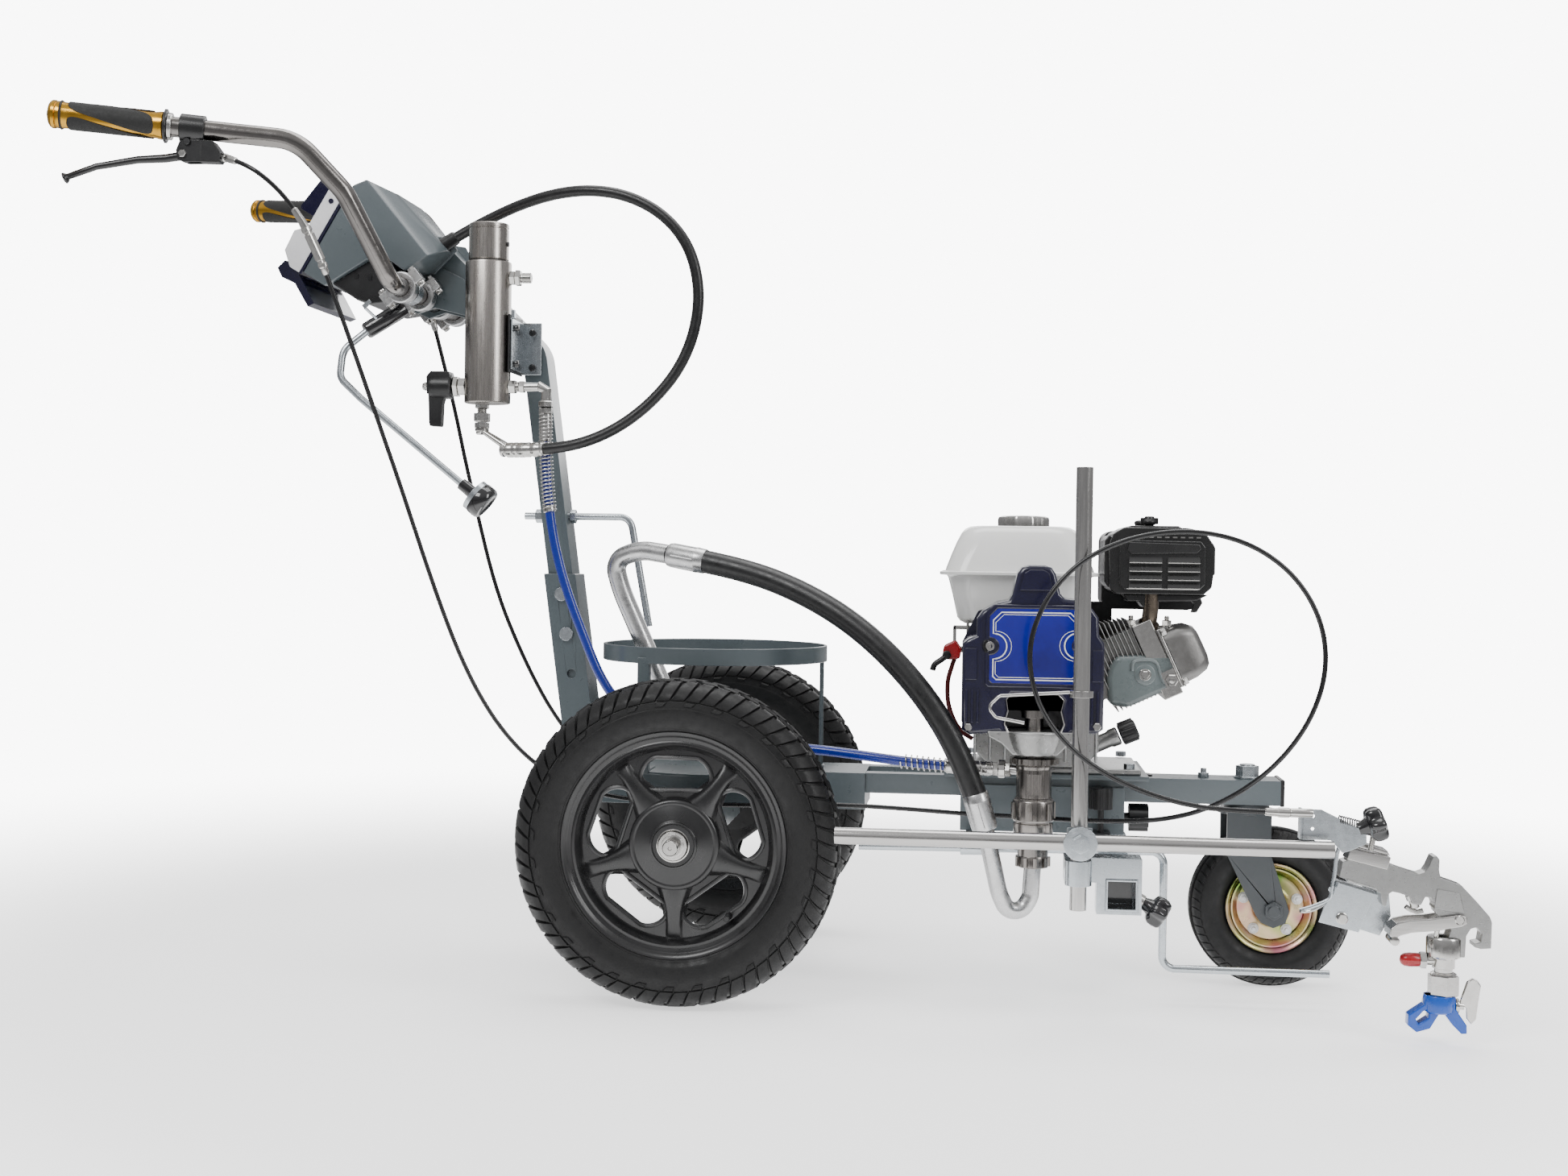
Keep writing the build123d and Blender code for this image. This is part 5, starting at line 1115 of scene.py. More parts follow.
def make_lever():
    """The hand lever that works the gun."""
    x, y, z = PERCH.x - 8, PERCH.y, PERCH.z - 33
    line = curved([(x, y, z), (x - 26, y, z - 4), (x - 70, y - 8, z - 8),
                   (x - 118, y - 20, z - 20), (x - 148, y - 27, z - 34)], 12)
    blade = sleeve_on(line, [(0, 5.2), (0.1, 5.6), (0.25, 5.4), (0.45, 4.8), (0.7, 4.3), (0.93, 4),
                             (0.945, 5.6), (0.96, 6.8), (0.975, 7.4), (0.99, 7), (1, 5)], 20)
    hub = rounded_rod((x, y - 5, z), (x, y + 5, z), 9.4, 1.2)
    lever = piece("hand_lever", "lever", "cast_black", blade, hub, smooth=50)
    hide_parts("brake_lever")
    pivot = join(hex_nut((x, y - 9.2, z), (x, y - 12.6, z), 9),
                 rounded_rod((x, y - 9.2, z), (x, y + 12, z), 3.4, 0.5))
    fixed("lever_pivot", "nickel", pivot, smooth=30)


def make_clamps():
    """The lever's perch and the clamps on the handlebar's cross tube."""
    clamp_x, clamp_z = -402, 921
    x, y, z = PERCH
    a, b = bar_hand_point(152, -1), bar_hand_point(190, -1)
    ring = lathe(a, b, [(0, 12.9), (0, 16.6), (1, 17.8), (30, 17.8), (31, 16.8), (31, 12.9)], 44,
                 closed=True)
    body = slab([(x + 13, z - 43), (x + 38, z - 44), (x + 41, z - 40), (x + 40, z - 30),
                 (x + 30, z - 17), (x + 8, z - 15), (x - 12, z - 15), (x - 14, z - 22),
                 (x + 13, z - 22)], y - 9, y + 9)
    cheeks = [slab([(x - 12, z - 16), (x - 17, z - 28), (x - 15, z - 40), (x - 6, z - 43),
                    (x + 16, z - 43), (x + 16, z - 16)], y + way * 5.8, y + way * 9.4)
              for way in (-1, 1)]
    screw = rounded_rod((x - 2, y - 9, z - 18), (x - 2, y - 13, z - 18), 4.4, 0.7)
    perch = fixed("lever_perch", "cast_black", ring, body, *cheeks, screw, bevel=1.4, smooth=36)
    parts, screws = [], []
    for place in (-128, -45, 45, 128):
        parts.append(lathe((clamp_x, place - 9, clamp_z), (clamp_x, place + 9, clamp_z),
                           [(0, 12.9), (0, 19.5), (1.4, 21), (16.6, 21), (18, 19.5), (18, 12.9)],
                           44, closed=True))
        for turn in (-0.9, 2.24):
            way = Vector((math.sin(turn), 0, -math.cos(turn)))
            over = Vector((way.z, 0, -way.x))
            ear = [Vector((clamp_x, place + k, clamp_z)) + way * r + over * w for k in (-8, 8)
                   for r, w in ((18, -9), (31, -9), (31, 9), (18, 9))]
            parts.append(prism(ear[:4], ear[4:]))
            head = Vector((clamp_x, place, clamp_z)) + way * 25
            screws.append(rounded_rod(head + over * 9, head + over * 15, 5, 0.8))
            screws.append(hex_nut(head - over * 9, head - over * 14, 9))
    clamps = fixed("cross_tube_clamps", "aluminium", *parts, bevel=0.9, smooth=36)
    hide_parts("bar_clamps")
    fixed("clamp_screws", "nickel", *screws, smooth=30)
    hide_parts("bar_clamps")


# ---- control box -------------------------------------------------------------------------
PANEL_START, PANEL_WAY, PANEL_OUT = Vector((-556, 0,
                                            946)), Vector((0.505, 0, 0.863)), Vector((-0.863, 0,
                                                                                      0.505))


def on_panel(s, y, t):
    """A point beside the operator's panel: s up along it, t out from it."""
    there = PANEL_START + PANEL_WAY * s + PANEL_OUT * t
    return Vector((there.x, y, there.z))


def panel_slab(outline, y0, y1):
    """An outline of (s, t) points between two depths."""
    return slab(outline, y0, y1, lambda v: on_panel(v.x, v.y, v.z))


def make_control_hood():
    """The folded hood, wider at its middle than at its cheeks."""
    side = [(-553, 948), (-484, 1066), (-464, 1074), (-378, 970), (-412, 950), (-436, 967),
            (-464, 964), (-522, 929)]
    middle = [(-549, 951), (-480, 1072), (-432, 1060), (-360, 982), (-392, 950), (-436, 964),
              (-464, 961), (-520, 931)]
    loops = [[Vector((x, y, z)) for x, z in outline] for outline, y in
             ((side, -92), (side, -88), (middle, -58), (middle, 58), (side, 88), (side, 92))]
    hood = fixed("control_hood", "paint", stack(loops), bevel=2.2, smooth=40)
    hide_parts("control_box")


def make_control_panel():
    """The operator's panel, its frame, the gauge with its dial and the rocker switch."""
    cheek = [(0, 2), (131, 2), (133, 6), (131, 24), (100, 25), (60, 24), (46, 38), (16, 36),
             (0, 18)]
    white = [panel_slab(cheek, y, y + 3) for y in (-92.6,
                                                   89.6)] + [panel_slab([(0, 2), (131, 2),
                                                                         (131, 23), (0, 19)], -90,
                                                                        90)]
    fixed("control_panel", "panel_white", *white, bevel=0.8, smooth=36)
    edge = [panel_slab([(-1, -1.6), (134, -1.6), (134, 2.2), (-1, 2.2)], -93.4, 93.4)]
    tab = [(76, 24), (127, 24), (129, 27), (126, 40), (80, 47), (76, 44)]
    edge += [panel_slab(tab, y, y + 3) for y in (-93, 90)]
    edge.append(panel_slab([(124, 24), (129, 24), (128, 40), (124, 40)], -91, 91))
    hole = rounded_rod(on_panel(106, -92.4, 13), on_panel(106, -94, 13), 3.6, 0.3)
    frame = [panel_slab([(-2, 4), (12, 4), (4, 30), (-10, 34), (-18, 22), (-16, 2), (-34, -30),
                         (-26, -36), (-8, -6)], -88, 88)]
    fixed("control_trim", "navy", *edge, hole, *frame, bevel=1.2, smooth=36)
    face = panel_slab([(8, 22), (122, 23), (122, 24.6), (8, 24.6)], -84, 84)
    rings = [lathe(on_panel(46, y, 24), on_panel(46, y, 40),
                   [(0, 15), (3, 14.4), (3.4, 12), (3.4, 2)], 40) for y in (-40, 44)]
    dial = lathe(on_panel(86, 0, 24), on_panel(86, 0, 40),
                 [(0, 27), (5, 27), (6.4, 25.6), (6.4, 24), (4.6, 23), (4.4, 1)], 56)
    fixed("control_face", "gloss_black", face, *rings, dial, bevel=0.6, smooth=36)
    glass = lathe(on_panel(86, 0, 28.6), on_panel(86, 0, 40),
                  [(0, 22.8), (0.6, 22.8), (0.9, 22), (0.9, 1)], 48)
    needle = panel_slab([(80, 29.6), (100, 29.6), (100, 30.2), (80, 30.2)], -0.8, 0.8)
    marks = [panel_slab([(86 + 18 * math.sin(k * 0.42), 29.5),
                         (86 + 21.4 * math.sin(k * 0.42), 29.5),
                         (86 + 21.4 * math.sin(k * 0.42), 30), (86 + 18 * math.sin(k * 0.42), 30)],
                        20 * math.cos(k * 0.42) - 0.6, 20 * math.cos(k * 0.42) + 0.6)
             for k in range(-3, 11)]
    fixed("dial_glass", "white", glass, smooth=30)
    fixed("dial_marks", "plastic", needle, *marks)
    fixed("rocker_switch", "red", panel_slab([(40, 24), (58, 24), (56, 31), (42, 29)], 34, 54),
          bevel=1.2)


def make_control_pan():
    """The dark pan under the box, the cheeks that hold it and the hose's gland."""
    pan = [(-516, 934), (-464, 964), (-441, 967), (-424, 946), (-426, 918), (-440, 908),
           (-459, 905), (-480, 911)]
    hollow = [brick(-483, -478, -83.4, -82, 940, 946), brick(-464, -459, -83.4, -82, 938, 944),
              brick(-440, -436, -83.4, -82, 925, 931)]
    fixed("control_pan", "cast_black", slab(pan, -82, 82), bevel=3, smooth=36)
    fixed("pan_holes", "gloss_black", *hollow)
    sheet = [slab([(-440, 985), (-420, 965), (-402, 952), (-384, 952), (-352, 985), (-362, 1002),
                   (-420, 1010)], y, y + 3.2) for y in (-40, 37)]
    fixed("control_cheeks", "paint", *sheet, bevel=0.9)
    gland = sleeve_on([Vector((-390, -42, 981)), Vector((-372, -43, 990)),
                       Vector((-352, -43, 1003))], [(0, 9), (0.1, 12), (0.5, 12), (0.55, 10.4),
                                                    (0.95, 9.6), (1, 8)])
    fixed("hose_gland", "plastic", gland, smooth=36)


# ---- filter and fluid line ---------------------------------------------------------------
def threads(a, b, radius):
    """A threaded bar from a to b."""
    pitch, depth = 1.5, 0.7
    length = (Vector(b) - Vector(a)).length
    profile = [(0, radius - depth)]
    count = int(length / pitch)
    for step in range(count):
        profile += [(pitch * (step + 0.25), radius), (pitch * (step + 0.5), radius),
                    (pitch * (step + 0.95), radius - depth)]
    profile.append((length, radius - depth - 0.3))
    return lathe(a, b, profile, 32)


def lugs(x, y, z0, z1, inner, outer, count, width, start=0.0):
    """Grips round a nut that stands upright."""
    found = []
    for step in range(count):
        turn = start + 2 * math.pi * step / count
        way, over = Vector((math.cos(turn), math.sin(turn),
                            0)), Vector((-math.sin(turn), math.cos(turn), 0))
        ends = []
        for z in (z0, z1):
            base = Vector((x, y, z))
            ends.append([base + way * r + over * w for r,
                         w in ((inner, -width / 2), (outer - 1, -width / 2), (outer, -width / 4),
                               (outer, width / 4), (outer - 1, width / 2), (inner, width / 2))])
        found.append(prism(*ends))
    return found


FILTER_X, FILTER_Y = -295, -85
FILTER_SIDE = FILTER_X + 31


def make_filter():
    """The tall steel filter with its cap."""
    x, y = FILTER_X, FILTER_Y
    low, high = (x, y, 0), (x, y, 1)
    shell = lathe(low, high, [(770, 28), (770.4, 30), (771.6, 31), (959, 31), (960.8, 30.4),
                              (961.6, 29), (961.6, 24)], 72)
    cap = lathe(low, high, [(963.4, 24), (963.6, 26.2), (964.6, 27), (1004.6, 27), (1005.4, 26.2),
                            (1006.6, 26.2), (1007.2, 27), (1011.4, 27), (1012.8, 26), (1013.2, 24),
                            (1012.6, 3)], 72)
    body = fixed("filter_shell", "stainless", shell, cap, smooth=30)
    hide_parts("filter_body")
    seal = lathe(low, high, [(961, 23), (961, 25.6), (964, 25.6), (964, 23)], 56, closed=True)
    screw = rounded_rod((x + 26, y - 4, 985), (x + 29, y - 4, 985), 3.2, 0.5)
    fixed("filter_seal", "plastic", seal, screw, smooth=30)


def make_fittings():
    """The nuts, elbows and ferrules round the filter."""
    x, y, side = FILTER_X, FILTER_Y, FILTER_SIDE
    shapes = [hex_nut((side - 0.5, y, 940), (side + 7, y, 940), 17),
              hex_nut((side + 7.4, y, 940), (side + 14, y, 940), 20),
              rounded_rod((side + 14, y, 940), (side + 17, y, 940), 6.2, 0.4),
              threads((side + 16, y, 940), (side + 28, y, 940), 7.2),
              lathe((side + 27, y, 940), (side + 28.6, y, 940),
                    [(0, 6.4), (1.4, 6), (1.4, 3.4), (0.2, 3)], 24),
              hex_nut((side - 0.5, y, 793), (side + 9, y, 793), 17),
              threads((side + 9, y, 793), (side + 14, y, 793), 7),
              hex_nut((side + 14, y, 793), (side + 21, y, 793), 15)]
    elbow = curved([(side + 20, y, 793), (side + 34, y, 793), (side + 44, y, 793), (-214, y, 789),
                    (-214, y, 780), (-214, y, 766)], 8)
    shapes.append(sleeve_on(elbow, [(0, 6.4), (0.3, 6.4), (0.34, 7.6), (0.62, 7.6), (0.7, 6.8),
                                    (1, 6.6)], 24))
    shapes += [hex_nut((-214, y, 757), (-214, y, 765), 17),
               hex_nut((-214, y, 766), (-214, y, 774), 18, 8)]
    neck = x - 7
    shapes += [hex_nut((neck, y, 770), (neck, y, 763), 17),
               threads((neck, y, 763), (neck, y, 757), 6.5),
               hex_nut((neck, y, 757), (neck, y, 745), 20),
               hex_nut((neck, y, 744), (neck, y, 736), 18),
               lathe((neck, y, 736), (neck, y, 728), [(0, 9.4), (3, 9.4), (4, 8), (6, 8.4),
                                                      (8, 7)], 28)]
    bend = curved([(neck, y, 734), (neck, y, 722), (neck + 2, y, 713), (neck + 9, y - 2, 708.5),
                   (neck + 20, y - 4, 707.4), (neck + 34, y - 8, 707), (-258, -94.6, 707)], 8)
    shapes.append(sleeve_on(bend, [(0, 7), (1, 7)], 28))
    start = Vector((-240, -99, 707))
    way = (start - Vector((-302, -85, 707))).normalized()
    line = [start - way * 34, start - way * 17, start + way * 3]
    shapes.append(sleeve_on(line, [(0, 7.2), (0.03, 9), (0.14, 9.6), (0.18, 8.4), (0.25, 8.4),
                                   (0.3, 10.2), (0.5, 10.4), (0.54, 9.8), (0.6, 10.4), (0.7, 10.4),
                                   (0.74, 9.8), (0.8, 10.4), (0.96, 10.2), (1, 8.6)], 32))
    shapes += [hex_nut((x - 30, y, 793), (x - 40, y, 793), 22),
               hex_nut((x - 40, y, 793), (x - 47.2, y, 793), 26),
               rounded_rod((x - 47, y, 793), (x - 90, y, 793), 4.6, 0.6),
               hex_nut((x - 83.6, y, 793), (x - 87.6, y, 793), 11)]
    fittings = fixed("line_fittings", "nickel", *shapes, smooth=30)
    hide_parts("fluid_fittings")


def make_filter_bracket():
    """The bracket between the filter and the column."""
    y, side = FILTER_Y, FILTER_SIDE
    plate = brick(side + 0.4, side + 3.2, y - 16, y + 56, 812, 890)
    fixed("filter_back_plate", "plastic", plate, bevel=0.8)
    bright = [brick(side + 3.4, side + 6.4, y - 14, y + 56, 816, 884),
              brick(side + 3, side + 30, -30.6, -27, 814, 886),
              brick(side + 4, side + 9, y - 14, y - 6, 884, 896)]
    fixed("filter_bracket", "zinc", *bright, bevel=1.0)
    screws = []
    for z in (824, 872):
        screws.append(rounded_rod((side + 6, y - 4, z), (side + 13, y - 4, z), 4.6, 0.7))
        screws.append(rounded_rod((side + 12.9, y - 4, z), (side + 13.3, y - 4, z), 2.4, 0.1))
        screws.append(rounded_rod((side + 18, -30.4, z), (side + 18, -35, z), 5, 0.7))
    fixed("filter_screws", "gloss_black", *screws, smooth=30)


def make_hose_ends():
    """The nuts at the pump's outlet and the two ferrules of the siphon hose."""
    nut = [hex_nut((394, -166, 300), (401, -166, 300), 16),
           lathe((380, -165.6, 300), (394, -166, 300), [(0, 7.4), (1, 8.8), (9, 9.2), (14, 8)],
                 28)]
    wide = lathe((401, -166, 300), (412, -166.6, 300), [(0, 11), (1, 12), (8, 12), (9, 11)], 12)
    fixed("pump_outlet_nuts", "nickel", *nut, wide, smooth=30)
    for name, line in (("top", [(-42, -90.4, 568.9), (-22, -95.7, 565.5), (-2, -101, 562),
                                (10, -104, 560)]),
                       ("low", [(386, -202, 226), (380.5, -202.5, 244), (375, -203, 262),
                                (372, -203, 272)])):
        line = [Vector(p) for p in line]
        sleeve = sleeve_on(line, [(0, 13.4), (0.02, 15.4), (0.1, 16.6), (0.62, 16.8), (0.66, 17.2),
                                  (0.7, 17.2), (0.74, 16.8), (0.97, 16.6), (1, 15.9)], 44)
        off = Vector((0, -16.6, 0))
        rib = tube([line[0].lerp(line[2], 0.12) + off, line[0].lerp(line[2], 0.95) + off], 1.1, 6)
        fixed("siphon_ferrule_" + name, "aluminium", sleeve, rib, smooth=40)


def make_drain_lever():
    """The drain valve's hand lever behind the filter."""
    y = FILTER_Y
    head = lathe((-343, y, 793), (-376, y, 793), [(0, 15), (1.6, 17), (24, 17.4), (30, 16.4),
                                                  (32.4, 13), (33, 5)], 40)
    stem = slab([(-376, 800), (-374, 745), (-373, 739), (-358, 738), (-357, 744), (-356, 770),
                 (-350, 790)], y - 8, y + 8)
    top = slab([(-377, 806), (-371, 813), (-346, 813), (-344, 806), (-344, 784), (-376, 782)],
               y - 13, y + 13)
    lever = piece("drain_valve_lever", "valve_lever", "plastic", head, stem, top, bevel=3,
                  smooth=40)
    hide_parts("drain_lever")


def make_bent_rod_parts():
    """The bent rod's holder, screw and hand knob."""
    line = [Vector((-408, -95, 899)), Vector((-430, -104, 883)), Vector((-455, -116.6, 864))]
    holder = sleeve_on(line, [(0, 10), (0.04, 11.4), (0.96, 11.4), (1, 10)], 20)
    knob = lathe((-297, -130, 643.6), (-281, -130, 630.6),
                 [(0, 9), (2, 21.4), (4, 22.8), (12, 23.2), (17, 22.6), (19.6, 20.6), (20.2, 17),
                  (18.4, 14), (17.6, 2)], 56)
    sleeve = lathe((-318, -130, 660.4), (-298, -130, 644.4),
                   [(0, 5.6), (1, 8), (24, 8.6), (26, 8)], 28)
    fixed("bent_rod_black", "gloss_black", holder, knob, sleeve, smooth=34)
    wing = [rounded_rod((-440, -118, 881), (-452, -130, 894), 2.2, 0.4),
            slab([(-456, 897), (-446, 905), (-443, 902), (-452, 892)], -133, -129)]
    fixed("bent_rod_screw", "zinc", *wing, bevel=0.6)


# ---- engine ------------------------------------------------------------------------------
CRANK_X, CRANK_Z, CYLINDER_TILT = 455, 385, math.radians(25)


def tilt(s, y, t):
    """A point at distance s along the tilted cylinder and t across it."""
    along, across = math.cos(CYLINDER_TILT), math.sin(CYLINDER_TILT)
    return Vector((CRANK_X + s * along - t * across, y, CRANK_Z + s * across + t * along))


def tilted(s0, s1, y0, y1, t0, t1):
    """A box along the tilted cylinder."""
    return brick(s0, s1, y0, y1, t0, t1, lambda v: tilt(v.x, v.y, v.z))


def rounded_loop(x, y, z, half_x, half_y, corner, steps=6):
    """A flat rectangle with round corners about a point."""
    loop = []
    for cx, cy, start in ((1, 1, 0), (-1, 1, 90), (-1, -1, 180), (1, -1, 270)):
        for step in range(steps + 1):
            turn = math.radians(start + 90 * step / steps)
            loop.append(Vector((x + cx * (half_x - corner) + corner * math.cos(turn),
                                y + cy * (half_y - corner) + corner * math.sin(turn), z)))
    return loop


def make_tank():
    """The moulded tank with its seam, neck and cap."""
    x, y = 427, 85
    levels = [(480, 74, 82, 22), (483, 80, 88, 24), (488, 84, 92, 26), (520, 91, 98, 28),
              (543, 97, 104, 30), (546, 99, 106, 30), (546.6, 107, 113, 32),
              (547.4, 108.4, 114, 33), (550.6, 108.4, 114, 33), (551.4, 107, 113, 32),
              (552, 101, 107, 31), (556, 100, 106, 31), (575, 93, 100, 32), (592, 86, 94, 33),
              (604, 80, 89, 34), (610, 75, 84, 34), (613.4, 68, 77, 32), (614.6, 58, 66, 26)]
    tank = stack([rounded_loop(x, y, z, hx, hy, c) for z, hx, hy, c in levels])
    shape = fixed("tank_shell", "tank", tank, smooth=50)
    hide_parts("fuel_tank")
    neck = lathe((433, 85, 608), (433, 85, 616), [(0, 31), (4, 30), (6, 27)], 40)
    fixed("tank_neck", "nickel", neck)
    rows = []
    for z, r in ((614, 33), (615, 34.6), (625, 34.6), (628, 33.4), (629.6, 30), (630, 20),
                 (629.2, 14)):
        loop = []
        for k in range(96):
            turn = 2 * math.pi * k / 96
            wave = 1.3 * max(math.cos(turn * 10), -0.2) if z < 628.5 and r > 32 else 0
            loop.append(Vector((433 + (r + wave) * math.cos(turn),
                                85 + (r + wave) * math.sin(turn), z)))
        rows.append(loop)
    cap = piece("tank_cap", "cap_fuel", "nickel", stack(rows), smooth=36)
    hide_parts("fuel_cap")


def make_engine_case():
    """The crankcase, the shroud in front of it and the oil filler."""
    case = slab([(368, 314), (390, 292), (512, 292), (534, 314), (534, 418), (512, 440),
                 (390, 440), (368, 418)], -62, 100)
    feet = brick(350, 590, -62, 100, 284, 292)
    nose = lathe((CRANK_X, -90, CRANK_Z), (CRANK_X, -62, CRANK_Z), [(0, 55), (24, 57), (28, 62)],
                 48)
    ribs = [brick(368 + 20 * k, 372 + 20 * k, -66, -60, 300, 432) for k in range(9)]
    neck = lathe((524, -43, 319), (562, -43, 336), [(0, 12), (6, 11), (26, 10.6), (30, 12.4),
                                                    (39, 12.6), (41, 12)], 32)
    shape = fixed("engine_case", "cast_alu", case, feet, nose, neck, *ribs, bevel=3, smooth=36)
    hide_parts("engine_block")
    outline = [(545, 412), (549, 428), (558, 441), (628, 444), (637, 431), (645, 404), (573, 370),
               (549, 374)]
    cover = fixed("engine_shroud", "shroud", slab(outline, -23, 88), bevel=8, smooth=40,
                  segments=4)
    loop = curved([(579, -23.4, 421), (581, -23.6, 433), (592, -23.8, 436), (604, -23.8, 436),
                   (612, -23.6, 431), (617, -23.6, 416), (622, -23.4, 405)], 6)
    dent = tube(loop, 2.6, 8)
    dish = lathe((596, -22, 416), (596, -25, 416), [(0, 15), (1.6, 14), (2.2, 12.6), (2.2, 1)], 32)
    fixed("shroud_dimple", "shroud", dent, dish, smooth=60)
    fixed("shroud_bolt", "nickel", hex_nut((596, -24, 416), (596, -30, 416), 10, 8), smooth=30)
    oil = lathe((562, -43, 336), (585, -43, 346), [(1, 12), (2, 14), (20, 14.4), (23, 13.4),
                                                   (24.6, 11), (24.4, 3)], 40)
    grips = [moved(rounded_rod((564, -43, 337), (583, -43, 345), 2.4, 0.6, 12), lambda v,
                   k=k: (v.x - 13.6 * math.sin(k) * 0.4, v.y + 13.6 * math.cos(k),
                         v.z + 13.6 * math.sin(k) * 0.92))
             for k in [math.pi * 2 * q / 9 for q in range(9)]]
    cap = piece("oil_filler_cap", "cap_oil", "plastic", oil, *grips, smooth=36)
    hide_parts("oil_cap")


def make_cylinder():
    """The finned cylinder, its head, valve cover and plug."""
    body = tilted(66, 150, -8, 80, -42, 32)
    fins = []
    for k in range(11):
        s = 88 + 6 * k
        fins.append(tilted(s, s + 1.8, -20, 90, -64, 62 - k * 1.6))
    head = tilted(151, 178, -22, 88, -74, 34)
    shape = fixed("cylinder_fins", "fins", body, *fins, bevel=0.8, smooth=36)
    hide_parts("engine_cylinder")
    gasket = tilted(178, 183, -32, 86, -66, 18)
    cover = stack([[tilt(s, y, t) for y, t in loop] for s,
                   loop in ((183, face_loop(57, 38, 14)), (204, face_loop(56, 37, 14)),
                            (220, face_loop(51, 33, 16)), (226, face_loop(45, 28, 16)),
                            (228.5, face_loop(36, 20, 12)))])
    fixed("valve_cover", "fins", cover, bevel=1.5, smooth=44)
    fixed("valve_gasket", "nickel", gasket, head, bevel=1.6, smooth=36)
    bolts = []
    for t in (-60, 12):
        for y in (-27, 78):
            a, b = tilt(183, y, t), tilt(190, y, t)
            bolts.append(hex_nut(a, b, 10, 7))
    a, b = tilt(170, -22, -52), tilt(170, -34, -52)
    bolts.append(hex_nut(a, b, 15, 9))
    bolts.append(lathe(a, b, [(9, 4), (13, 4), (13.6, 2)], 16))
    ear = tilted(160, 181, -26, -20, -66, -38)
    fixed("head_bolts", "nickel", *bolts, ear, smooth=30)


def face_loop(half_y, half_t, corner):
    """An outline (y, t) across the tilted cylinder, about the head's middle."""
    return [(v.x, v.y) for v in rounded_loop(25, -26, 0, half_y, half_t, corner, 5)]


def make_muffler():
    """The muffler's guard, with a louvred window, and the exhaust under it."""
    outline = [(548, 530), (556, 524), (672, 524), (683, 534), (686, 560), (686, 590), (672, 610),
               (650, 614), (566, 614), (552, 606), (546, 590)]
    box = slab(outline, -17, 116)
    flange = [slab([(541, 540), (547, 532), (551, 536), (551, 600), (547, 604), (541, 596)], 0,
                   110), slab([(683, 548), (689, 552), (689, 588), (683, 596)], 0, 110)]
    top = slab([(570, 612), (576, 617), (640, 617), (650, 612)], 10, 100)
    front = slab([(560, 536), (566, 530), (666, 530), (674, 538), (674, 588), (668, 596),
                  (566, 597), (560, 590)], -17, -20.5)
    rail = brick(577, 612, -22.6, -20, 559, 561)
    under = slab([(566, 524), (572, 514), (588, 514), (594, 506), (606, 506), (612, 514),
                  (664, 516), (680, 524)], -6, 60)
    leg = slab([(648, 527), (668, 527), (673, 513), (665, 500), (657, 500), (661, 512)], -2, 6)
    shape = fixed("muffler_guard", "muffler", box, *flange, top, front, under, leg, bevel=3,
                  smooth=40, segments=3)
    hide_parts("muffler")
    band = slab([(570, 583), (575, 578), (662, 580), (668, 586), (665, 592), (573, 594)], -20, -24)
    fixed("muffler_band", "muffler", band, rail, bevel=1.8, smooth=50)
    louvres, lips = [], []
    for x0, x1 in ((573, 616), (624, 666)):
        for z in (571, 559.5, 548, 536.5):
            low, high = z - 4.5, z + 4.5
            louvres.append(prism(*([(x0, top_y, high), (x1, top_y, high), (x1 + 1, low_y, low),
                                    (x0 - 1, low_y, low)] for top_y,
                                   low_y in ((-20.2, -25.4), (-18, -18)))))
            # A thin nickel lip under each louvre is a painted highlight on the black guard.
            lips.append(tube([(x0, -25.3, low), (x1, -25.3, low)], 0.6, 8))
    lips.append(tube([(570, -21.2, 531.4), (664, -21.2, 531.4)], 0.8, 8))
    fixed("muffler_louvres", "muffler", *louvres, bevel=0.8, smooth=50)
    # The lips and this row of small nickel marks at the top are painted highlights on the black
    # guard.
    slots = [brick(578 + 10.4 * k, 584 + 10.4 * k, -20.9, -20, 600, 602) for k in range(9)]
    fixed("muffler_bright_edges", "nickel", *lips, *slots, smooth=50)
    cap = [lathe((602, 20, 614), (602, 20, 630), [(0, 6), (4, 6), (5, 9), (9, 10), (12, 7),
                                                  (16, 6.4)], 24)]
    cap += [brick(590, 599, 17, 23, 619, 628), brick(605, 614, 17, 23, 619, 628)]
    fixed("muffler_wing_nut", "plastic", *cap, bevel=1.4, smooth=40)
    bend = curved([(604, 0, 530), (604, 0, 505), (602, 2, 486), (600, 10, 470), (592, 24, 460)], 8)
    fixed("exhaust_pipe", "exhaust", tube(bend, 10.5, 28),
          lathe((603, 1, 487), (601, 5, 478), [(0, 10.5), (2, 14), (8, 14), (10, 11)], 32),
          smooth=50)
    plate = slab([(572, 474), (578, 481), (626, 481), (632, 474), (626, 467), (578, 467)], -4, 26)
    fixed("exhaust_flange", "fins", plate, bevel=1.4)
    nuts = [hex_nut((x, 4, 480), (x, 4, 489), 12, 8) for x in (578, 626)]
    nuts += [threads((x, 4, 488), (x, 4, 495), 3.6) for x in (578, 626)]
    fixed("exhaust_nuts", "nickel", *nuts, smooth=30)


# ---- drive and pump ----------------------------------------------------------------------
COVER = [(354, 352), (354, 462), (361, 468), (371, 472), (371, 493), (378, 503), (396, 514),
         (411, 517), (415, 524), (421, 551), (427, 559), (436, 562), (455, 562), (464, 559),
         (469, 551), (475, 526), (481, 520), (502, 518), (515, 508), (523, 497), (524, 474),
         (531, 464), (531, 356), (522, 350), (492, 350), (478, 340), (413, 340), (400, 350),
         (364, 346)]
WINDOW = [(413, 352), (409, 362), (413, 378), (411, 391), (417, 398), (473, 398), (480, 391),
          (477, 378), (481, 362), (476, 350), (466, 345), (424, 345)]


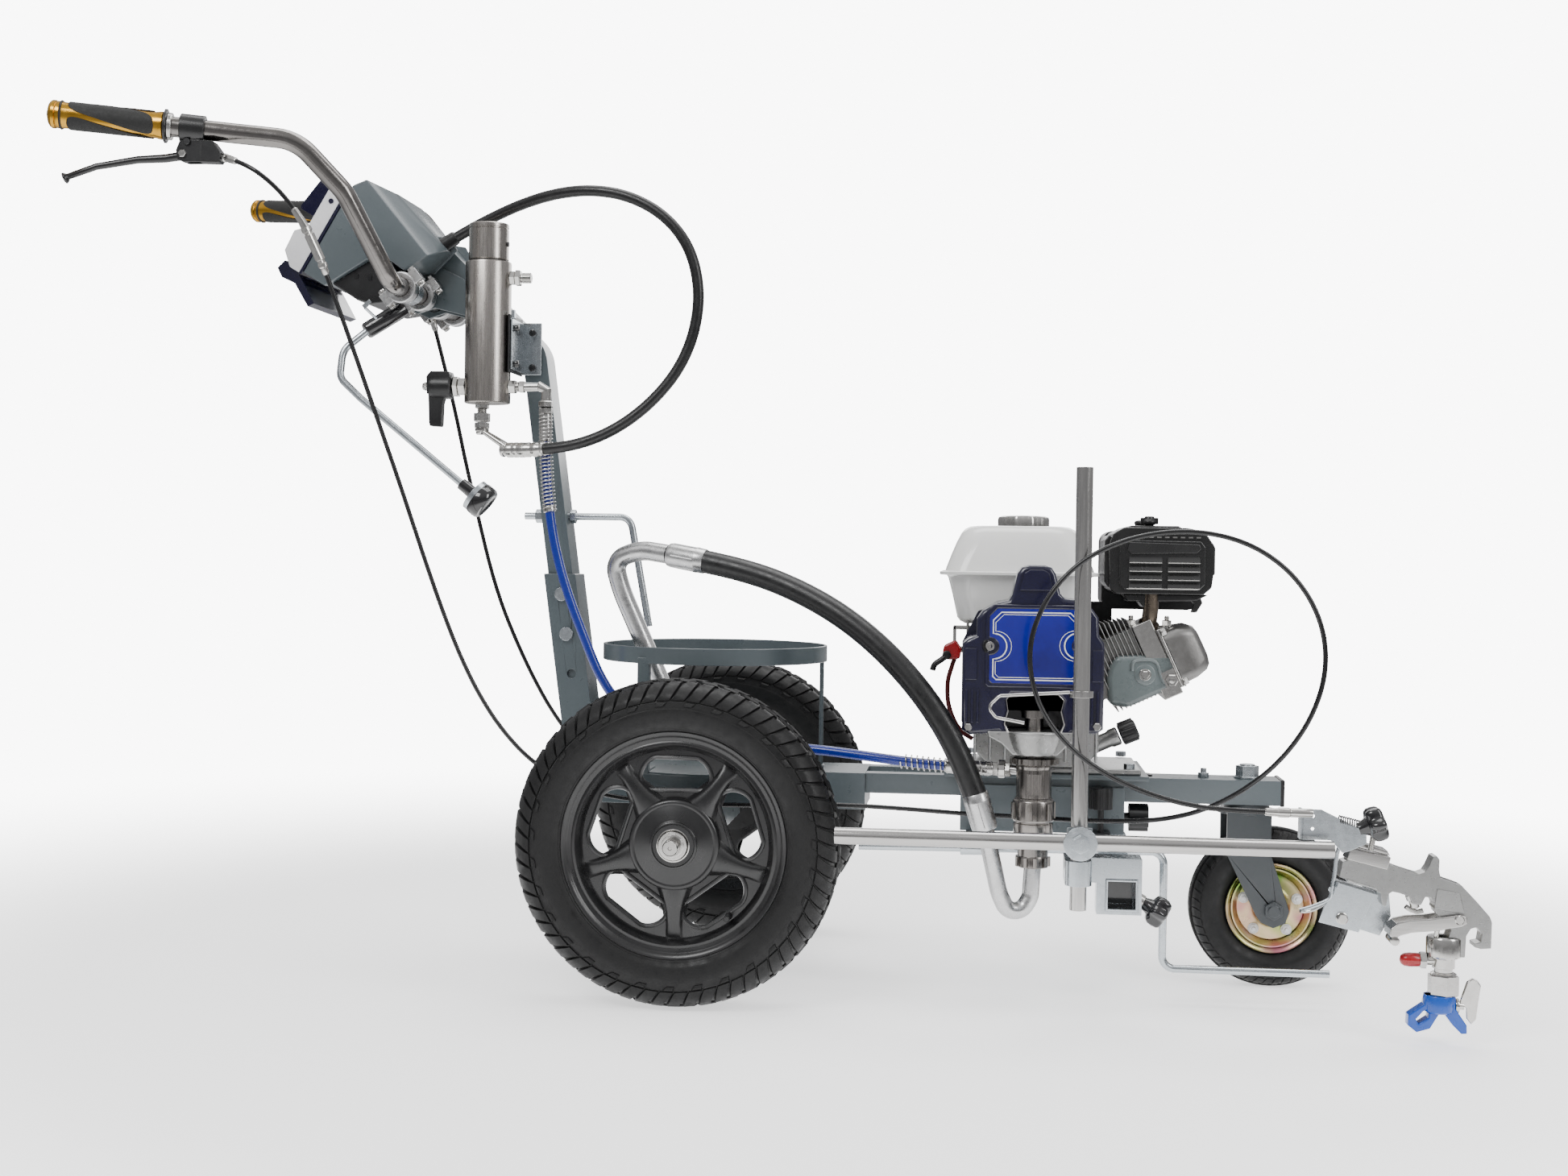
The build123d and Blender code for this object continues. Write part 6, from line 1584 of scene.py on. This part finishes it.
def shield(grow):
    """The face plate's outline, with a scallop round each bolt."""
    left, right, top, low = 391 - grow, 499 + grow, 503 + grow, 416 - grow
    r = 15 - grow
    loop = [(left, low + 4), (left, 459 - r)]
    loop += [(left + 1 + r * math.cos(math.radians(k)), 459 + r * math.sin(math.radians(k)))
             for k in range(-80, 81, 16)]
    loop += [(left, 459 + r), (left, top - 10), (left + 10, top), (right - 10, top),
             (right, top - 10), (right, 461 + r)]
    loop += [(right - 1 - r * math.cos(math.radians(k)), 461 + r * math.sin(math.radians(k)))
             for k in range(80, -81, -16)]
    loop += [(right, 461 - r), (right, low + 4), (right - 4, low), (left + 4, low)]
    return loop


def on_face(shape, y):
    """A plate from cut_plate with its face at a depth, looking to the cart's right."""
    return moved(shape, lambda v: (v.x, y - v.y, v.z))


def make_drive_cover():
    """The drive's cover with its blue face plate, sockets and window."""
    main = on_face(cut_plate(COVER, [WINDOW], 104, 5), -96)
    back = slab([(352, 354), (352, 460), (372, 500), (402, 512), (500, 512), (522, 500),
                 (533, 462), (533, 356)], -88, -98)
    shape = fixed("drive_cover", "navy", main, back, smooth=34)
    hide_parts("drive_housing")
    rim = on_face(cut_plate(shield(9), [shield(3.4)], 5, 1.8), -199)
    hump = slab([(424, 530), (430, 552), (437, 556), (454, 556), (461, 552), (466, 530)], -200,
                -203.5)
    ribs = [brick(358 + 7 * k, 361 + 7 * k, -204, -198, 362, 404) for k in range(3)]
    ribs += [brick(508 + 7 * k, 511 + 7 * k, -204, -198, 362, 404) for k in range(3)]
    cheeks = [brick(357, 372, -203, -198, 416, 456), brick(516, 529, -203, -198, 416, 456)]
    fixed("drive_cover_raised", "navy", rim, hump, *ribs, *cheeks, bevel=1.6, smooth=40)
    fixed("face_plate", "plate_blue", on_face(cut_plate(shield(4), [], 4, 0.8), -199), smooth=34)
    line = [Vector((x, -203.3, z)) for x, z in shield(-1)]
    inner = [Vector((x, -203.3, z)) for x, z in shield(-4)]
    fixed("face_outline", "white", tube(line, 1.0, 6, closed=True),
          tube(inner, 0.5, 6, closed=True), smooth=60)
    sockets, heads = [], []
    for x, z in ((388, 459), (502, 461)):
        sockets.append(lathe((x, -198, z), (x, -205, z),
                             [(0, 10), (5, 10), (6.4, 9), (6.4, 7.6), (3, 7), (3, 1)], 36))
        heads.append(lathe((x, -200, z), (x, -206, z), [(0, 6), (4.4, 6), (5.4, 5.2), (5.4, 3),
                                                        (3, 2.6), (3, 0.4)], 28))
    fixed("cover_sockets", "gloss_black", *sockets, smooth=30)
    fixed("cover_bolts", "nickel", *heads, smooth=30)
    edge = on_face(cut_plate([(445 + (x - 445) * 1.07, 371 + (z - 371) * 1.07) for x, z in WINDOW],
                             [WINDOW], 4, 1.2), -198)
    fixed("window_edge", "nickel", edge, smooth=50)
    # The black sheet behind the window is painted shade for the dim inside of the housing; the
    # axle in front of it is a real part.
    dark = brick(404, 486, -140, -136, 342, 402)
    axle = rounded_rod((446, -137, 392), (446, -196, 392), 5, 0.6)
    fixed("window_back", "gloss_black", dark, axle)
    screws = [hex_nut((x, -200, z), (x, -205, z), 9) for x, z in ((362, 356), (523, 360))]
    fixed("cover_screws", "nickel", *screws, smooth=30)


PUMP_X, PUMP_Y = 446, -180


def make_pump():
    """The pump's head and its stepped cylinder."""
    x, y = PUMP_X, PUMP_Y
    low, high = (x, y, 0), (x, y, 1)
    outline = [(386, 352), (388, 344), (404, 336), (418, 322), (474, 322), (488, 336), (503, 344),
               (505, 352)]
    wings = slab(outline, y + 28, y - 22)
    bowl = lathe(low, high, [(321, 26), (321, 30), (328, 34), (344, 39), (352, 40), (352, 36),
                             (342, 33), (330, 27)], 56, closed=True)
    bolts = [hex_nut((bx, y - 12, 352), (bx, y - 12, 362), 10, 7) for bx in (396, 496)]
    casting = fixed("pump_head", "cast_alu", wings, bowl, bevel=2, smooth=40)
    fixed("pump_head_bolts", "nickel", *bolts, smooth=30)
    cut = lathe(low, high, [(309, 11), (309, 26), (310, 28), (317, 28), (318, 26), (318, 11)], 56,
                closed=True)
    shapes = [cut] + lugs(x, y, 310, 317, 26, 31.6, 11, 7)
    shapes.append(lathe(low, high, [(178, 10), (178, 18), (179, 19.4), (191.4, 19.4), (193, 18.6),
                                    (193, 19.4), (216, 19.4), (218, 24), (220, 25), (234, 25),
                                    (235, 24), (266, 24), (267, 22.4), (300, 22.4), (302, 22),
                                    (304, 22), (306, 22.6), (308, 22.6), (309, 22), (309, 12)],
                        72))
    shapes += lugs(x, y, 179.5, 191.5, 18, 22.6, 9, 7)
    shapes.append(lathe(low, high, [(237, 22), (237, 25), (239, 26.4), (262, 26.4), (264, 25.4),
                                    (265, 24), (265, 22)], 56, closed=True))
    shapes += lugs(x, y, 240, 261, 25, 29, 6, 9, 0.3)
    flat = [brick(x - 9, x + 9, y - 23, y - 21, 272, 298)]
    body = fixed("pump_shell", "gunmetal", *shapes, *flat, smooth=32)
    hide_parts("pump_cylinder")
    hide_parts("pump_casting")


def make_fuel_side():
    """The tank's bracket, the red valve with its lever and the dark red hose on the rear side."""
    bracket = [brick(338, 372, -10, 40, 472, 476), brick(338, 342, -10, 40, 448, 476),
               brick(356, 360, -12, 4, 455, 486)]
    bolt = hex_nut((350, 8, 448), (350, 8, 440), 10, 8)
    fixed("tank_bracket", "nickel", *bracket, bolt, bevel=0.8, smooth=34)
    valve = slab([(326, 450), (342, 458), (350, 446), (348, 432), (332, 430), (324, 438)], -14, 6)
    fixed("fuel_valve", "red", valve, bevel=3, smooth=40)
    lever = tube(curved([(330, -16, 436), (322, -17, 430), (314, -17, 424), (311, -17, 416)], 6),
                 4, 12)
    fixed("fuel_valve_lever", "plastic", lever,
          rounded_rod((330, -12, 437), (330, -20, 437), 6, 1), smooth=50)
    hose = tube(curved([(344, -2, 440), (338, -6, 424), (332, -8, 400), (333, -8, 372),
                        (341, -6, 348), (352, 0, 332), (366, 6, 322)], 8), 3.2, 14)
    fixed("fuel_line", "dark_red", hose, smooth=60)


def make_far_side():
    """The starter's ribs and cord handle and the air cleaner's lid, on the far side."""
    rings = [lathe((CRANK_X, 172, CRANK_Z), (CRANK_X, 175, CRANK_Z),
                   [(0, r), (0, r + 5), (2, r + 4.4), (2, r + 0.6)], 64, closed=True)
             for r in (30, 48, 66)]
    slots = []
    for k in range(24):
        turn = 2 * math.pi * k / 24
        way, over = Vector((math.cos(turn), 0, math.sin(turn))), Vector((-math.sin(turn), 0,
                                                                         math.cos(turn)))
        base = Vector((CRANK_X, 172.2, CRANK_Z))
        ends = [[base + Vector((0, d, 0)) + way * r + over * w for r,
                 w in ((56, -1.6), (64, -1.6), (64, 1.6), (56, 1.6))] for d in (-1, 0.6)]
        slots.append(prism(*ends))
    fixed("starter_rings", "cast_black", *rings, smooth=34)
    fixed("starter_slots", "gloss_black", *slots)
    handle = rounded_rod((440, 134, 492), (470, 134, 492), 6, 2)
    fixed("starter_handle", "plastic", handle, tube([(455, 134, 492), (455, 134, 478)], 1.6, 8),
          smooth=40)
    lid = slab([(552, 524), (560, 516), (666, 516), (674, 524), (674, 588), (660, 602), (566, 602),
                (552, 588)], 214, 217.5)
    knob = lathe((603, 150, 611), (603, 150, 627), [(0, 9), (8, 9.6), (11, 12), (15, 11), (16, 6)],
                 24)
    fixed("cleaner_lid", "plastic", lid, knob, bevel=2, smooth=40)


# ---- gun ---------------------------------------------------------------------------------
GUN_Y = -300


def make_gun():
    """The gun's cast body, its nut, inlet, wing nut and pivot."""
    outline = [(814, 219.5), (838, 218), (860, 215), (878, 209), (894, 204.5), (901, 207.6),
               (905, 214), (910, 226), (914, 227), (917.5, 222), (917, 210), (919, 201),
               (943, 193), (960, 175), (976, 157), (978.5, 150), (978, 119.5), (966, 118.5),
               (959, 120.5), (959, 125), (966, 126.5), (967.5, 137), (961, 144), (954.5, 142),
               (949.5, 133.5), (948.5, 108), (929, 107), (927, 125), (932, 140), (924, 150),
               (914, 160), (911.5, 172), (908, 177), (902, 178), (897, 168), (887.5, 169),
               (884, 177.5), (872, 181.5), (864, 183), (860, 180), (857, 166), (853, 166),
               (850, 181), (828, 189), (802.5, 198.4), (806, 217)]
    body = slab(outline, GUN_Y - 12.5, GUN_Y + 12.5)
    raised = slab([(915, 188), (941, 184), (947, 160), (912, 164)], GUN_Y - 14, GUN_Y + 14)
    rib = slab([(811, 196.5), (846, 186), (847, 184), (812, 193)], GUN_Y - 14, GUN_Y + 14)
    shape = fixed("gun_casting", "cast_alu", body, raised, rib, bevel=3.2, smooth=40, segments=3)
    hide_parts("gun_body")
    x, y = 927, GUN_Y
    low, high = (x, y, 0), (x, y, 1)
    head = lathe(low, high, [(106, 11), (106, 19), (108, 20.6), (128, 20.6), (130, 19.4),
                             (130, 11)], 48, closed=True)
    neck = lathe(low, high, [(84, 8), (84, 10.6), (92, 10.6), (93, 13), (104, 13), (106, 14.4),
                             (107, 14.4), (107, 8)], 48, closed=True)
    needle = rounded_rod((916, y - 8, 128), (919, y - 8, 160), 3, 0.6)
    fixed("gun_neck", "nickel", head, neck, needle, smooth=34)
    nut = hex_nut((x, y, 84), (x, y, 60), 32, 14)
    collar = lathe(low, high, [(80, 10), (80, 16), (86, 15), (88, 12), (88, 9)], 40)
    fixed("gun_nut", "bright", nut, collar, smooth=30)
    inlet = [hex_nut((906, y, 101), (899, y, 101), 18),
             rounded_rod((918, y, 101), (898, y, 101), 5.6, 0.6)]
    fixed("gun_inlet", "nickel", *inlet, smooth=30)
    cap = lathe((899, y, 101), (876, y, 101), [(0, 7.4), (1, 8.2), (12, 8.5), (18, 7.6), (21.4, 5),
                                               (22.6, 1.4)], 32)
    fixed("gun_red_cap", "red", cap, smooth=50)
    post = lathe((890, y, 178), (893, y, 162), [(0, 9), (6, 8), (7, 6), (15, 5.4), (16, 4)], 28)
    wing = tube([(882, y, 164), (888, y, 160), (895, y, 158), (902, y, 160)], 4.2, 16, flat=0.7)
    fixed("gun_wing_nut", "nickel", post, wing, smooth=40)
    pins = [lathe((940, y + s * 12, 153), (940, y + s * 22, 153),
                  [(0, 5.6), (7, 5.6), (8.4, 4.4), (8.4, 0.6)], 28) for s in (-1, 1)]
    fixed("gun_pivot_pin", "nickel", *pins, smooth=40)


def make_trigger():
    """The bright strap round the gun."""
    strap = [(948.5, 157), (949.5, 149), (943, 145), (914, 139), (886, 136), (873, 132),
             (867, 127.5), (861, 131), (862, 140), (871, 147.5), (884, 151), (906, 153),
             (941, 159)]
    sides = [slab(strap, GUN_Y + s * 14.2, GUN_Y + s * 18) for s in (-1, 1)]
    bow = slab([(861, 131), (862, 140), (870, 146.5), (870, 141), (866, 138), (865, 131)],
               GUN_Y - 17, GUN_Y + 17)
    shape = piece("trigger_strap", "trigger", "bright", *sides, bow, bevel=1.4, smooth=44)
    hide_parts("gun_trigger")
    barrel = rounded_rod((867, GUN_Y - 19, 125.5), (867, GUN_Y + 12, 125.5), 5.4, 1)
    piece("trigger_barrel", "trigger", "nickel", barrel, smooth=40)


def make_spray_tip():
    """The tip's guard and its key."""
    wings = [(906, 61), (904, 50), (886, 37), (885.5, 24.5), (895.7, 16.5), (911, 21.5), (924, 44),
             (937, 26.5), (947, 16.5), (953.5, 17), (953, 27), (940, 46), (940, 61)]
    hole = [(903, 42), (911, 45), (909, 34), (898, 26.5), (894.5, 32)]
    flat = on_face(cut_plate(wings, [hole], 18, 1.6), GUN_Y + 9)
    top = lathe((922, GUN_Y, 40), (922, GUN_Y, 61), [(0, 8), (0, 15), (2, 17.4), (18, 18),
                                                     (21, 16.6), (21, 8)], 40, closed=True)
    shape = fixed("spray_guard", "guard_blue", flat, top, smooth=36)
    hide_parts("tip_guard")
    key = [(946, 52), (949, 62), (954, 77), (960, 81.5), (966, 79), (970, 73), (967.5, 55),
           (965, 33), (959.5, 27), (954, 34), (953.5, 46)]
    plate = on_face(cut_plate(key, [], 5, 1.2), GUN_Y + 2.5)
    stem = rounded_rod((908, GUN_Y, 48), (951, GUN_Y, 48), 4.4, 0.8)
    disc = rounded_rod((940.5, GUN_Y, 48), (945, GUN_Y, 48), 9, 1)
    tip = piece("spray_tip_key", "spray_tip", "nickel", plate, stem, disc, smooth=36)
    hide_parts("tip_key")


def make_gun_plates():
    """The folded plates, strap and block that carry the gun."""
    near = GUN_Y - 20
    flag = [(757, 279), (779, 279), (806, 266), (831, 254), (831.5, 240), (812, 231), (804, 228.5),
            (790, 243), (757, 243)]
    holes = [circle(769, 271, 2.4, 20), circle(769, 256, 2.0, 20)]
    upper = on_face(cut_plate(flag, holes, 2.4, 0.5), near)
    fold = brick(755, 758, near - 2.4, near + 16, 243, 279)
    lower = [(798.4, 193), (842.9, 181), (840, 173), (825.3, 134), (778.7, 145), (785, 164),
             (795, 179)]
    side = on_face(cut_plate(lower, [circle(792, 184, 2.6, 20)], 2.6, 0.5), GUN_Y - 14)
    behind = [(836, 183), (867, 174.7), (869.8, 148), (857, 124), (822, 134), (826, 160)]
    far = on_face(cut_plate(behind, [], 2.4, 0.5), GUN_Y + 23)
    ledge = prism(*([(x, GUN_Y + d, z) for x, z in ((800, 193), (846, 180), (844, 174),
                                                    (798, 187))] for d in (-22, 17)))
    shape = fixed("gun_plates", "zinc", upper, fold, side, far, ledge, smooth=34)
    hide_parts("gun_bracket")
    strap = [(808, 253), (803, 240), (799, 226), (797, 205), (794, 186), (790, 172), (772, 163),
             (757, 158)]
    line = curved([(px, GUN_Y - 15, pz) for px, pz in strap], 5)
    fixed("gun_strap", "zinc", tube(line, 2.4, 12), smooth=60)
    wire = curved([(757, near, 158), (764, near + 4, 157), (776, near + 8, 160),
                   (792, near + 10, 170)], 6)
    fixed("gun_bail", "nickel", tube(wire, 2, 10), smooth=60)
    block = [(814, 234), (861, 224), (857, 209), (810, 220)]
    top = [(815, 242), (857, 232), (861, 225), (813, 236)]
    fixed("gun_block", "bright", slab(block, GUN_Y - 17, GUN_Y + 12),
          slab(top, GUN_Y - 12, GUN_Y + 14), bevel=1.2)
    bolt = hex_nut((805.6, GUN_Y - 16, 150.4), (805.6, GUN_Y - 25, 150.4), 11, 7)
    stud = threads((836, GUN_Y - 22, 232), (839, GUN_Y - 22, 250), 3.6)
    rod_end = rounded_rod((742, GUN_Y - 28, 275), (768, GUN_Y - 28, 275), 5.4, 0.8)
    fixed("gun_plate_bolts", "nickel", bolt, stud, rod_end, smooth=30)
    coil = []
    for k in range(121):
        turn = 2 * math.pi * k / 10
        coil.append(Vector((800 + 0.26 * k, near + 4.6 * math.cos(turn), 268 - 0.06 * k
                            + 4.6 * math.sin(turn))))
    fixed("gun_spring", "gloss_black", tube(coil, 0.8, 6), smooth=60)


def make_gun_knob():
    """The hand knob over the gun's plates."""
    way = Vector((28, 0, 10)).normalized()
    middle = Vector((832, GUN_Y - 22, 260.6))
    knob = lobed(middle, way, 22, 20, 6)
    hub = lathe(middle - way * 11, middle + way * 1, [(0, 7), (4, 8), (10, 11), (12, 12)], 28)
    shape = piece("gun_knob_black", "knob_gun", "gloss_black", knob, hub, smooth=44)
    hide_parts("gun_knob")


def lobed(middle, way, radius, height, lobes):
    """A hand knob with rounded lobes, standing on a point and facing a direction."""
    way, side, up = ring_frame(way)
    rows = []
    for level, share in ((0, 0.62), (2, 0.86), (5, 0.97), (height * 0.5, 1.0), (height - 4, 0.97),
                         (height - 1.4, 0.88), (height, 0.72)):
        loop = []
        for k in range(96):
            turn = 2 * math.pi * k / 96
            reach = radius * share * (0.9 + 0.1 * math.cos(lobes * turn))
            loop.append(Vector(middle) + way * level + side * reach * math.cos(turn)
                        + up * reach * math.sin(turn))
        rows.append(loop)
    return stack(rows)


# ---- small pieces of the frame -----------------------------------------------------------
def make_frame_bits():
    """The front beam's end cap and plug."""
    end = brick(776, 781.5, -30.5, 30.5, 243.6, 279.6)
    fixed("beam_end_cap", "plastic", end, bevel=1.6)
    plug = lathe((598, 0, 278), (598, 0, 281), [(0, 12), (2, 12), (3, 10)], 32)
    fixed("beam_plug", "plastic", plug, smooth=34)


def make_arm_bits():
    """The arm's hand knob with its collar, and a black panel inside the square arm that is painted
    shade.
    """
    a, b = Vector((572, -280, 158)), Vector((592, -280, 146))
    way = (b - a).normalized()
    knob = lobed(a + way * 16, way, 20, 21, 6)
    hub = lathe(a + way * 6, a + way * 18, [(0, 7), (3, 8), (9, 10), (12, 13)], 28)
    shape = piece("arm_knob_black", "knob_arm", "gloss_black", knob, hub, smooth=44)
    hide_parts("arm_knob")
    collar = lathe(a - way * 2, a + way * 7, [(0, 7), (1, 8.4), (7, 8.4), (8, 7.4), (8, 2)], 28)
    fixed("arm_stud_collar", "nickel", collar, smooth=40)
    # A gloss-black panel inside the open square arm: painted shade where the tube's inside would
    # otherwise show the floor.
    fixed("arm_inside", "gloss_black", brick(534, 566, -262, -254, 150, 182))


def make_pump_stub():
    """The fitting's last step into the pump's shell."""
    y, z = BLUE_END[1], BLUE_END[2]
    stub = lathe((404, y, z), (428, y - 10, z), [(0, 5), (1, 7.2), (14, 7.2), (15, 6), (27, 6)],
                 28)
    nut = hex_nut((410.5, y - 2, z), (418, y - 4, z), 17, 9)
    fixed("pump_outlet_stub", "nickel", stub, nut, smooth=32)


def make_all():
    """Every shown piece except the cords."""
    for side in (-1, 1):
        rear_tyre(side)
        rear_rim(side)
    make_rear_axle_ends()
    front_wheel()
    make_grips()
    make_lever()
    make_clamps()
    make_control_hood()
    make_control_panel()
    make_control_pan()
    make_filter()
    make_fittings()
    make_filter_bracket()
    make_hose_ends()
    make_drain_lever()
    make_bent_rod_parts()
    make_tank()
    make_engine_case()
    make_cylinder()
    make_muffler()
    make_drive_cover()
    make_pump()
    make_fuel_side()
    make_far_side()
    make_gun()
    make_trigger()
    make_spray_tip()
    make_gun_plates()
    make_gun_knob()
    make_frame_bits()
    make_arm_bits()
    make_pump_stub()


make_materials()
make_camera()
make_stage()
finish_nodes()
make_all()
make_black_hose()
make_blue_hose()
make_siphon_hose()
make_trigger_cable()
make_second_cable()
